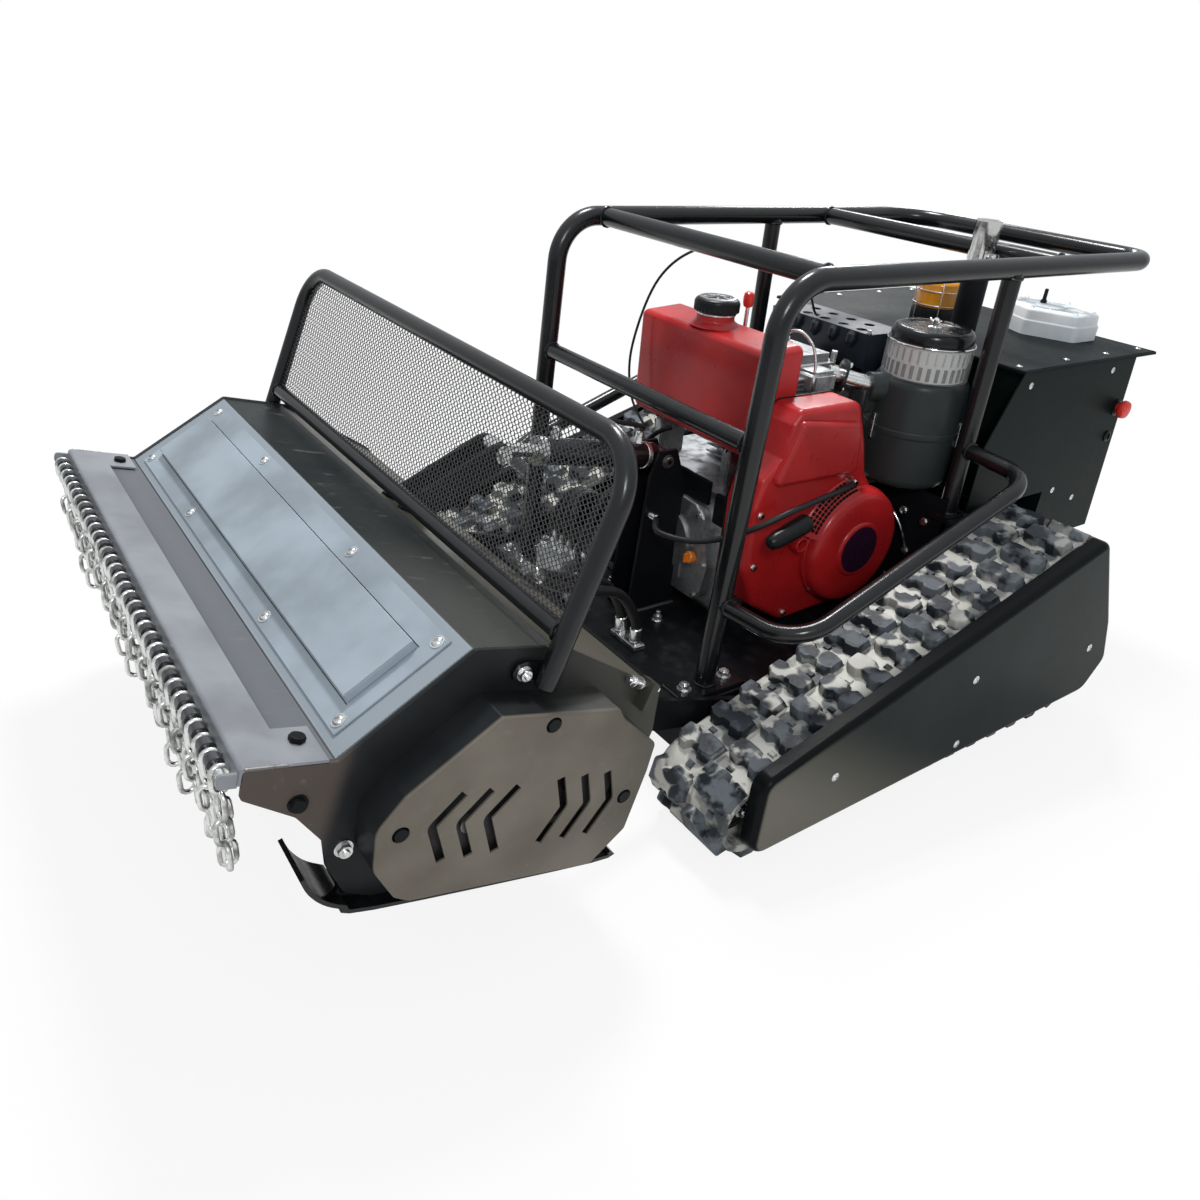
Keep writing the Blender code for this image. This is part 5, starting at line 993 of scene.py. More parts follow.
def engine_bay_wall():
    """The dark wall across the tub behind the engine, with its bolts and a cable."""
    b = bmesh.new()
    block(b, (-0.33, 0.47, TUB_TOP + 0.001), (0.33, 0.474, 0.442), 0.001)
    block(b, (0.205, 0.42, TUB_TOP + 0.001), (0.209, 0.4705, 0.33), 0.001)
    for x in (-0.3, 0.24, 0.3):
        for z in (0.23, 0.37):
            weld(b, [(x, 0.469, z - 0.01), (x, 0.469, z + 0.01)], 0.002)
    piece(b, "engine_bay_wall", "frame_coat")
    b = bmesh.new()
    for x, z in ((0.235, 0.385), (0.29, 0.38), (0.262, 0.3), (0.3, 0.25), (0.225, 0.225)):
        hex_bolt(b, (x, 0.4698, z), (0, -1, 0), 0.012, 0.006)
    tube(b, smooth_route([(0.15, 0.455, 0.375), (0.2, 0.45, 0.39), (0.24, 0.455, 0.36),
                          (0.262, 0.466, 0.31)]), 0.003, 10)
    piece(b, "engine_bay_bolts", "zinc")


def tracks():
    """Both tracks with their wheels, covers and axle nuts."""
    for side, label in SIDES:
        track(side, label)
        track_wheel(side, label, "front_idler", f"idler_{label}", IDLER, 5)
        track_wheel(side, label, "rear_roller", f"roller_{label}", ROLLER, 5)
        sprocket_wheel(side, label)
        track_cover(side, label)
        b = bmesh.new()
        for y, z, _ in (IDLER, ROLLER):
            for x in (WHEEL_X - 0.0605, WHEEL_X + 0.0605):
                hex_nut(b, (side * x, y, z), (side if x > WHEEL_X else -side, 0, 0), 0.019, 0.008, 0.003)
        piece(b, f"axle_nuts_{label}", "zinc")
    dress("frame_coat", "track_frame_left", "track_frame_right", "chassis_tub")
    dress("cast_iron", "drive_motor_left", "drive_motor_right")


# Cage

def leg_y(z):
    """Where the hoop's leaning front leg is at a height."""
    return FOOT_Y + (CAGE_FRONT - FOOT_Y) * (z - FOOT_INTO) / (CAGE_TOP - FOOT_INTO)


def cage():
    """The roll cage: hoop on foot plates, cross bars, rear posts and side loops."""
    left = CAGE_HALF_WIDTH
    b = bmesh.new()
    tube(b, rounded([(left, FOOT_Y, FOOT_INTO), (left, CAGE_FRONT, CAGE_TOP), (left, CAGE_REAR, CAGE_TOP),
                     (-left, CAGE_REAR, CAGE_TOP), (-left, CAGE_FRONT, CAGE_TOP),
                     (-left, FOOT_Y, FOOT_INTO)],
                    (0.09, 0.06, 0.12, 0.09), 14), CAGE_TUBE, 32)
    for side in (1, -1):
        x = side * left
        block(b, (x - 0.034, FOOT_Y - 0.072, TUB_TOP + 0.0003), (x + 0.034, FOOT_Y + 0.072, FOOT_TOP), 0.0015)
        ring_weld(b, (x, FOOT_Y, FOOT_TOP + 0.001), (0, 0, 1), CAGE_TUBE, 0.0032)
    piece(b, "cage_hoop", "black_coat", replaces=["cage_main_tube"])
    b = bmesh.new()
    for side in (1, -1):
        for end in (1, -1):
            hex_nut(b, (side * left, FOOT_Y + end * 0.048, FOOT_TOP - 0.0002), (0, 0, 1), 0.019, 0.009, 0.004)
    piece(b, "cage_foot_bolts", "zinc")
    for name, y, z, radius in (("cage_front_bar", FRONT_BAR_Y, CAGE_TOP, CAGE_BAR),
                               ("cage_middle_bar", MIDDLE_BAR_Y, CAGE_TOP, CAGE_BAR),
                               ("cage_low_bar", leg_y(LOW_BAR_Z), LOW_BAR_Z, CAGE_BAR - 0.002)):
        b = bmesh.new()
        reach = left - 0.008
        tube(b, [(-reach, y, z), (0, y, z), (reach, y, z)], radius, 32)
        for side in (1, -1):
            ring_weld(b, (side * (left - CAGE_TUBE + 0.002), y, z), (1, 0, 0), radius + 0.0005)
        piece(b, f"{name}_tube", "black_coat", replaces=[name])
    for side, label in SIDES:
        x = side * left
        b = bmesh.new()
        tube(b, [(x, POST_Y, POST_FOOT_Z + 0.002), (x, POST_Y, CAGE_TOP - 0.006)], CAGE_BAR, 32)
        block(b, (x - 0.024, POST_Y - 0.03, POST_FOOT_Z), (x + 0.024, POST_Y + 0.022, POST_FOOT_Z + 0.006),
              0.0012)
        path = [(x, leg_y(0.343), 0.343), (side * LOOP_X, -0.1, 0.343), (side * LOOP_X, 0.469, 0.548),
                (x, POST_Y, 0.548)]
        path = rounded(path, (0.085, 0.07), 14)
        tube(b, path, LOOP_TUBE, 28)
        ring_weld(b, (x, POST_Y, CAGE_TOP - CAGE_TUBE + 0.002), (0, 0, 1), CAGE_BAR)
        for here, there, gap in ((path[0], path[1], CAGE_TUBE), (path[-1], path[-2], CAGE_BAR)):
            along = (there - here).normalized()
            ring_weld(b, here + along * (gap - 0.001), along, LOOP_TUBE)
        ring_weld(b, (x, POST_Y, POST_FOOT_Z + 0.007), (0, 0, 1), CAGE_BAR - 0.001)
        piece(b, f"cage_post_and_loop_{label}", "black_coat", replaces=[f"cage_side_{label}"])


# Flail deck

def on_slope(distance, height):
    """A point of the deck's front slope: distance up it from its foot, height off it."""
    foot, top = Vector(DECK_PROFILE[1]), Vector(DECK_PROFILE[2])
    along = (top - foot).normalized()
    return tuple(foot + along * distance + Vector((-along.y, along.x)) * height)


SLOPE_OUT = Vector((0, *on_slope(0, 1))) - Vector((0, *on_slope(0, 0)))


def deck_body():
    """The bent deck shell, its push arms and the lift bracket's pin."""
    b = bmesh.new()
    middle = offset(rounded(DECK_PROFILE, 0.009, 5), -DECK_SHEET / 2, closed=False)
    plate(b, bent_sheet(middle, DECK_SHEET), -DECK_HALF, DECK_HALF, edge=0.0006)
    for side in (1, -1):
        inner = side * (DECK_HALF - 0.001)
        weld(b, [(inner, u, w - 0.001) for u, w in DECK_PROFILE[:5]], 0.0028)
    piece(b, "deck_top", "deck_coat", "deck", DECK, ["deck_shell"])
    b = bmesh.new()
    for side in (1, -1):
        low, high = side * 0.3662, side * 0.3782
        arm = ((-0.3855, 0.06), (-0.2, 0.03), (-0.01, 0.022), (0.016, 0.016), (0.022, 0.0), (0.016, -0.016),
               (-0.01, -0.022), (-0.2, -0.03), (-0.389, 0.01))
        plate(b, rounded(arm, 0.01, 4, True), low, high, edge=0.0012)
        tube(b, [(side * 0.3362, 0, 0), (side * 0.3722, 0, 0)], 0.012, 28)
        weld(b, [(low, -0.3835, 0.056), (low, -0.3865, 0.012)], 0.004)
        hex_nut(b, (high, 0, 0), (side, 0, 0), 0.024, 0.008, 0.002)
    slope = (DECK_PROFILE[4][1] - DECK_PROFILE[3][1]) / (DECK_PROFILE[4][0] - DECK_PROFILE[3][0])

    def crest(u, lift=-0.0025):
        return u, DECK_PROFILE[3][1] + slope * (u - DECK_PROFILE[3][0]) + lift

    pin_u, pin_w = LIFT_PIN
    cheek = (crest(-0.59), crest(-0.535), (pin_u + 0.015, pin_w - 0.016), (pin_u + 0.018, pin_w + 0.008),
             (pin_u, pin_w + 0.02), (pin_u - 0.02, pin_w + 0.014))
    for side in (1, -1):
        plate(b, rounded(cheek, (0.004, 0.004, 0.014, 0.012, 0.014, 0.02), 4, True), side * 0.022,
              side * 0.032, edge=0.0012)
        weld(b, [(side * 0.033, *crest(-0.588, 0.001)), (side * 0.033, *crest(-0.537, 0.001))], 0.004)
    piece(b, "deck_push_arms", "frame_coat", "deck", DECK)
    b = bmesh.new()
    tube(b, [(-0.044, *LIFT_PIN), (0.044, *LIFT_PIN)], 0.01, 28)
    for side in (1, -1):
        collar(b, 0.0101, 0.0165, (0, 0.0025), (side * 0.0322, *LIFT_PIN), (side, 0, 0), 28)
        tube(b, [(side * 0.0385, pin_u, pin_w - 0.016), (side * 0.0385, pin_u, pin_w + 0.016)], 0.0018, 10)
    piece(b, "lift_pin", "zinc", "deck", DECK)


def deck_sides():
    """Side plates with bearings, bolts and skid shoes."""
    for side, label in SIDES:
        b = bmesh.new()
        radii = (0.003, 0.006, 0.01, 0.012, 0.02, 0.02, 0.02, 0.012, 0.01, 0.02, 0.02, 0.014, 0.02, 0.006)
        holes = [circle(ROTOR, 0.0215, 28)]
        if side > 0:
            holes.append(circle(MOTOR, 0.0185, 24))
        plate(b, rounded(SIDE_OUTLINE, radii, 4, True), side * SIDE_IN, side * SIDE_OUT, holes=holes,
              edge=0.0006)
        end = side * SIDE_OUT
        turned(b, [(0.019, 0), (0.046, 0), (0.046, 0.005), (0.036, 0.006), (0.034, 0.013), (0.031, 0.014),
                   (0.019, 0.014)], (end, *ROTOR), (side, 0, 0), 40)
        for place in circle(ROTOR, 0.041, 4, math.pi / 4):
            hex_bolt(b, (end + side * 0.005, *place), (side, 0, 0), 0.01, 0.005, False)
        piece(b, f"side_plate_{label}", "side_coat", "deck", DECK, [f"deck_side_{label}"])
        b = bmesh.new()
        hex_bolt(b, (end, -0.898, 0.032), (side, 0, 0), 0.017, 0.006)
        piece(b, f"side_bolt_{label}", "frame_coat", "deck", DECK)
        b = bmesh.new()
        hex_nut(b, (end, -0.828, -0.044), (side, 0, 0), 0.017, 0.008, 0.003)
        if side > 0:
            hex_nut(b, (end, -0.452, -0.085), (side, 0, 0), 0.015, 0.007, 0.002)
        piece(b, f"skid_nut_{label}", "zinc", "deck", DECK)
        b = bmesh.new()
        low = -0.129 - 0.0003 - 0.003
        nose = [(-0.882, -0.066), (-0.868, -0.088), (-0.846, -0.108), (-0.818, -0.121), (-0.776, low),
                (-0.424, low), (-0.395, low + 0.011)]
        outline = bent_sheet(smooth_route([(*point, 0) for point in nose], 4), 0.006)
        plate(b, outline, side * 0.466, side * 0.546, edge=0.0012)
        for u in (-0.8, -0.47):
            floor = low if u > -0.776 else low + 0.01
            block(b, (side * 0.5115, u - 0.02, floor), (side * 0.5197, u + 0.02, -0.064), 0.001)
        piece(b, f"skid_shoe_{label}", "black_coat", "deck", DECK, [f"skid_{label}"])


def chain_carrier():
    """The bolted strip that carries the chain rod."""
    b = bmesh.new()
    half = SIDE_OUT
    low = 0.0833
    high = low + 0.0035
    bend = rounded([(-0.9692, high - 0.022, 0), (-0.9692, low + 0.0017, 0), (-0.915, low + 0.0017, 0)],
                   0.004, 5)
    plate(b, bent_sheet(bend, 0.0035), -half, half, edge=0.0005)
    rod_u, rod_w = CHAIN_ROD
    for side in (1, -1):
        block(b, (side * (half - 0.075), -0.917, low), (side * (half - 0.0005), -0.87, high), 0.0006)
        plate(b, oblong((rod_u - 0.009, rod_w - 0.009), (rod_u + 0.014, rod_w + 0.009),
                        (0.006, 0.0, 0.0, 0.006), 4), side * (half - 0.008), side * (half - 0.002),
              edge=0.0006)
    piece(b, "chain_strip", "shelf_coat", "deck", DECK, ["chain_carrier"])
    b = bmesh.new()
    for side in (1, -1):
        hex_bolt(b, (side * (half - 0.046), -0.893, high), (0, 0, 1), 0.018, 0.007, False)
    piece(b, "strip_bolts", "frame_coat", "deck", DECK)
    b = bmesh.new()
    tube(b, [(-half + 0.0025, rod_u, rod_w), (half - 0.0025, rod_u, rod_w)], 0.005, 20)
    piece(b, "chain_rod", "zinc", "deck", DECK)
    b = bmesh.new()
    for end in (half - 0.001, -half + 0.001):
        weld(b, [(end, -0.966, low + 0.002), (end, -0.917, low + 0.002)], 0.0024)
    piece(b, "strip_welds", "steel", "deck", DECK)


def link(b, centre, turn, swing):
    """One welded chain link: a stadium of round wire, turned about the vertical and then swung."""
    straight = LINK_LENGTH / 2 - LINK_WIDTH / 2
    bend = LINK_WIDTH / 2 - LINK_WIRE
    points = []
    for end in (1, -1):
        for k in range(7):
            a = math.pi * k / 6 + (0 if end > 0 else math.pi)
            points.append(Vector((bend * math.cos(a), 0, end * straight + bend * math.sin(a))))
    place = Matrix.Translation(centre) @ swing @ Matrix.Rotation(turn, 4, "Z")
    tube(b, [place @ point for point in points], LINK_WIRE, 9, True)


def chain_curtain():
    """Chains side by side on the rod, with hex nuts between their first links."""
    half = SIDE_OUT - 0.012
    chains = bmesh.new()
    nuts = bmesh.new()
    for k in range(STRANDS):
        x = -half + (k + 0.5) * 2 * half / STRANDS
        count = (4, 5, 4, 4, 5)[k % 5]
        depth = (-0.004, 0.004)[k % 2]
        lean = chance.uniform(-0.08, 0.08)
        z = 0.0052 + LINK_WIRE - LINK_LENGTH / 2
        for step in range(count):
            swing = Matrix.Rotation(lean * 0.6, 4, "Y") @ Matrix.Rotation(chance.uniform(-0.07, 0.07), 4, "X")
            turn = math.radians(90 if step % 2 == 0 else 10) + chance.uniform(-0.3, 0.3)
            if step == 0:
                turn = math.radians(90) + chance.uniform(-0.1, 0.1)
            link(chains, (x + lean * 0.02 * step, depth * min(step, 2) / 2,
                          max(z, CHAIN_LOWEST + LINK_LENGTH / 2 - 0.004)), turn, swing)
            z -= LINK_LENGTH - 2 * LINK_WIRE
        if k < STRANDS - 1:
            turned(nuts, [(0.0054, -0.0068), (0.0098, -0.0068), (0.011, -0.0052), (0.011, 0.0052),
                          (0.0098, 0.0068), (0.0054, 0.0068)], (x + half / STRANDS, 0, 0), (1, 0, 0), 24,
                   hexed=(2, 3), start=chance.uniform(0, 1))
    piece(chains, "curtain_chains", "chain", "curtain", CURTAIN, ["chain_curtain"], 60)
    piece(nuts, "curtain_nuts", "dark_steel", "curtain", CURTAIN)


def inspection_cover():
    """The screwed hatch on the front slope."""
    b = bmesh.new()
    raised = ((0.052, 0.0027), (0.0535, 0.0145), (0.0555, 0.016), (0.157, 0.016), (0.159, 0.0145),
              (0.1595, 0.0027))
    flange = [on_slope(0.014, 0.0003), on_slope(0.19, 0.0003), on_slope(0.19, 0.003), on_slope(0.014, 0.003)]
    plate(b, flange, -0.485, 0.485, edge=0.0006)
    plate(b, [on_slope(s - 0.004, h) for s, h in raised], -0.455, 0.455, edge=0.0014)
    piece(b, "inspection_hatch", "slate_coat", "deck", DECK, ["inspection_cover"])
    b = bmesh.new()
    for x in (-0.47, -0.195, 0.195, 0.47):
        for distance in (0.028, 0.177):
            button_screw(b, (x, *on_slope(distance, 0.0029)), SLOPE_OUT, 0.0078)
    piece(b, "hatch_screws", "zinc", "deck", DECK)
    # Painted shade: thin dark lines along the raised plate's edges stand for the shadow gap there.
    b = bmesh.new()
    for distance in (0.0465, 0.1565):
        tube(b, [(-0.456, *on_slope(distance, 0.0032)), (0.456, *on_slope(distance, 0.0032))], 0.0006, 6)
    piece(b, "hatch_shadow_lines", "painted_shade_fill", "deck", DECK)


def belt_cover():
    """The pressed cover with its chevron slots, and the belt's tensioner."""
    b = bmesh.new()
    corners = (0.03, 0.012, 0.006, 0.008, 0.008, 0.01, 0.01, 0.012, 0.012, 0.02, 0.02, 0.03)
    outline = rounded(BELT_COVER_OUTLINE, corners, 5, True)
    slots = []
    for chevron in (((-0.717, 0.06), (-0.751, 0.015), (-0.725, -0.039)),
                    ((-0.573, 0.063), (-0.553, 0.016), (-0.578, -0.038))):
        for k in range(3):
            moved = [(u + k * 0.0393, w, 0) for u, w in chevron]
            path = rounded(moved, 0.008, 4)
            left = offset(path, SLOT_WIDTH / 2, closed=False)
            right = offset(path, -SLOT_WIDTH / 2, closed=False)
            slots.append(rounded(left + right[::-1], 0.0, 1, True))
    bolts = [circle(place, 0.0115, 24) for place in COVER_BOLTS]
    dished(b, outline, ON_SIDE, BELT_COVER_X, 0.0045, 4, slots + bolts)
    piece(b, "belt_guard", "side_coat", "deck", DECK, ["belt_cover"], angle=50)
    b = bmesh.new()
    for place in COVER_BOLTS:
        hex_bolt(b, (BELT_COVER_X - 0.008, *place), (1, 0, 0), 0.017, 0.008)
        collar(b, 0.006, 0.009, (0, 0.047), (ON_SIDE, *place), (1, 0, 0), 24)
    piece(b, "belt_guard_bolts", "frame_coat", "deck", DECK)
    b = bmesh.new()
    tube(b, [(0.534, -0.462, 0.176), (0.534, -0.398, 0.156)], 0.004, 16)
    hex_nut(b, (0.534, -0.44, 0.1691), Vector((0, 0.954, -0.298)), 0.013, 0.007, 0.0)
    hex_nut(b, (0.534, -0.452, 0.1729), Vector((0, -0.954, 0.298)), 0.013, 0.006, 0.0)
    piece(b, "belt_tensioner", "zinc", "deck", DECK)
    b = bmesh.new()
    plate(b, [(-0.43, 0.13), (-0.418, 0.128), (-0.41, 0.17), (-0.424, 0.175)], 0.5215, 0.548, edge=0.0008)
    piece(b, "tensioner_lug", "side_coat", "deck", DECK)
    dress("cast_iron", "rotor_pulley", "motor_pulley", "deck_motor")
    dress("steel", "flail_rotor")
    dress("hose_rubber", "drive_belt")


def guard():
    """The bent guard tube with its rail and tabs."""
    x = GUARD_X
    b = bmesh.new()
    tube(b, rounded([(x, *GUARD_FOOT), (x, *GUARD_TOP), (-x, *GUARD_TOP), (-x, *GUARD_FOOT)],
                    (GUARD_BEND, GUARD_BEND), 12), GUARD_TUBE, 28)
    rail_u = GUARD_FOOT[0] + GUARD_LEAN * (GUARD_RAIL_W - GUARD_FOOT[1])
    tube(b, [(-x + 0.006, rail_u, GUARD_RAIL_W), (x - 0.006, rail_u, GUARD_RAIL_W)], GUARD_TUBE - 0.0015, 28)
    for side in (1, -1):
        ring_weld(b, (side * (x - GUARD_TUBE + 0.001), rail_u, GUARD_RAIL_W), (1, 0, 0),
                  GUARD_TUBE - 0.001, 0.0026)
        low = side * ON_SIDE
        tab = [(-0.656, 0.193), (-0.652, 0.205), (-0.64, 0.209), (-0.602, 0.207), (-0.602, 0.18),
               (-0.64, 0.178), (-0.652, 0.182)]
        plate(b, rounded(tab, 0.004, 3, True), low, low + side * 0.006,
              holes=[circle((-0.64, 0.193), 0.0055, 20)])
    piece(b, "guard_tube", "black_coat", "deck", DECK, ["guard_frame"])
    b = bmesh.new()
    for side in (1, -1):
        hex_nut(b, (side * (SIDE_OUT + 0.0063), -0.64, 0.193), (side, 0, 0), 0.015, 0.007, 0.003)
    piece(b, "guard_bolts", "zinc", "deck", DECK)
    guard_mesh()


def guard_mesh():
    """Expanded metal: crossing strands with diamond holes, set in the guard's frame."""
    slant = math.atan(GUARD_LEAN)
    low = (GUARD_RAIL_W + 0.004) / math.cos(slant)
    high = (GUARD_TOP[1] - 0.004) / math.cos(slant)
    reach = GUARD_X - 0.004
    corner = GUARD_BEND - 0.006
    wide, tall = 0.011, 0.0082

    def inside(x, s):
        if abs(x) > reach or not low <= s <= high:
            return False
        dx, ds = abs(x) - (reach - corner), s - (high - corner)
        return dx <= 0 or ds <= 0 or dx * dx + ds * ds <= corner * corner

    b = bmesh.new()
    steps = int((high - low) / (tall / 2)) + 1
    rows = int(2 * reach / wide) + steps + 2
    for way in (1, -1):
        for k in range(-steps, rows):
            points = []
            for j in range(steps + 1):
                x = -reach + k * wide + way * j * wide / 2
                s = low + j * tall / 2
                if way < 0:
                    x = -reach + (k + steps / 2) * wide - j * wide / 2
                if inside(x, s):
                    points.append((x, s, j))
            if len(points) < 2:
                continue
            strip = []
            for x, s, j in points:
                depth = 0.0007 * (1 if j % 2 else -1) * way
                u = GUARD_FOOT[0] - GUARD_LEAN * GUARD_FOOT[1] + s * math.sin(slant)
                w = s * math.cos(slant)
                strip.append([b.verts.new((x + dx, u + depth + du, w))
                              for dx, du in ((-0.00065, -0.0006), (0.00065, -0.0006), (0.00065, 0.0006),
                                             (-0.00065, 0.0006))])
            skin(b, strip, first=True, last=True)
    piece(b, "guard_expanded_mesh", "steel_mesh", "deck", DECK, ["guard_mesh"])


def deck():
    """All that rides on the lifted flail deck."""
    deck_body()
    deck_sides()
    chain_carrier()
    chain_curtain()
    inspection_cover()
    belt_cover()
    guard()


# Engine

def cooling_fins(b, low, high, base, top, count):
    """Flat fins one over another."""
    for k in range(count):
        z = base + (k + 0.5) * (top - base) / count
        plate(b, oblong(low, high, 0.006, 3), z - 0.0018, z + 0.0018, "Z", edge=0.0006)


def crankcase():
    """Crankcase and barrel with feet, fins, side cover and small parts."""
    b = bmesh.new()
    block(b, (-0.17, 0.03, TUB_TOP + 0.02), (0.158, 0.385, 0.44), 0.016, segments=4)
    for y in (0.08, 0.335):
        block(b, (-0.2, y - 0.02, TUB_TOP + 0.0003), (0.138, y + 0.02, TUB_TOP + 0.032), 0.003)
    block(b, (-0.085, 0.192, 0.43), (0.085, 0.368, 0.6), 0.01, segments=3)
    cooling_fins(b, (-0.1, 0.18), (0.1, 0.38), 0.44, 0.6, 10)
    cover = rounded([(-0.12, 0.215), (0.12, 0.215), (0.135, 0.3), (0.1, 0.415), (-0.06, 0.42),
                     (-0.13, 0.34)], 0.03, 6, True)
    plate(b, cover, 0.0105, 0.034, "Y", edge=0.005, segments=3)
    plate(b, circle((0.01, 0.32), 0.062, 40), 0.0055, 0.012, "Y", edge=0.003)
    for x, z in circle((0.01, 0.32), 0.075, 5, 0.3):
        block(b, (x - 0.004, 0.0075, z - 0.016), (x + 0.004, 0.013, z + 0.016), 0.001)
    for x in (-0.146, 0.072):
        block(b, (x - 0.012, 0.077, 0.43), (x + 0.012, 0.145, 0.5247), 0.003)
    block(b, (0.098, 0.355, 0.42), (0.157, 0.52, 0.4297), 0.002)
    piece(b, "engine_crankcase", "cast_aluminium", replaces=["engine_block"])
    b = bmesh.new()
    for point in ((-0.108, 0.226), (0.108, 0.226), (0.122, 0.3), (0.092, 0.398), (0.015, 0.404),
                  (-0.055, 0.404), (-0.115, 0.34), (0.0, 0.226)):
        hex_bolt(b, (point[0], 0.0105, point[1]), (0, -1, 0), 0.009, 0.005, False)
    for y in (0.08, 0.335):
        for x in (-0.186, 0.12):
            hex_nut(b, (x, y, TUB_TOP + 0.032), (0, 0, 1), 0.014, 0.008, 0.004)
    for x in (0.085, -0.085):
        hex_nut(b, (x, -0.058, TUB_TOP + 0.0004), (0, 0, 1), 0.018, 0.01, 0.01)
    turned(b, [(0.01, 0), (0.013, 0.002), (0.013, 0.012), (0.008, 0.015), (0.008, 0.035), (0, 0.035)],
           (-0.07, 0.006, 0.285), (0, -1, 0.3), 28)
    piece(b, "crankcase_bolts", "zinc")
    b = bmesh.new()
    turned(b, [(0.009, 0), (0.0125, 0.002), (0.0125, 0.013), (0.01, 0.016), (0, 0.016)],
           (0.089, 0.012, 0.304), (0, -1, 0.2), 28)
    block(b, (0.0865, -0.012, 0.297), (0.0915, 0.0, 0.316), 0.001)
    piece(b, "oil_filler_plug", "orange_plastic")
    b = bmesh.new()
    block(b, (0.118, 0.02, 0.392), (0.152, 0.032, 0.455), 0.003)
    block(b, (-0.02, 0.022, 0.42), (0.1, 0.03, 0.47), 0.002)
    block(b, (-0.16, 0.0, 0.3), (-0.105, 0.028, 0.4), 0.004)
    tube(b, smooth_route([(-0.13, 0.01, 0.4), (-0.128, 0.004, 0.44), (-0.1, 0.03, 0.5),
                          (-0.08, 0.06, 0.52)]), 0.005, 14)
    piece(b, "governor_brackets", "frame_coat")


def cylinder_head():
    """Head and rocker cover, with the intake pipe to the air cleaner."""
    b = bmesh.new()
    low, high = (-0.105, 0.18), (0.105, 0.38)
    block(b, (*low, 0.6003), (*high, 0.628), 0.004)
    cooling_fins(b, low, high, 0.622, 0.66, 4)
    block(b, (-0.095, 0.19, 0.62), (0.095, 0.368, 0.655), 0.006)
    block(b, (-0.08, 0.2, 0.65), (0.08, 0.35, HEAD_TOP), 0.016, segments=4)
    plate(b, oblong((-0.086, 0.194), (0.086, 0.356), 0.014, 5), 0.655, 0.661, "Z", edge=0.001)
    for side in (1, -1):
        near = -0.06 + side * 0.0063
        plate(b, oblong((0.198, HEAD_TOP - 0.003), (0.212, HEAD_TOP + 0.014), (0, 0, 0.006, 0.006), 4),
              near, near + side * 0.005)
    block(b, (0.06, 0.23, 0.63), (0.128, 0.3, 0.672), 0.008, segments=3)
    turned(b, [(0.016, 0), (0.016, 0.028), (0.012, 0.032), (0, 0.032)], (0.04, 0.225, HEAD_TOP - 0.004),
           (0, 0, 1), 28)
    piece(b, "engine_head", "cast_aluminium", replaces=["cylinder_head"])
    b = bmesh.new()
    for x, y in ((-0.07, 0.208), (0.07, 0.208), (0.07, 0.342), (-0.07, 0.342)):
        hex_bolt(b, (x, y, 0.661), (0, 0, 1), 0.012, 0.034, False)
    hex_bolt(b, (0.0, 0.275, HEAD_TOP - 0.001), (0, 0, 1), 0.017, 0.008)
    tube(b, smooth_route([(0.04, 0.225, 0.715), (0.052, 0.222, 0.738), (0.08, 0.226, 0.742),
                          (0.105, 0.236, 0.72), (0.112, 0.245, 0.68), (0.112, 0.24, 0.64)]), 0.003, 12)
    tube(b, smooth_route([(-0.02, 0.215, 0.69), (-0.022, 0.2, 0.712), (0.004, 0.19, 0.722),
                          (0.03, 0.2, 0.712), (0.04, 0.215, 0.7)]), 0.0026, 12)
    turned(b, [(0.007, 0), (0.007, 0.014), (0.004, 0.016), (0.004, 0.03), (0, 0.031)], (0.04, 0.225, 0.713),
           (0.3, -0.2, 1), 20)
    piece(b, "head_bolts_and_lines", "zinc")
    b = bmesh.new()
    start, end = Vector((0.098, 0.3, 0.662)), Vector((0.15, 0.38, 0.645))
    along = (end - start).normalized()
    lean = along.to_track_quat("Z", "Y").to_matrix().to_4x4()
    flange = Matrix.Translation(start + along * 0.03) @ lean
    rim = []
    for height in (-0.003, 0.003):
        rim.append([b.verts.new(flange @ Vector((0.024 * math.cos(a) + 0.012 * (math.cos(a) > 0) - 0.006,
                                                 0.034 * math.sin(a), height)))
                    for a in (math.tau * k / 40 for k in range(40))])
    skin(b, rim, first=True, last=True)
    piece(b, "intake_flange", "black_coat")
    b = bmesh.new()
    tube(b, [start, end], 0.015, 28)
    for side in (1, -1):
        hex_bolt(b, flange @ Vector((0, side * 0.025, 0.003)), along, 0.01, 0.008)
    piece(b, "intake_pipe", "zinc")


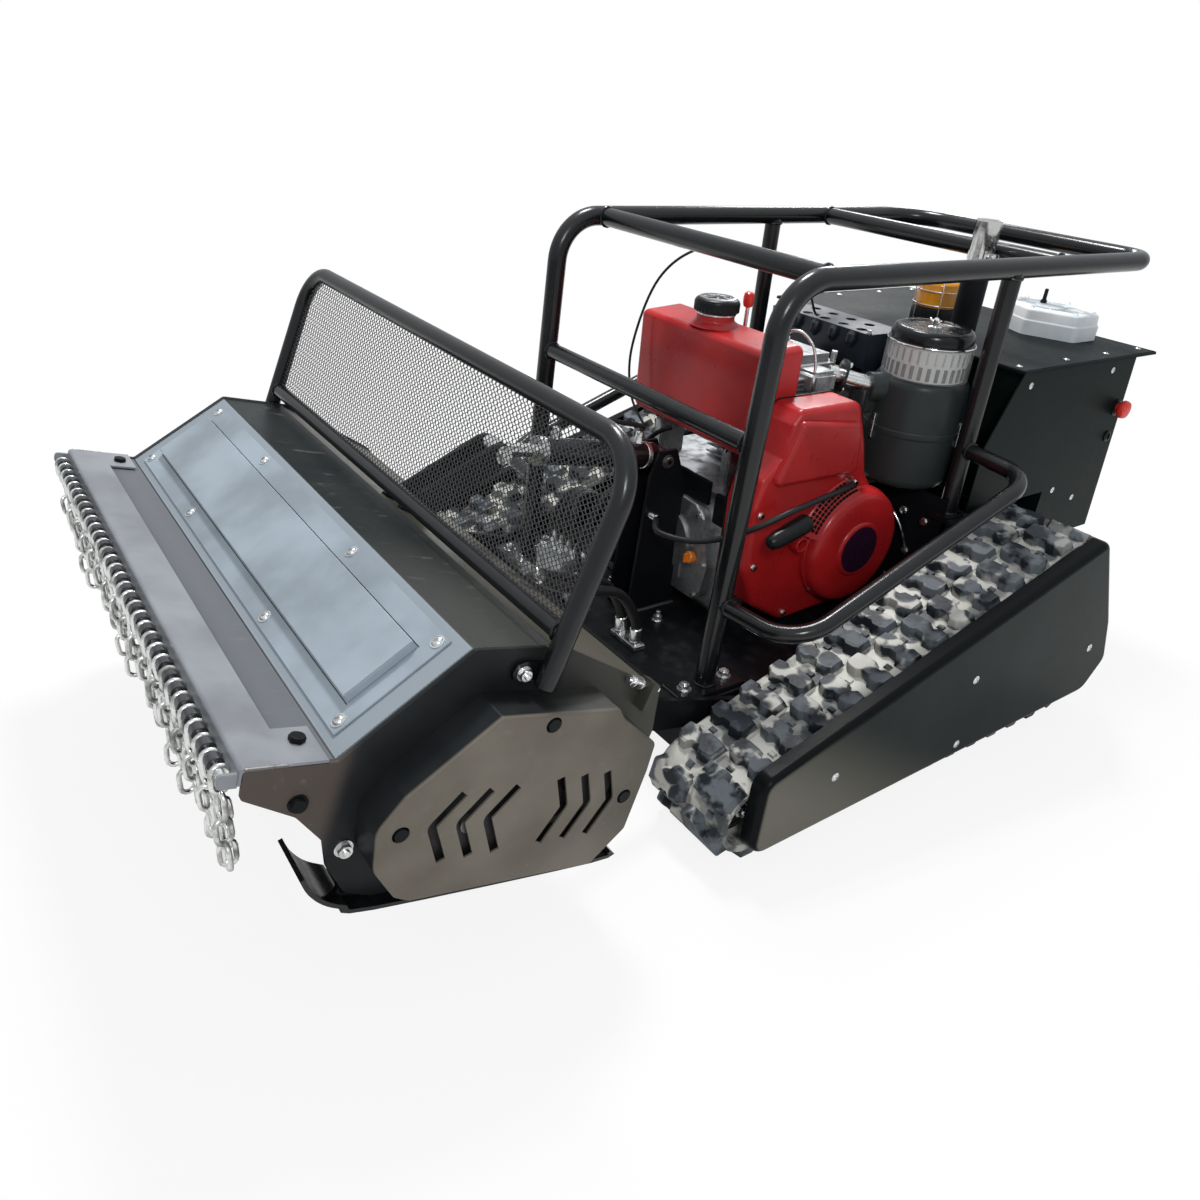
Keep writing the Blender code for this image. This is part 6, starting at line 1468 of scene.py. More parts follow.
def shroud():
    """The red fan shroud with its vents and bolts."""
    b = bmesh.new()
    corners = (0.03, 0.06, 0.04, 0.02, 0.016, 0.018, 0.02, 0.026, 0.04, 0.02, 0.02, 0.05, 0.05, 0.05)
    outline = rounded(SHROUD_OUTLINE, corners, 6, True)
    dished(b, outline, SHROUD_OPEN_X, SHROUD_X, 0.015)
    dished(b, rounded(((0.046, 0.506), (0.101, 0.628), (0.262, 0.607), (0.279, 0.503)), 0.013, 5, True),
           SHROUD_X - 0.002, 0.2445, 0.01, 3)
    centre = Vector((0, *CRANK))
    rows = []
    for radius, x in ((0.118, 0.2305), (0.152, 0.2325), (0.15, 0.2365), (0.1235, 0.2585), (0.118, 0.259)):
        rows.append([b.verts.new(centre + Vector((x, radius * math.cos(a), radius * math.sin(a))))
                     for a in (math.radians(98 + 4 * k) for k in range(17))])
    for near, far in zip(rows, rows[1:] + rows[:1]):
        for k in range(16):
            b.faces.new((near[k], near[k + 1], far[k + 1], far[k]))
    b.faces.new([row[0] for row in rows])
    b.faces.new([row[-1] for row in rows][::-1])
    turned(b, [(0.0105, 0.0), (0.0105, 0.022), (0.012, 0.0245), (0.015, 0.0245), (0.0165, 0.0225),
               (0.017, 0.0)], (0.2315, 0.142, 0.377), (1, 0, 0), 28)
    piece(b, "fan_shroud_cover", "engine_red", replaces=["fan_shroud"], angle=50)
    # Painted shade: near-black fill in the hub's hole and the starter's vent slots.
    b = bmesh.new()
    turned(b, [(0, 0), (0.0106, 0)], (0.242, 0.142, 0.377), (1, 0, 0), 28)
    for row, (radius, x) in enumerate(((0.1475, 0.2392), (0.1415, 0.2441), (0.1355, 0.249),
                                       (0.1295, 0.2539))):
        for k in range(15):
            a = math.radians(101 + 3.9 * k)
            place = Matrix.Translation(centre + Vector((x, radius * math.cos(a), radius * math.sin(a))))
            place = place @ Matrix.Rotation(a, 4, "X") @ Matrix.Rotation(math.radians(40), 4, "Z")
            turned_block(b, place, (0.0026, 0.0052, 0.0074), 0.0006)
    piece(b, "starter_vents", "painted_shade_fill")
    b = bmesh.new()
    plate(b, offset(anticlockwise(outline), -0.0022), 0.1562, 0.159,
          holes=[offset(anticlockwise(outline), 0.006)], edge=0.0004)
    piece(b, "shroud_gasket", "black_plastic")
    b = bmesh.new()
    for point in ((0.04, 0.34), (0.036, 0.45), (0.372, 0.395), (0.345, 0.215), (0.15, 0.212)):
        hex_bolt(b, (0.2315, *point), (1, 0, 0), 0.01, 0.005)
    for place in circle(CRANK, 0.1245, 6, -0.3):
        hex_bolt(b, (0.2415, *place), (1, 0, 0), 0.008, 0.003, False)
    piece(b, "shroud_bolts", "zinc")


def recoil_starter():
    """The recoil starter's dished cover and badge."""
    b = bmesh.new()
    turned(b, [(0.127, 0.0), (0.127, 0.0085), (0.124, 0.0105), (0.1232, 0.02), (0.1205, 0.0275),
               (0.115, 0.0325), (0.107, 0.0352), (0.095, 0.0366), (0.06, 0.0376), (0.059, 0.0396),
               (0.0565, 0.0416), (0.053, 0.0422), (0.0515, 0.0412), (0.0, 0.0412)], (0.2323, *CRANK),
           (1, 0, 0), 72)
    piece(b, "recoil_starter_cover", "engine_red", replaces=["recoil_cover"])
    b = bmesh.new()
    turned(b, [(0.0505, 0.0), (0.0505, 0.0012), (0.049, 0.0016), (0, 0.0018)], (0.2738, *CRANK), (1, 0, 0),
           56)
    piece(b, "starter_badge", "badge")


def starter_grip():
    """The recoil starter's handle."""
    b = bmesh.new()
    x, y, z = 0.285, 0.077, 0.426
    ends = (-0.049, -0.045, -0.032, 0.0, 0.032, 0.043, 0.047)
    tube(b, [(x - 0.001, y - 0.014 + s, z + 0.006 + 0.29 * s) for s in ends],
         [0.007, 0.0125, 0.0165, 0.018, 0.019, 0.0185, 0.015], 24)
    turned(b, [(0.0125, -0.002), (0.0125, 0.006), (0.008, 0.014), (0.0055, 0.016)], (x - 0.012, y, z - 0.002),
           (0.857, 0, 0.515), 24)
    piece(b, "starter_grip", "black_plastic", "recoil_grip", replaces=["recoil_handle"])


def fuel_tank():
    """The red tank with its neck and screw cap."""
    low, high = Vector(TANK_LOW), Vector(TANK_HIGH)
    b = bmesh.new()
    front = [(low.y, low.z), (high.y, low.z), (high.y, high.z + 0.006), (low.y, high.z - 0.002)]
    section = rounded(front, (0.018, 0.018, 0.016, 0.014), 7, True)
    layers = []
    for x, inset in ((low.x, 0.0125), (low.x + 0.003, 0.0065), (low.x + 0.008, 0.0025),
                     (low.x + 0.014, 0.0), (0.14, 0.0), (0.146, 0.0015), (0.151, 0.0045), (0.1545, 0.0085),
                     (high.x, 0.013)):
        layers.append([b.verts.new((x, *point)) for point in offset(anticlockwise(section), inset)])
    skin(b, layers, first=True, last=True)
    x, y = NECK
    turned(b, [(0.05, 0.0), (0.0465, 0.005), (0.04, 0.009), (0.0375, 0.013), (0.037, 0.0265),
               (0.032, 0.0265)], (x, y, high.z + 0.0005), sides=48)
    piece(b, "red_fuel_tank", "engine_red", replaces=["fuel_tank"], angle=45)
    b = bmesh.new()
    turned(b, [(0.0395, 0.0), (0.0395, 0.0028), (0.034, 0.0028)], (x, y, high.z + 0.023), sides=48)
    for sx in (-0.146, 0.072):
        hex_bolt(b, (sx, low.y + 0.018, low.z - 0.0005), (0, 0, -1), 0.012, 0.006)
    piece(b, "tank_neck_ring", "zinc")
    b = bmesh.new()
    profile = ((0.0415, 0.0, 0.0), (0.045, 0.002, 1.0), (0.045, 0.018, 1.0), (0.0425, 0.0225, 0.4),
               (0.0385, 0.0255, 0.0), (0.03, 0.0262, 0.0), (0.0285, 0.024, 0.0), (0.012, 0.024, 0.0),
               (0.0105, 0.0275, 0.0))
    skin(b, fluted(b, profile, (x, y, high.z + 0.0273), 72, 0.0016), first=True, last=True)
    piece(b, "fuel_cap_cover", "black_plastic", "cap", replaces=["fuel_cap"])
    b = bmesh.new()
    top = high.z + 0.0273
    turned(b, [(0.0375, 0.025), (0.036, 0.0272), (0.03, 0.028), (0.0285, 0.0262), (0, 0.0262)], (x, y, top),
           (0, 0, 1), 48)
    for k, rib in enumerate(circle(NECK, 0.018, 6, 0.3)):
        place = Matrix.Translation((*rib, top + 0.0272)) @ Matrix.Rotation(math.tau * k / 6 + 0.3, 4, "Z")
        turned_block(b, place, (0.014, 0.006, 0.003), 0.001)
    piece(b, "fuel_cap_top", "cap_top", "cap")


def lever():
    """The decompression lever with its red knob."""
    base = (-0.06, 0.205, HEAD_TOP + 0.009)
    b = bmesh.new()
    turned(b, [(0, -0.001), (0.0058, -0.001), (0.0058, 0.01), (0.0042, 0.014), (0.0042, 0.066), (0, 0.066)],
           base, (0, 0, 1), 20)
    piece(b, "decompression_rod", "zinc", "decompression")
    b = bmesh.new()
    turned(b, [(0.0052, 0.062), (0.009, 0.064), (0.011, 0.071), (0.0112, 0.082), (0.0095, 0.09),
               (0.005, 0.0928), (0, 0.093)], base, (0, 0, 1), 32)
    piece(b, "decompression_knob", "red_plastic", "decompression", replaces=["decompression_lever"])


def air_cleaner():
    """The oil-bath air cleaner's body and clips."""
    x, y = CLEANER
    b = bmesh.new()
    turned(b, [(0, 0.4445), (0.074, 0.4445), (0.084, 0.447), (0.0905, 0.454), (0.093, 0.464),
               (0.0985, 0.553), (0.1, 0.5555), (0.101, 0.557), (0.1012, 0.56), (0.1012, 0.566),
               (0.0995, 0.5675), (0.099, 0.57), (0.0998, 0.573), (0.0955, 0.648), (0.0935, 0.6575),
               (0.0905, 0.662), (0.088, 0.6645), (0, 0.6645)], (x, y, 0), sides=72)
    tube(b, [(0.146, 0.372, 0.64), (0.178, 0.44, 0.64)], 0.029, 28)
    block(b, (0.118, 0.352, 0.585), (0.16, 0.4, 0.64), 0.008, segments=3)
    piece(b, "air_cleaner_body", "cleaner_plastic", replaces=["air_cleaner"])
    b = bmesh.new()
    for a in (0.3, 2.4, 4.5):
        cx, cy = x + 0.1 * math.cos(a), y + 0.1 * math.sin(a)
        block(b, (cx - 0.004, cy - 0.004, 0.538), (cx + 0.004, cy + 0.004, 0.59), 0.0012)
        tube(b, [(cx - 0.006 * math.sin(a), cy + 0.006 * math.cos(a), 0.588),
                 (cx + 0.006 * math.sin(a), cy - 0.006 * math.cos(a), 0.588)], 0.0022, 12)
    piece(b, "cleaner_clips", "zinc")


def dust_bowl():
    """The air cleaner's clear dust bowl with its vanes, cap and wing nut."""
    x, y = CLEANER
    b = bmesh.new()
    profile = ((0.666, 0.0835, 0.0), (0.666, 0.086, 0.4), (0.669, 0.0868, 1.0), (0.728, 0.0862, 1.0),
               (0.7335, 0.085, 0.3), (0.7335, 0.082, 0.0), (0.7285, 0.0825, 0.6), (0.669, 0.083, 0.6))
    skin(b, fluted(b, [(radius, height, share) for height, radius, share in profile], (x, y, 0), 120,
                   0.0016, (0, 1, 1, 0)))
    piece(b, "clear_dust_bowl", "clear_plastic", replaces=["pre_cleaner"], angle=25)
    b = bmesh.new()
    collar(b, 0.077, 0.079, (0.667, 0.7335), (x, y, 0), (0, 0, 1), 60)
    piece(b, "dust_bowl_vane_ring", "grey_plastic")
    # Painted shade: near-black blocks in the vane ring's slots.
    vanes = 30
    for name, finish, height, tall, wide, shift in (
            ("dust_bowl_slots", "painted_shade_fill", 0.6835, 0.026, 0.0075, 0.0),
            ("dust_bowl_streaks", "cap_top", 0.7145, 0.024, 0.004, 0.5)):
        b = bmesh.new()
        for k in range(vanes):
            a = math.tau * (k + shift) / vanes
            fin = Matrix.Translation((x + 0.0785 * math.cos(a), y + 0.0785 * math.sin(a), height))
            turned_block(b, fin @ Matrix.Rotation(a, 4, "Z"), (0.003, wide, tall))
        piece(b, name, finish)
    b = bmesh.new()
    turned(b, [(0, 0.734), (0.0853, 0.734), (0.0856, 0.7362), (0.0846, 0.7386), (0.0818, 0.7396),
               (0.0822, 0.747), (0.0805, 0.7555), (0.0762, 0.7615), (0.07, 0.764), (0.0635, 0.7632),
               (0.0585, 0.7605), (0.054, 0.7595), (0.03, 0.76), (0, 0.7602)], (x, y, 0), sides=72)
    piece(b, "dust_bowl_cap", "glossy_plastic")
    b = bmesh.new()
    tube(b, ring_path((x, y, 0.735), (0, 0, 1), 0.0858, 72), 0.0018, 8, True)
    turned(b, [(0.014, 0.76), (0.014, 0.7625), (0.006, 0.764), (0.006, 0.777), (0.003, 0.78), (0, 0.7802)],
           (x, y, 0), sides=24)
    for side in (1, -1):
        tube(b, [(x + side * 0.004, y, 0.768), (x + side * 0.01, y + side * 0.002, 0.773),
                 (x + side * 0.015, y, 0.7765)], [0.003, 0.0034, 0.002], 12)
    piece(b, "dust_bowl_wing_nut", "chrome")


def muffler():
    """The muffler under its perforated heat shield."""
    b = bmesh.new()
    block(b, (-0.202, 0.438, 0.626), (0.07, 0.54, 0.712), 0.02, segments=4)
    tube(b, [(-0.06, 0.3805, 0.64), (-0.06, 0.445, 0.64)], 0.02, 28)
    collar(b, 0.021, 0.031, (0, 0.007), (-0.06, 0.3808, 0.64), (0, 1, 0), 28)
    piece(b, "muffler_box", "frame_coat", replaces=["muffler"])
    b = bmesh.new()
    places = (-0.178, -0.125, -0.072, -0.019, 0.034)
    holes = [circle((hx, 0.455), 0.0115, 24) for hx in places]
    holes += [circle((hx + 0.026, 0.51), 0.0115, 24) for hx in places[:4]]
    plate(b, oblong((-0.21, 0.43), (0.078, 0.548), 0.008, 4), 0.7195, 0.722, "Z", holes=holes, edge=0.0006)
    plate(b, [(-0.21, 0.721), (-0.21, 0.65), (0.078, 0.65), (0.078, 0.721)], 0.43, 0.4322, "Y", edge=0.0005)
    for hx in places:
        tube(b, [(hx, 0.432, 0.7165), (hx, 0.429, 0.712), (hx, 0.4275, 0.7), (hx, 0.43, 0.688)],
             [0.01, 0.0125, 0.012, 0.005], 20)
    plate(b, [(0.431, 0.721), (0.431, 0.64), (0.547, 0.64), (0.547, 0.721)], 0.0758, 0.078, "X", edge=0.0005)
    piece(b, "muffler_shield", "shield_coat")
    b = bmesh.new()
    for hx in (-0.198, 0.066):
        for hy in (0.442, 0.536):
            hex_bolt(b, (hx, hy, 0.722), (0, 0, 1), 0.009, 0.005)
    piece(b, "shield_bolts", "zinc")


def exhaust_stack():
    """The stack through the lid, with its bright tip and clamp."""
    x, y = STACK
    b = bmesh.new()
    turned(b, [(0.017, ON_LID), (0.0355, ON_LID), (0.0355, 0.711), (0.029, 0.7125), (0.0272, 0.716),
               (0.027, 0.8655), (0.0262, 0.868), (0.0165, 0.868)], (x, y, 0), sides=48)
    path = rounded([(OUTLET_X, 0.5483, 0.6635), (OUTLET_X, y, 0.6635), (x, y, 0.6635), (x, y, 0.728)],
                   0.024, 10)
    tube(b, path, 0.0158, 28)
    piece(b, "exhaust_pipe", "frame_coat", replaces=["exhaust_stack"])
    b = bmesh.new()
    turned(b, [(0.024, 0.86), (0.0252, 0.869), (0.0255, 0.955), (0.025, 0.9577), (0.0238, 0.9572),
               (0.0232, 0.951), (0.0232, 0.86)], (x, y, 0), sides=48)
    collar(b, 0.0253, 0.0268, (0.882, 0.898), (x, y, 0), (0, 0, 1), 48)
    for near in (y - 0.01, y - 0.001):
        block(b, (x + 0.024, near, 0.882), (x + 0.04, near + 0.004, 0.898), 0.0008)
    hex_bolt(b, (x + 0.033, y - 0.01, 0.89), (0, -1, 0), 0.01, 0.006)
    hex_bolt(b, (x + 0.033, y + 0.003, 0.89), (0, 1, 0), 0.01, 0.006)
    piece(b, "exhaust_tip", "chrome")


def pump_and_lines():
    """Pump, flywheel, throttle cable and the thin control cable."""
    dress("cast_aluminium", "hydraulic_pump")
    dress("cast_iron", "flywheel")
    b = bmesh.new()
    route = ((0.0384, -0.07, 0.394), (0.056, -0.07, 0.394), (0.1, -0.098, 0.388), (0.16, -0.068, 0.388),
             (0.212, -0.026, 0.408), (0.255, 0.01, 0.442), (0.279, 0.065, 0.472), (0.278, 0.14, 0.484),
             (0.27, 0.205, 0.488), (0.252, 0.258, 0.487), (0.236, 0.262, 0.487))
    tube(b, smooth_route(route, 8), 0.0058, 16)
    piece(b, "throttle_cable_casing", "hose_rubber", replaces=["throttle_cable"])
    b = bmesh.new()
    for end in ((0.037, -0.07, 0.394), (0.2335, 0.262, 0.487)):
        turned(b, [(0.0075, 0), (0.0085, 0.001), (0.0085, 0.02), (0.006, 0.024)], end, (1, 0, 0), 20)
    piece(b, "cable_ferrules", "zinc")
    b = bmesh.new()
    whip = ((-0.15, 0.045, 0.5), (-0.19, 0.03, 0.56), (-0.205, 0.032, 0.66), (-0.175, 0.06, 0.8),
            (-0.12, 0.12, 0.868), (-0.06, 0.22, 0.868), (-0.03, 0.33, 0.8), (-0.06, 0.405, 0.74),
            (-0.08, 0.44, 0.728))
    tube(b, smooth_route(whip, 10), 0.0026, 12)
    piece(b, "control_cable", "hose_rubber")


def deck_hoses():
    """The two hoses from the tub to the deck, as they lie with the deck lifted."""
    routes = []
    for shift in (0.0, 0.05):
        routes.append([(x + shift, y, z) for x, y, z in
                       ((0.1, -0.165, 0.177), (0.103, -0.172, 0.235), (0.118, -0.23, 0.315),
                        (0.13, -0.315, 0.35), (0.138, -0.395, 0.385), (0.142, -0.4485, 0.43))])
    b = bmesh.new()
    for route in routes:
        tube(b, smooth_route(route, 8), 0.0098, 18)
    hoses = piece(b, "deck_hoses", "hose_rubber", None, replaces=["hydraulic_hoses"])
    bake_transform(hoses)
    b = bmesh.new()
    for route in routes:
        turned(b, [(0.0105, 0), (0.0125, 0.001), (0.0125, 0.016), (0.0105, 0.018), (0.0118, 0.02),
                   (0.0118, 0.044), (0.0102, 0.046)], Vector(route[0]) - Vector((0, 0, 0.004)),
               (0.03, -0.06, 1), 24, hexed=(1, 2))
    block(b, (0.084, -0.179, TUB_TOP + 0.0003), (0.166, -0.151, TUB_TOP + 0.012), 0.002)
    piece(b, "tub_hose_fittings", "zinc")
    b = bmesh.new()
    for route in routes:
        top = Vector(route[-1])
        turned(b, [(0.0105, -0.04), (0.0118, -0.038), (0.0118, -0.016), (0.0102, -0.014), (0.0102, -0.012),
                   (0.0125, -0.01), (0.0125, 0.002), (0, 0.002)], top, top - Vector(route[-2]), 24,
               hexed=(5, 6))
    piece(b, "deck_hose_fittings", "zinc", "deck")


def valve():
    """Valve block with its hoses in front of the engine, seen through the guard's mesh."""
    b = bmesh.new()
    block(b, (-0.205, -0.18, TUB_TOP + 0.0004), (-0.095, -0.11, TUB_TOP + 0.075), 0.004)
    block(b, (-0.08, -0.19, TUB_TOP + 0.0004), (-0.048, -0.13, TUB_TOP + 0.058), 0.004)
    piece(b, "valve_block", "cast_aluminium")
    b = bmesh.new()
    fittings = bmesh.new()
    for k, (x, bow) in enumerate(((-0.188, 0.03), (-0.162, 0.012), (-0.136, -0.006), (-0.11, -0.02))):
        route = [(x, -0.145, TUB_TOP + 0.08), (x, -0.15, TUB_TOP + 0.14 + 0.01 * k),
                 (x + bow, -0.12, TUB_TOP + 0.205), (x + bow * 1.2, -0.06, TUB_TOP + 0.18),
                 (x + bow, -0.02, TUB_TOP + 0.1), (x + bow, -0.005, TUB_TOP + 0.006)]
        tube(b, smooth_route(route, 8), 0.0078, 16)
        for end, tall in (((x, -0.145, TUB_TOP + 0.074), 0.034), ((x + bow, -0.005, TUB_TOP + 0.0004), 0.03)):
            turned(fittings, [(0.007, 0), (0.0108, 0.001), (0.0108, 0.012), (0.0092, 0.014), (0.0096, tall),
                              (0.008, tall + 0.002)], end, sides=24, hexed=(1, 2))
    side_route = [(-0.06, -0.16, TUB_TOP + 0.062), (-0.058, -0.168, TUB_TOP + 0.12),
                  (-0.045, -0.13, TUB_TOP + 0.23), (-0.042, -0.08, 0.44), (-0.036, -0.075, 0.478)]
    tube(b, smooth_route(side_route, 8), 0.0065, 16)
    piece(b, "valve_hoses", "hose_rubber")
    piece(fittings, "valve_fittings", "zinc")


def lift_cylinder():
    """The lift cylinder's gland, ports and line, and its anchor's nuts."""
    dress("black_coat", "lift_cylinder")
    dress("chrome", "lift_rod")
    axis = Vector((0, -0.9845, 0.1753))
    anchor = Vector((0, -0.04, 0.5))
    b = bmesh.new()
    turned(b, [(0.0138, 0.272), (0.0272, 0.272), (0.0272, 0.2865), (0.0215, 0.2872), (0.0138, 0.2872)],
           anchor, axis, 40)
    turned(b, [(0.0262, 0.03), (0.0262, 0.038), (0.0251, 0.039)], anchor, axis, 40)
    for along in (0.055, 0.25):
        place = anchor + axis * along + Vector((0, 0.0043, 0.0242))
        turned(b, [(0.0095, 0), (0.0095, 0.01), (0.0078, 0.012), (0.0078, 0.02), (0.0055, 0.022),
                   (0, 0.022)], place, (0, 0.1753, 0.9845), 24, hexed=(0, 1))
    piece(b, "cylinder_gland", "zinc", "cylinder")
    b = bmesh.new()
    first = anchor + axis * 0.055 + Vector((0, 0.0085, 0.048))
    last = anchor + axis * 0.25 + Vector((0, 0.0085, 0.048))
    tube(b, smooth_route([first, first + Vector((0.004, -0.01, 0.012)), last + Vector((0.004, 0.03, 0.014)),
                          last], 8), 0.0045, 14)
    piece(b, "cylinder_line", "hose_rubber", "cylinder")
    b = bmesh.new()
    for side in (1, -1):
        hex_nut(b, (side * 0.0362, -0.04, 0.5), (side, 0, 0), 0.019, 0.006, 0.0)
        weld(b, [(side * 0.037, -0.099, TUB_TOP + 0.001), (side * 0.037, 0.017, TUB_TOP + 0.001)], 0.004)
    piece(b, "anchor_nuts", "steel")


def engine():
    """The engine with what is bolted to it."""
    crankcase()
    cylinder_head()
    shroud()
    recoil_starter()
    starter_grip()
    fuel_tank()
    lever()
    air_cleaner()
    dust_bowl()
    muffler()
    exhaust_stack()
    pump_and_lines()
    deck_hoses()
    valve()
    lift_cylinder()


# Rear box

def box_back(z):
    """How far back the box's leaning rear wall is at a height."""
    return 1.05 - (z - 0.285) * 0.035 / 0.4147


def rear_box():
    """The control box's walls."""
    b = bmesh.new()
    for side in (1, -1):
        plate(b, rounded(BOX_OUTLINE, 0.002, 2, True), side * (BOX_HALF - 0.003), side * BOX_HALF,
              holes=[circle(STOP, 0.0117, 24)] if side > 0 else (), edge=0.0007)
    walls = rounded([(1.0135, BOX_TOP, 0), (1.0485, 0.2865, 0), (0.8015, 0.2865, 0), (0.8015, 0.4135, 0),
                     (0.6015, 0.4135, 0), (0.6015, BOX_TOP, 0)], 0.003, 3)
    plate(b, bent_sheet(walls, 0.003), -BOX_HALF + 0.0029, BOX_HALF - 0.0029, edge=0.0004)
    for side in (1, -1):
        for z in (0.44, 0.66):
            block(b, (side * (BOX_HALF - 0.028), 0.5985, z - 0.012),
                  (side * (BOX_HALF - 0.003), 0.6002, z + 0.012), 0.0004)
    piece(b, "control_box", "box_coat", replaces=["rear_box"])


def box_lid():
    """The control box's overhanging lid."""
    b = bmesh.new()
    plate(b, oblong((-LID_HALF, LID_FRONT), (LID_HALF, LID_REAR), 0.003, 3), LID_LOW, LID_LOW + 0.0032, "Z",
          holes=[circle(STACK, 0.0222, 32)], edge=0.0006)
    for side in (1, -1):
        block(b, (side * (LID_HALF - 0.0035), LID_FRONT + 0.002, LID_LOW + 0.0001),
              (side * (LID_HALF - 0.0002), LID_REAR - 0.003, LID_TOP - 0.0002), 0.0006)
    for low, high in ((LID_FRONT + 0.0002, LID_FRONT + 0.0032), (LID_REAR - 0.0035, LID_REAR - 0.0002)):
        block(b, (0.002 - LID_HALF, low, LID_LOW + 0.0001),
              (LID_HALF - 0.002, high, LID_TOP - 0.0002), 0.0006)
    block(b, (0.006 - LID_HALF, LID_FRONT + 0.006, LID_LOW + 0.0026),
          (LID_HALF - 0.006, LID_REAR - 0.006, LID_TOP - 0.0002), 0.0008)
    piece(b, "control_box_lid", "lid_coat", replaces=["rear_box_lid"])


def box_fittings():
    """Screws, louvres and the charging socket."""
    b = bmesh.new()
    for side in (1, -1):
        for y in (0.606, 0.773, 0.926, 1.06):
            button_screw(b, (side * 0.32, y, LID_TOP - 0.0004), (0, 0, 1), 0.0052)
        for y, z in ((0.625, 0.672), (0.93, 0.676), (0.841, 0.41), (0.938, 0.376)):
            button_screw(b, (side * (BOX_HALF - 0.0004), y, z), (side, 0, 0), 0.0052)
    for x in (-0.2, 0.0, 0.2):
        for z in (0.33, 0.64):
            button_screw(b, (x, box_back(z) - 0.0004, z), (0, 1, 0.085), 0.0052)
    piece(b, "box_screws", "zinc")
    b = bmesh.new()
    for k in range(7):
        z = 0.4 + 0.022 * k
        block(b, (-0.12, box_back(z) - 0.001, z), (0.12, box_back(z) + 0.003, z + 0.006), 0.001)
    piece(b, "box_rear_louvres", "black_coat")
    b = bmesh.new()
    turned(b, [(0.0125, 0), (0.0125, 0.003), (0.01, 0.005), (0.007, 0.0052), (0.0068, 0.002), (0, 0.002)],
           (BOX_HALF, *SOCKET), (1, 0, 0), 32)
    piece(b, "charging_socket", "black_plastic")


def beacon():
    """The amber beacon in its wire guard."""
    x, y = BEACON
    b = bmesh.new()
    turned(b, [(0, ON_LID), (0.056, ON_LID), (0.056, 0.713), (0.053, 0.715), (0.0525, 0.74),
               (0.0505, 0.749), (0.0475, 0.7505), (0, 0.7505)], (x, y, 0), sides=56)
    piece(b, "beacon_base", "black_plastic")
    b = bmesh.new()
    profile = ((0.0475, 0.7505, 0.0), (0.0482, 0.752, 1.0), (0.0478, 0.796, 1.0), (0.045, 0.803, 0.6),
               (0.038, 0.8078, 0.2), (0.02, 0.8108, 0.0), (0.006, 0.8115, 0.0))
    skin(b, fluted(b, profile, (x, y, 0), 80, 0.0011), last=True)
    piece(b, "beacon_lens", "amber", replaces=["beacon"])
    b = bmesh.new()
    turned(b, [(0.012, 0.75), (0.012, 0.76), (0.02, 0.762), (0.02, 0.782), (0.01, 0.79), (0, 0.79)],
           (x, y, 0), sides=24)
    piece(b, "beacon_lamp", "zinc")
    b = bmesh.new()
    for height in (0.756, 0.786):
        tube(b, ring_path((x, y, height), (0, 0, 1), 0.0525, 48), 0.0014, 8, True)
    for k in range(3):
        a = math.pi * k / 3 + 0.25
        dx, dy = 0.0545 * math.cos(a), 0.0545 * math.sin(a)
        tube(b, rounded([(x - dx, y - dy, 0.708), (x - dx, y - dy, 0.8135), (x + dx, y + dy, 0.8135),
                         (x + dx, y + dy, 0.708)], (0.022, 0.022), 8), 0.0015, 8)
    piece(b, "beacon_wire_guard", "zinc")


def receiver():
    """The die-cast receiver housing on the lid."""
    x, y = RECEIVER
    hexagon = [(x + hx, y + RECEIVER_SQUASH * hy)
               for hx, hy in circle((0, 0), RECEIVER_RADIUS, 6, math.pi / 6)]
    b = bmesh.new()
    rows = []
    for inset, height, radius in ((0.0, ON_LID, 0.016), (0.0, 0.736, 0.016), (0.002, 0.739, 0.016),
                                  (0.0035, 0.741, 0.015), (0.005, 0.758, 0.014), (0.008, 0.7625, 0.013),
                                  (0.012, 0.764, 0.012), (0.027, 0.764, 0.01), (0.0285, 0.7595, 0.01)):
        shape = rounded(offset(hexagon, inset), radius, 5, True)
        rows.append([b.verts.new((*tuple(point)[:2], height)) for point in shape])
    skin(b, rows, first=True, last=True)
    plate(b, circle((x, y), 0.034, 40), 0.758, 0.7638, "Z", edge=0.0015)
    for a in (0.0, math.pi / 3, 2 * math.pi / 3):
        turned_block(b, Matrix.Translation((x, y, 0.7608)) @ Matrix.Rotation(a, 4, "Z"),
                     (0.13, 0.004, 0.004))
    piece(b, "receiver_casting", "grey_box", replaces=["receiver_housing"])
    b = bmesh.new()
    for hx, hy in offset(hexagon, 0.018):
        button_screw(b, (hx, hy, 0.7637), (0, 0, 1), 0.0038)
    piece(b, "receiver_screws", "zinc")
    b = bmesh.new()
    turned(b, [(0.007, 0.763), (0.007, 0.77), (0.0045, 0.772), (0.0042, 0.794), (0.003, 0.7955),
               (0, 0.7956)], (0.1, 1.0, 0), (0, 0, 1), 24)
    tube(b, smooth_route([(0.06, 0.9, 0.709), (0.045, 0.905, 0.712), (0.04, 0.935, 0.7105),
                          (0.05, 0.96, 0.714), (0.056, 0.965, 0.72)]), 0.0032, 12)
    piece(b, "receiver_aerial", "black_plastic")


def stop_button():
    """The red mushroom button in its collar."""
    y, z = STOP
    b = bmesh.new()
    turned(b, [(0.0118, 0.0002), (0.0185, 0.0002), (0.0185, 0.003), (0.016, 0.0042), (0.0118, 0.0045)],
           (BOX_HALF, y, z), (1, 0, 0), 40)
    piece(b, "stop_button_collar", "black_plastic")
    b = bmesh.new()
    turned(b, [(0, -0.0155), (0.0104, -0.0155), (0.0104, 0.0122), (0.018, 0.0124), (0.02, 0.015),
               (0.02, 0.0205), (0.018, 0.0255), (0.013, 0.0276), (0, 0.028)], (BOX_HALF, y, z), (1, 0, 0),
           48)
    piece(b, "stop_button_head", "red_plastic", "stop", replaces=["stop_button"])


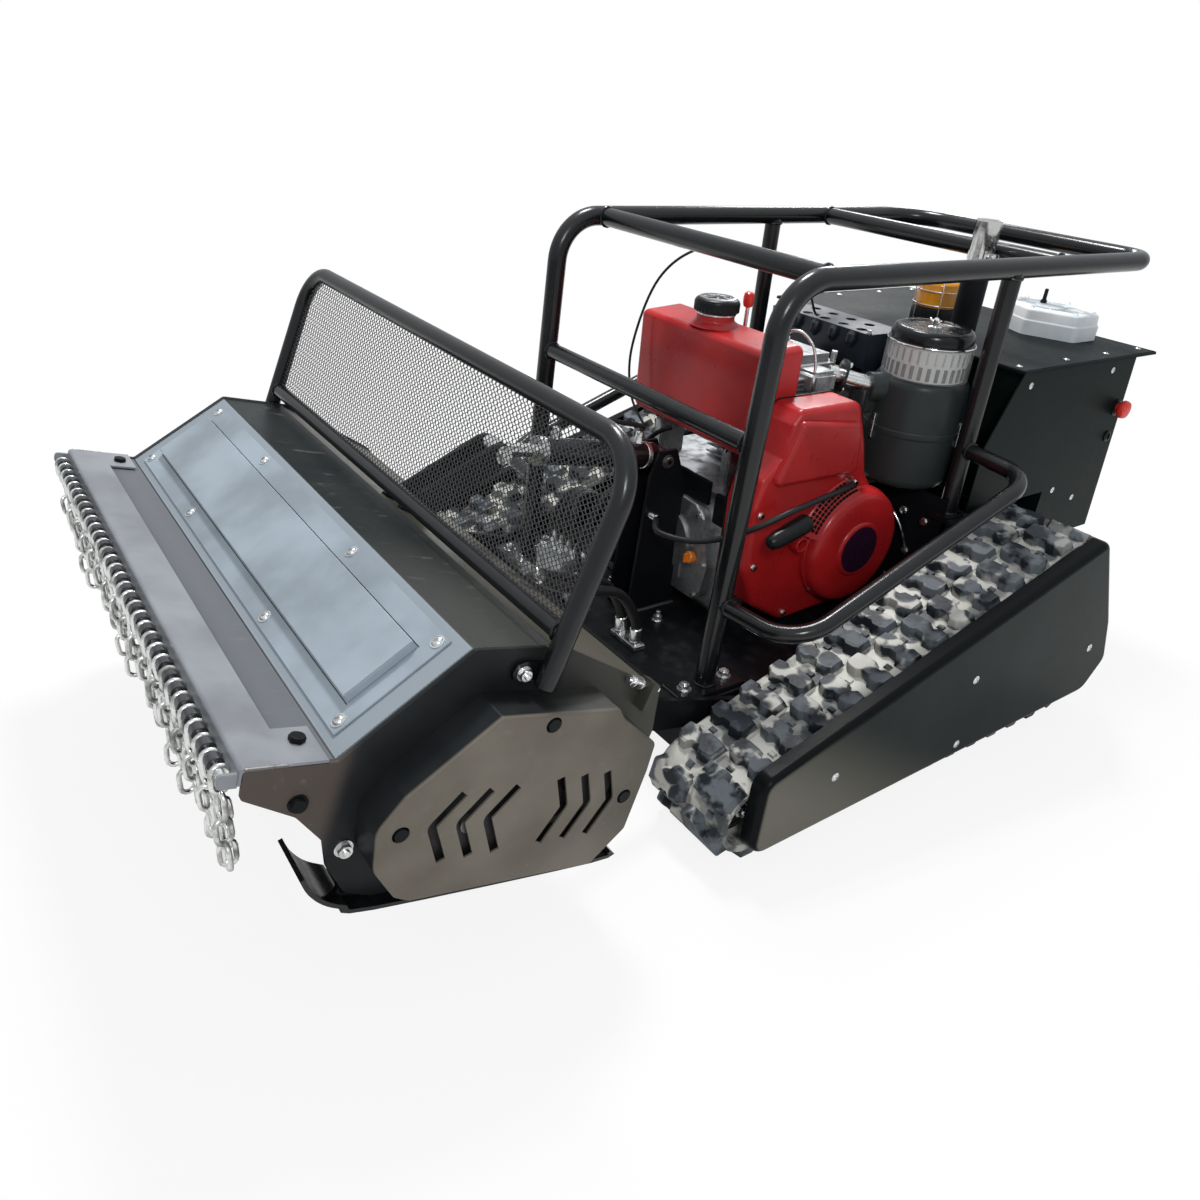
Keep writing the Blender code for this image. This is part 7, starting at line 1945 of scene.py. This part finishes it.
def studio_floor():
    """A pale floor that the camera sees as white, with the machine's soft shadow on it."""
    mesh = bpy.data.meshes.new("floor")
    corners = [(x * FLOOR_REACH, y * FLOOR_REACH, FLOOR_Z) for x, y in ((-1, -1), (1, -1), (1, 1), (-1, 1))]
    mesh.from_pydata(corners, [], [(0, 1, 2, 3)])
    floor = placed("floor", mesh)
    ground = Finish("studio_floor", "black_coat")
    ground.set("Base Color", ground.mix(ground.grain(3, 3), (0.86, 0.85, 0.83), (0.9, 0.89, 0.87)))
    ground.set("Roughness", ground.grain(40, 2) * 0.1 + 0.85)
    glow = ground.node("ShaderNodeEmission", {}, {"Color": (1.0, 1.0, 1.0), "Strength": 1.0})["Emission"]
    rays = ground.node("ShaderNodeLightPath")
    reach = ground.node("ShaderNodeVectorMath", {"operation": "LENGTH"}, {0: ground.place})["Value"]
    far = reach.between(1.3, 3.2) * 0.14 + 0.86
    seen = rays["Is Camera Ray"] + rays["Is Transmission Ray"]
    shown = ground.node("ShaderNodeMixShader", {}, {0: seen * far + rays["Is Glossy Ray"] * 0.2,
                                                    1: Wire(ground, ground.shader.outputs[0]), 2: glow})[0]
    ground.feed(ground.tree.nodes["Material Output"].inputs["Surface"], shown)
    mesh.materials.append(ground.material)


def sky():
    """Soft light from above, brighter in reflections, and white for the camera."""
    world = bpy.context.scene.world or bpy.data.worlds.new("studio")
    bpy.context.scene.world = world
    world.use_nodes = True
    tree = Shader(world.node_tree)
    way = tree.node("ShaderNodeTexCoord")["Generated"]
    height = tree.node("ShaderNodeSeparateXYZ", {}, {0: way})["Z"]
    tint = tree.node("ShaderNodeValToRGB", {"stops": [(0.0, (0.3, 0.29, 0.27)), (0.5, (0.52, 0.54, 0.56)),
                                                     (1.0, (0.92, 0.96, 1.0))]},
                    {0: height * 0.5 + 0.5})["Color"]
    lit = tree.node("ShaderNodeBackground", {}, {"Color": tint, "Strength": 0.62})[0]
    bright = tree.node("ShaderNodeBackground", {}, {"Color": tint, "Strength": 1.0})[0]
    white = tree.node("ShaderNodeBackground", {}, {"Color": (1.0, 1.0, 1.0), "Strength": 1.0})[0]
    rays = tree.node("ShaderNodeLightPath")
    shine = tree.node("ShaderNodeMixShader", {}, {0: rays["Is Glossy Ray"], 1: lit, 2: bright})[0]
    both = tree.node("ShaderNodeMixShader", {}, {0: rays["Is Camera Ray"], 1: shine, 2: white})[0]
    tree.feed(world.node_tree.nodes["World Output"].inputs["Surface"], both)


def lamps():
    """Three soft lamps."""
    for name, place, aim, power in LAMPS:
        data = bpy.data.lights.new(name, "AREA")
        data.shape = "DISK"
        data.size = LAMP_SIZE
        data.energy = power
        lamp = placed(name, data)
        lamp.location = place
        lamp.rotation_euler = (Vector(aim) - Vector(place)).to_track_quat("-Z", "Y").to_euler()


def camera():
    """The camera at the photograph's angle."""
    lens = bpy.data.cameras.new("camera")
    lens.sensor_width = 36.0
    lens.lens = CAMERA_LENS
    lens.shift_x, lens.shift_y = CAMERA_SHIFT
    lens.clip_end = 200
    item = placed("camera", lens)
    right, up = Vector(CAMERA_RIGHT), Vector(CAMERA_UP)
    back = right.cross(up)
    turn = Matrix((right, up, back)).transposed().to_4x4()
    item.matrix_world = Matrix.Translation(CAMERA_PLACE) @ turn
    bpy.context.scene.camera = item
    bpy.context.scene.view_settings.view_transform = "Standard"


studio_floor()
sky()
lamps()
camera()
tracks()
engine_bay_wall()
cage()
deck()
engine()
rear_box()
box_lid()
box_fittings()
beacon()
receiver()
stop_button()

bpy.context.view_layer.update()
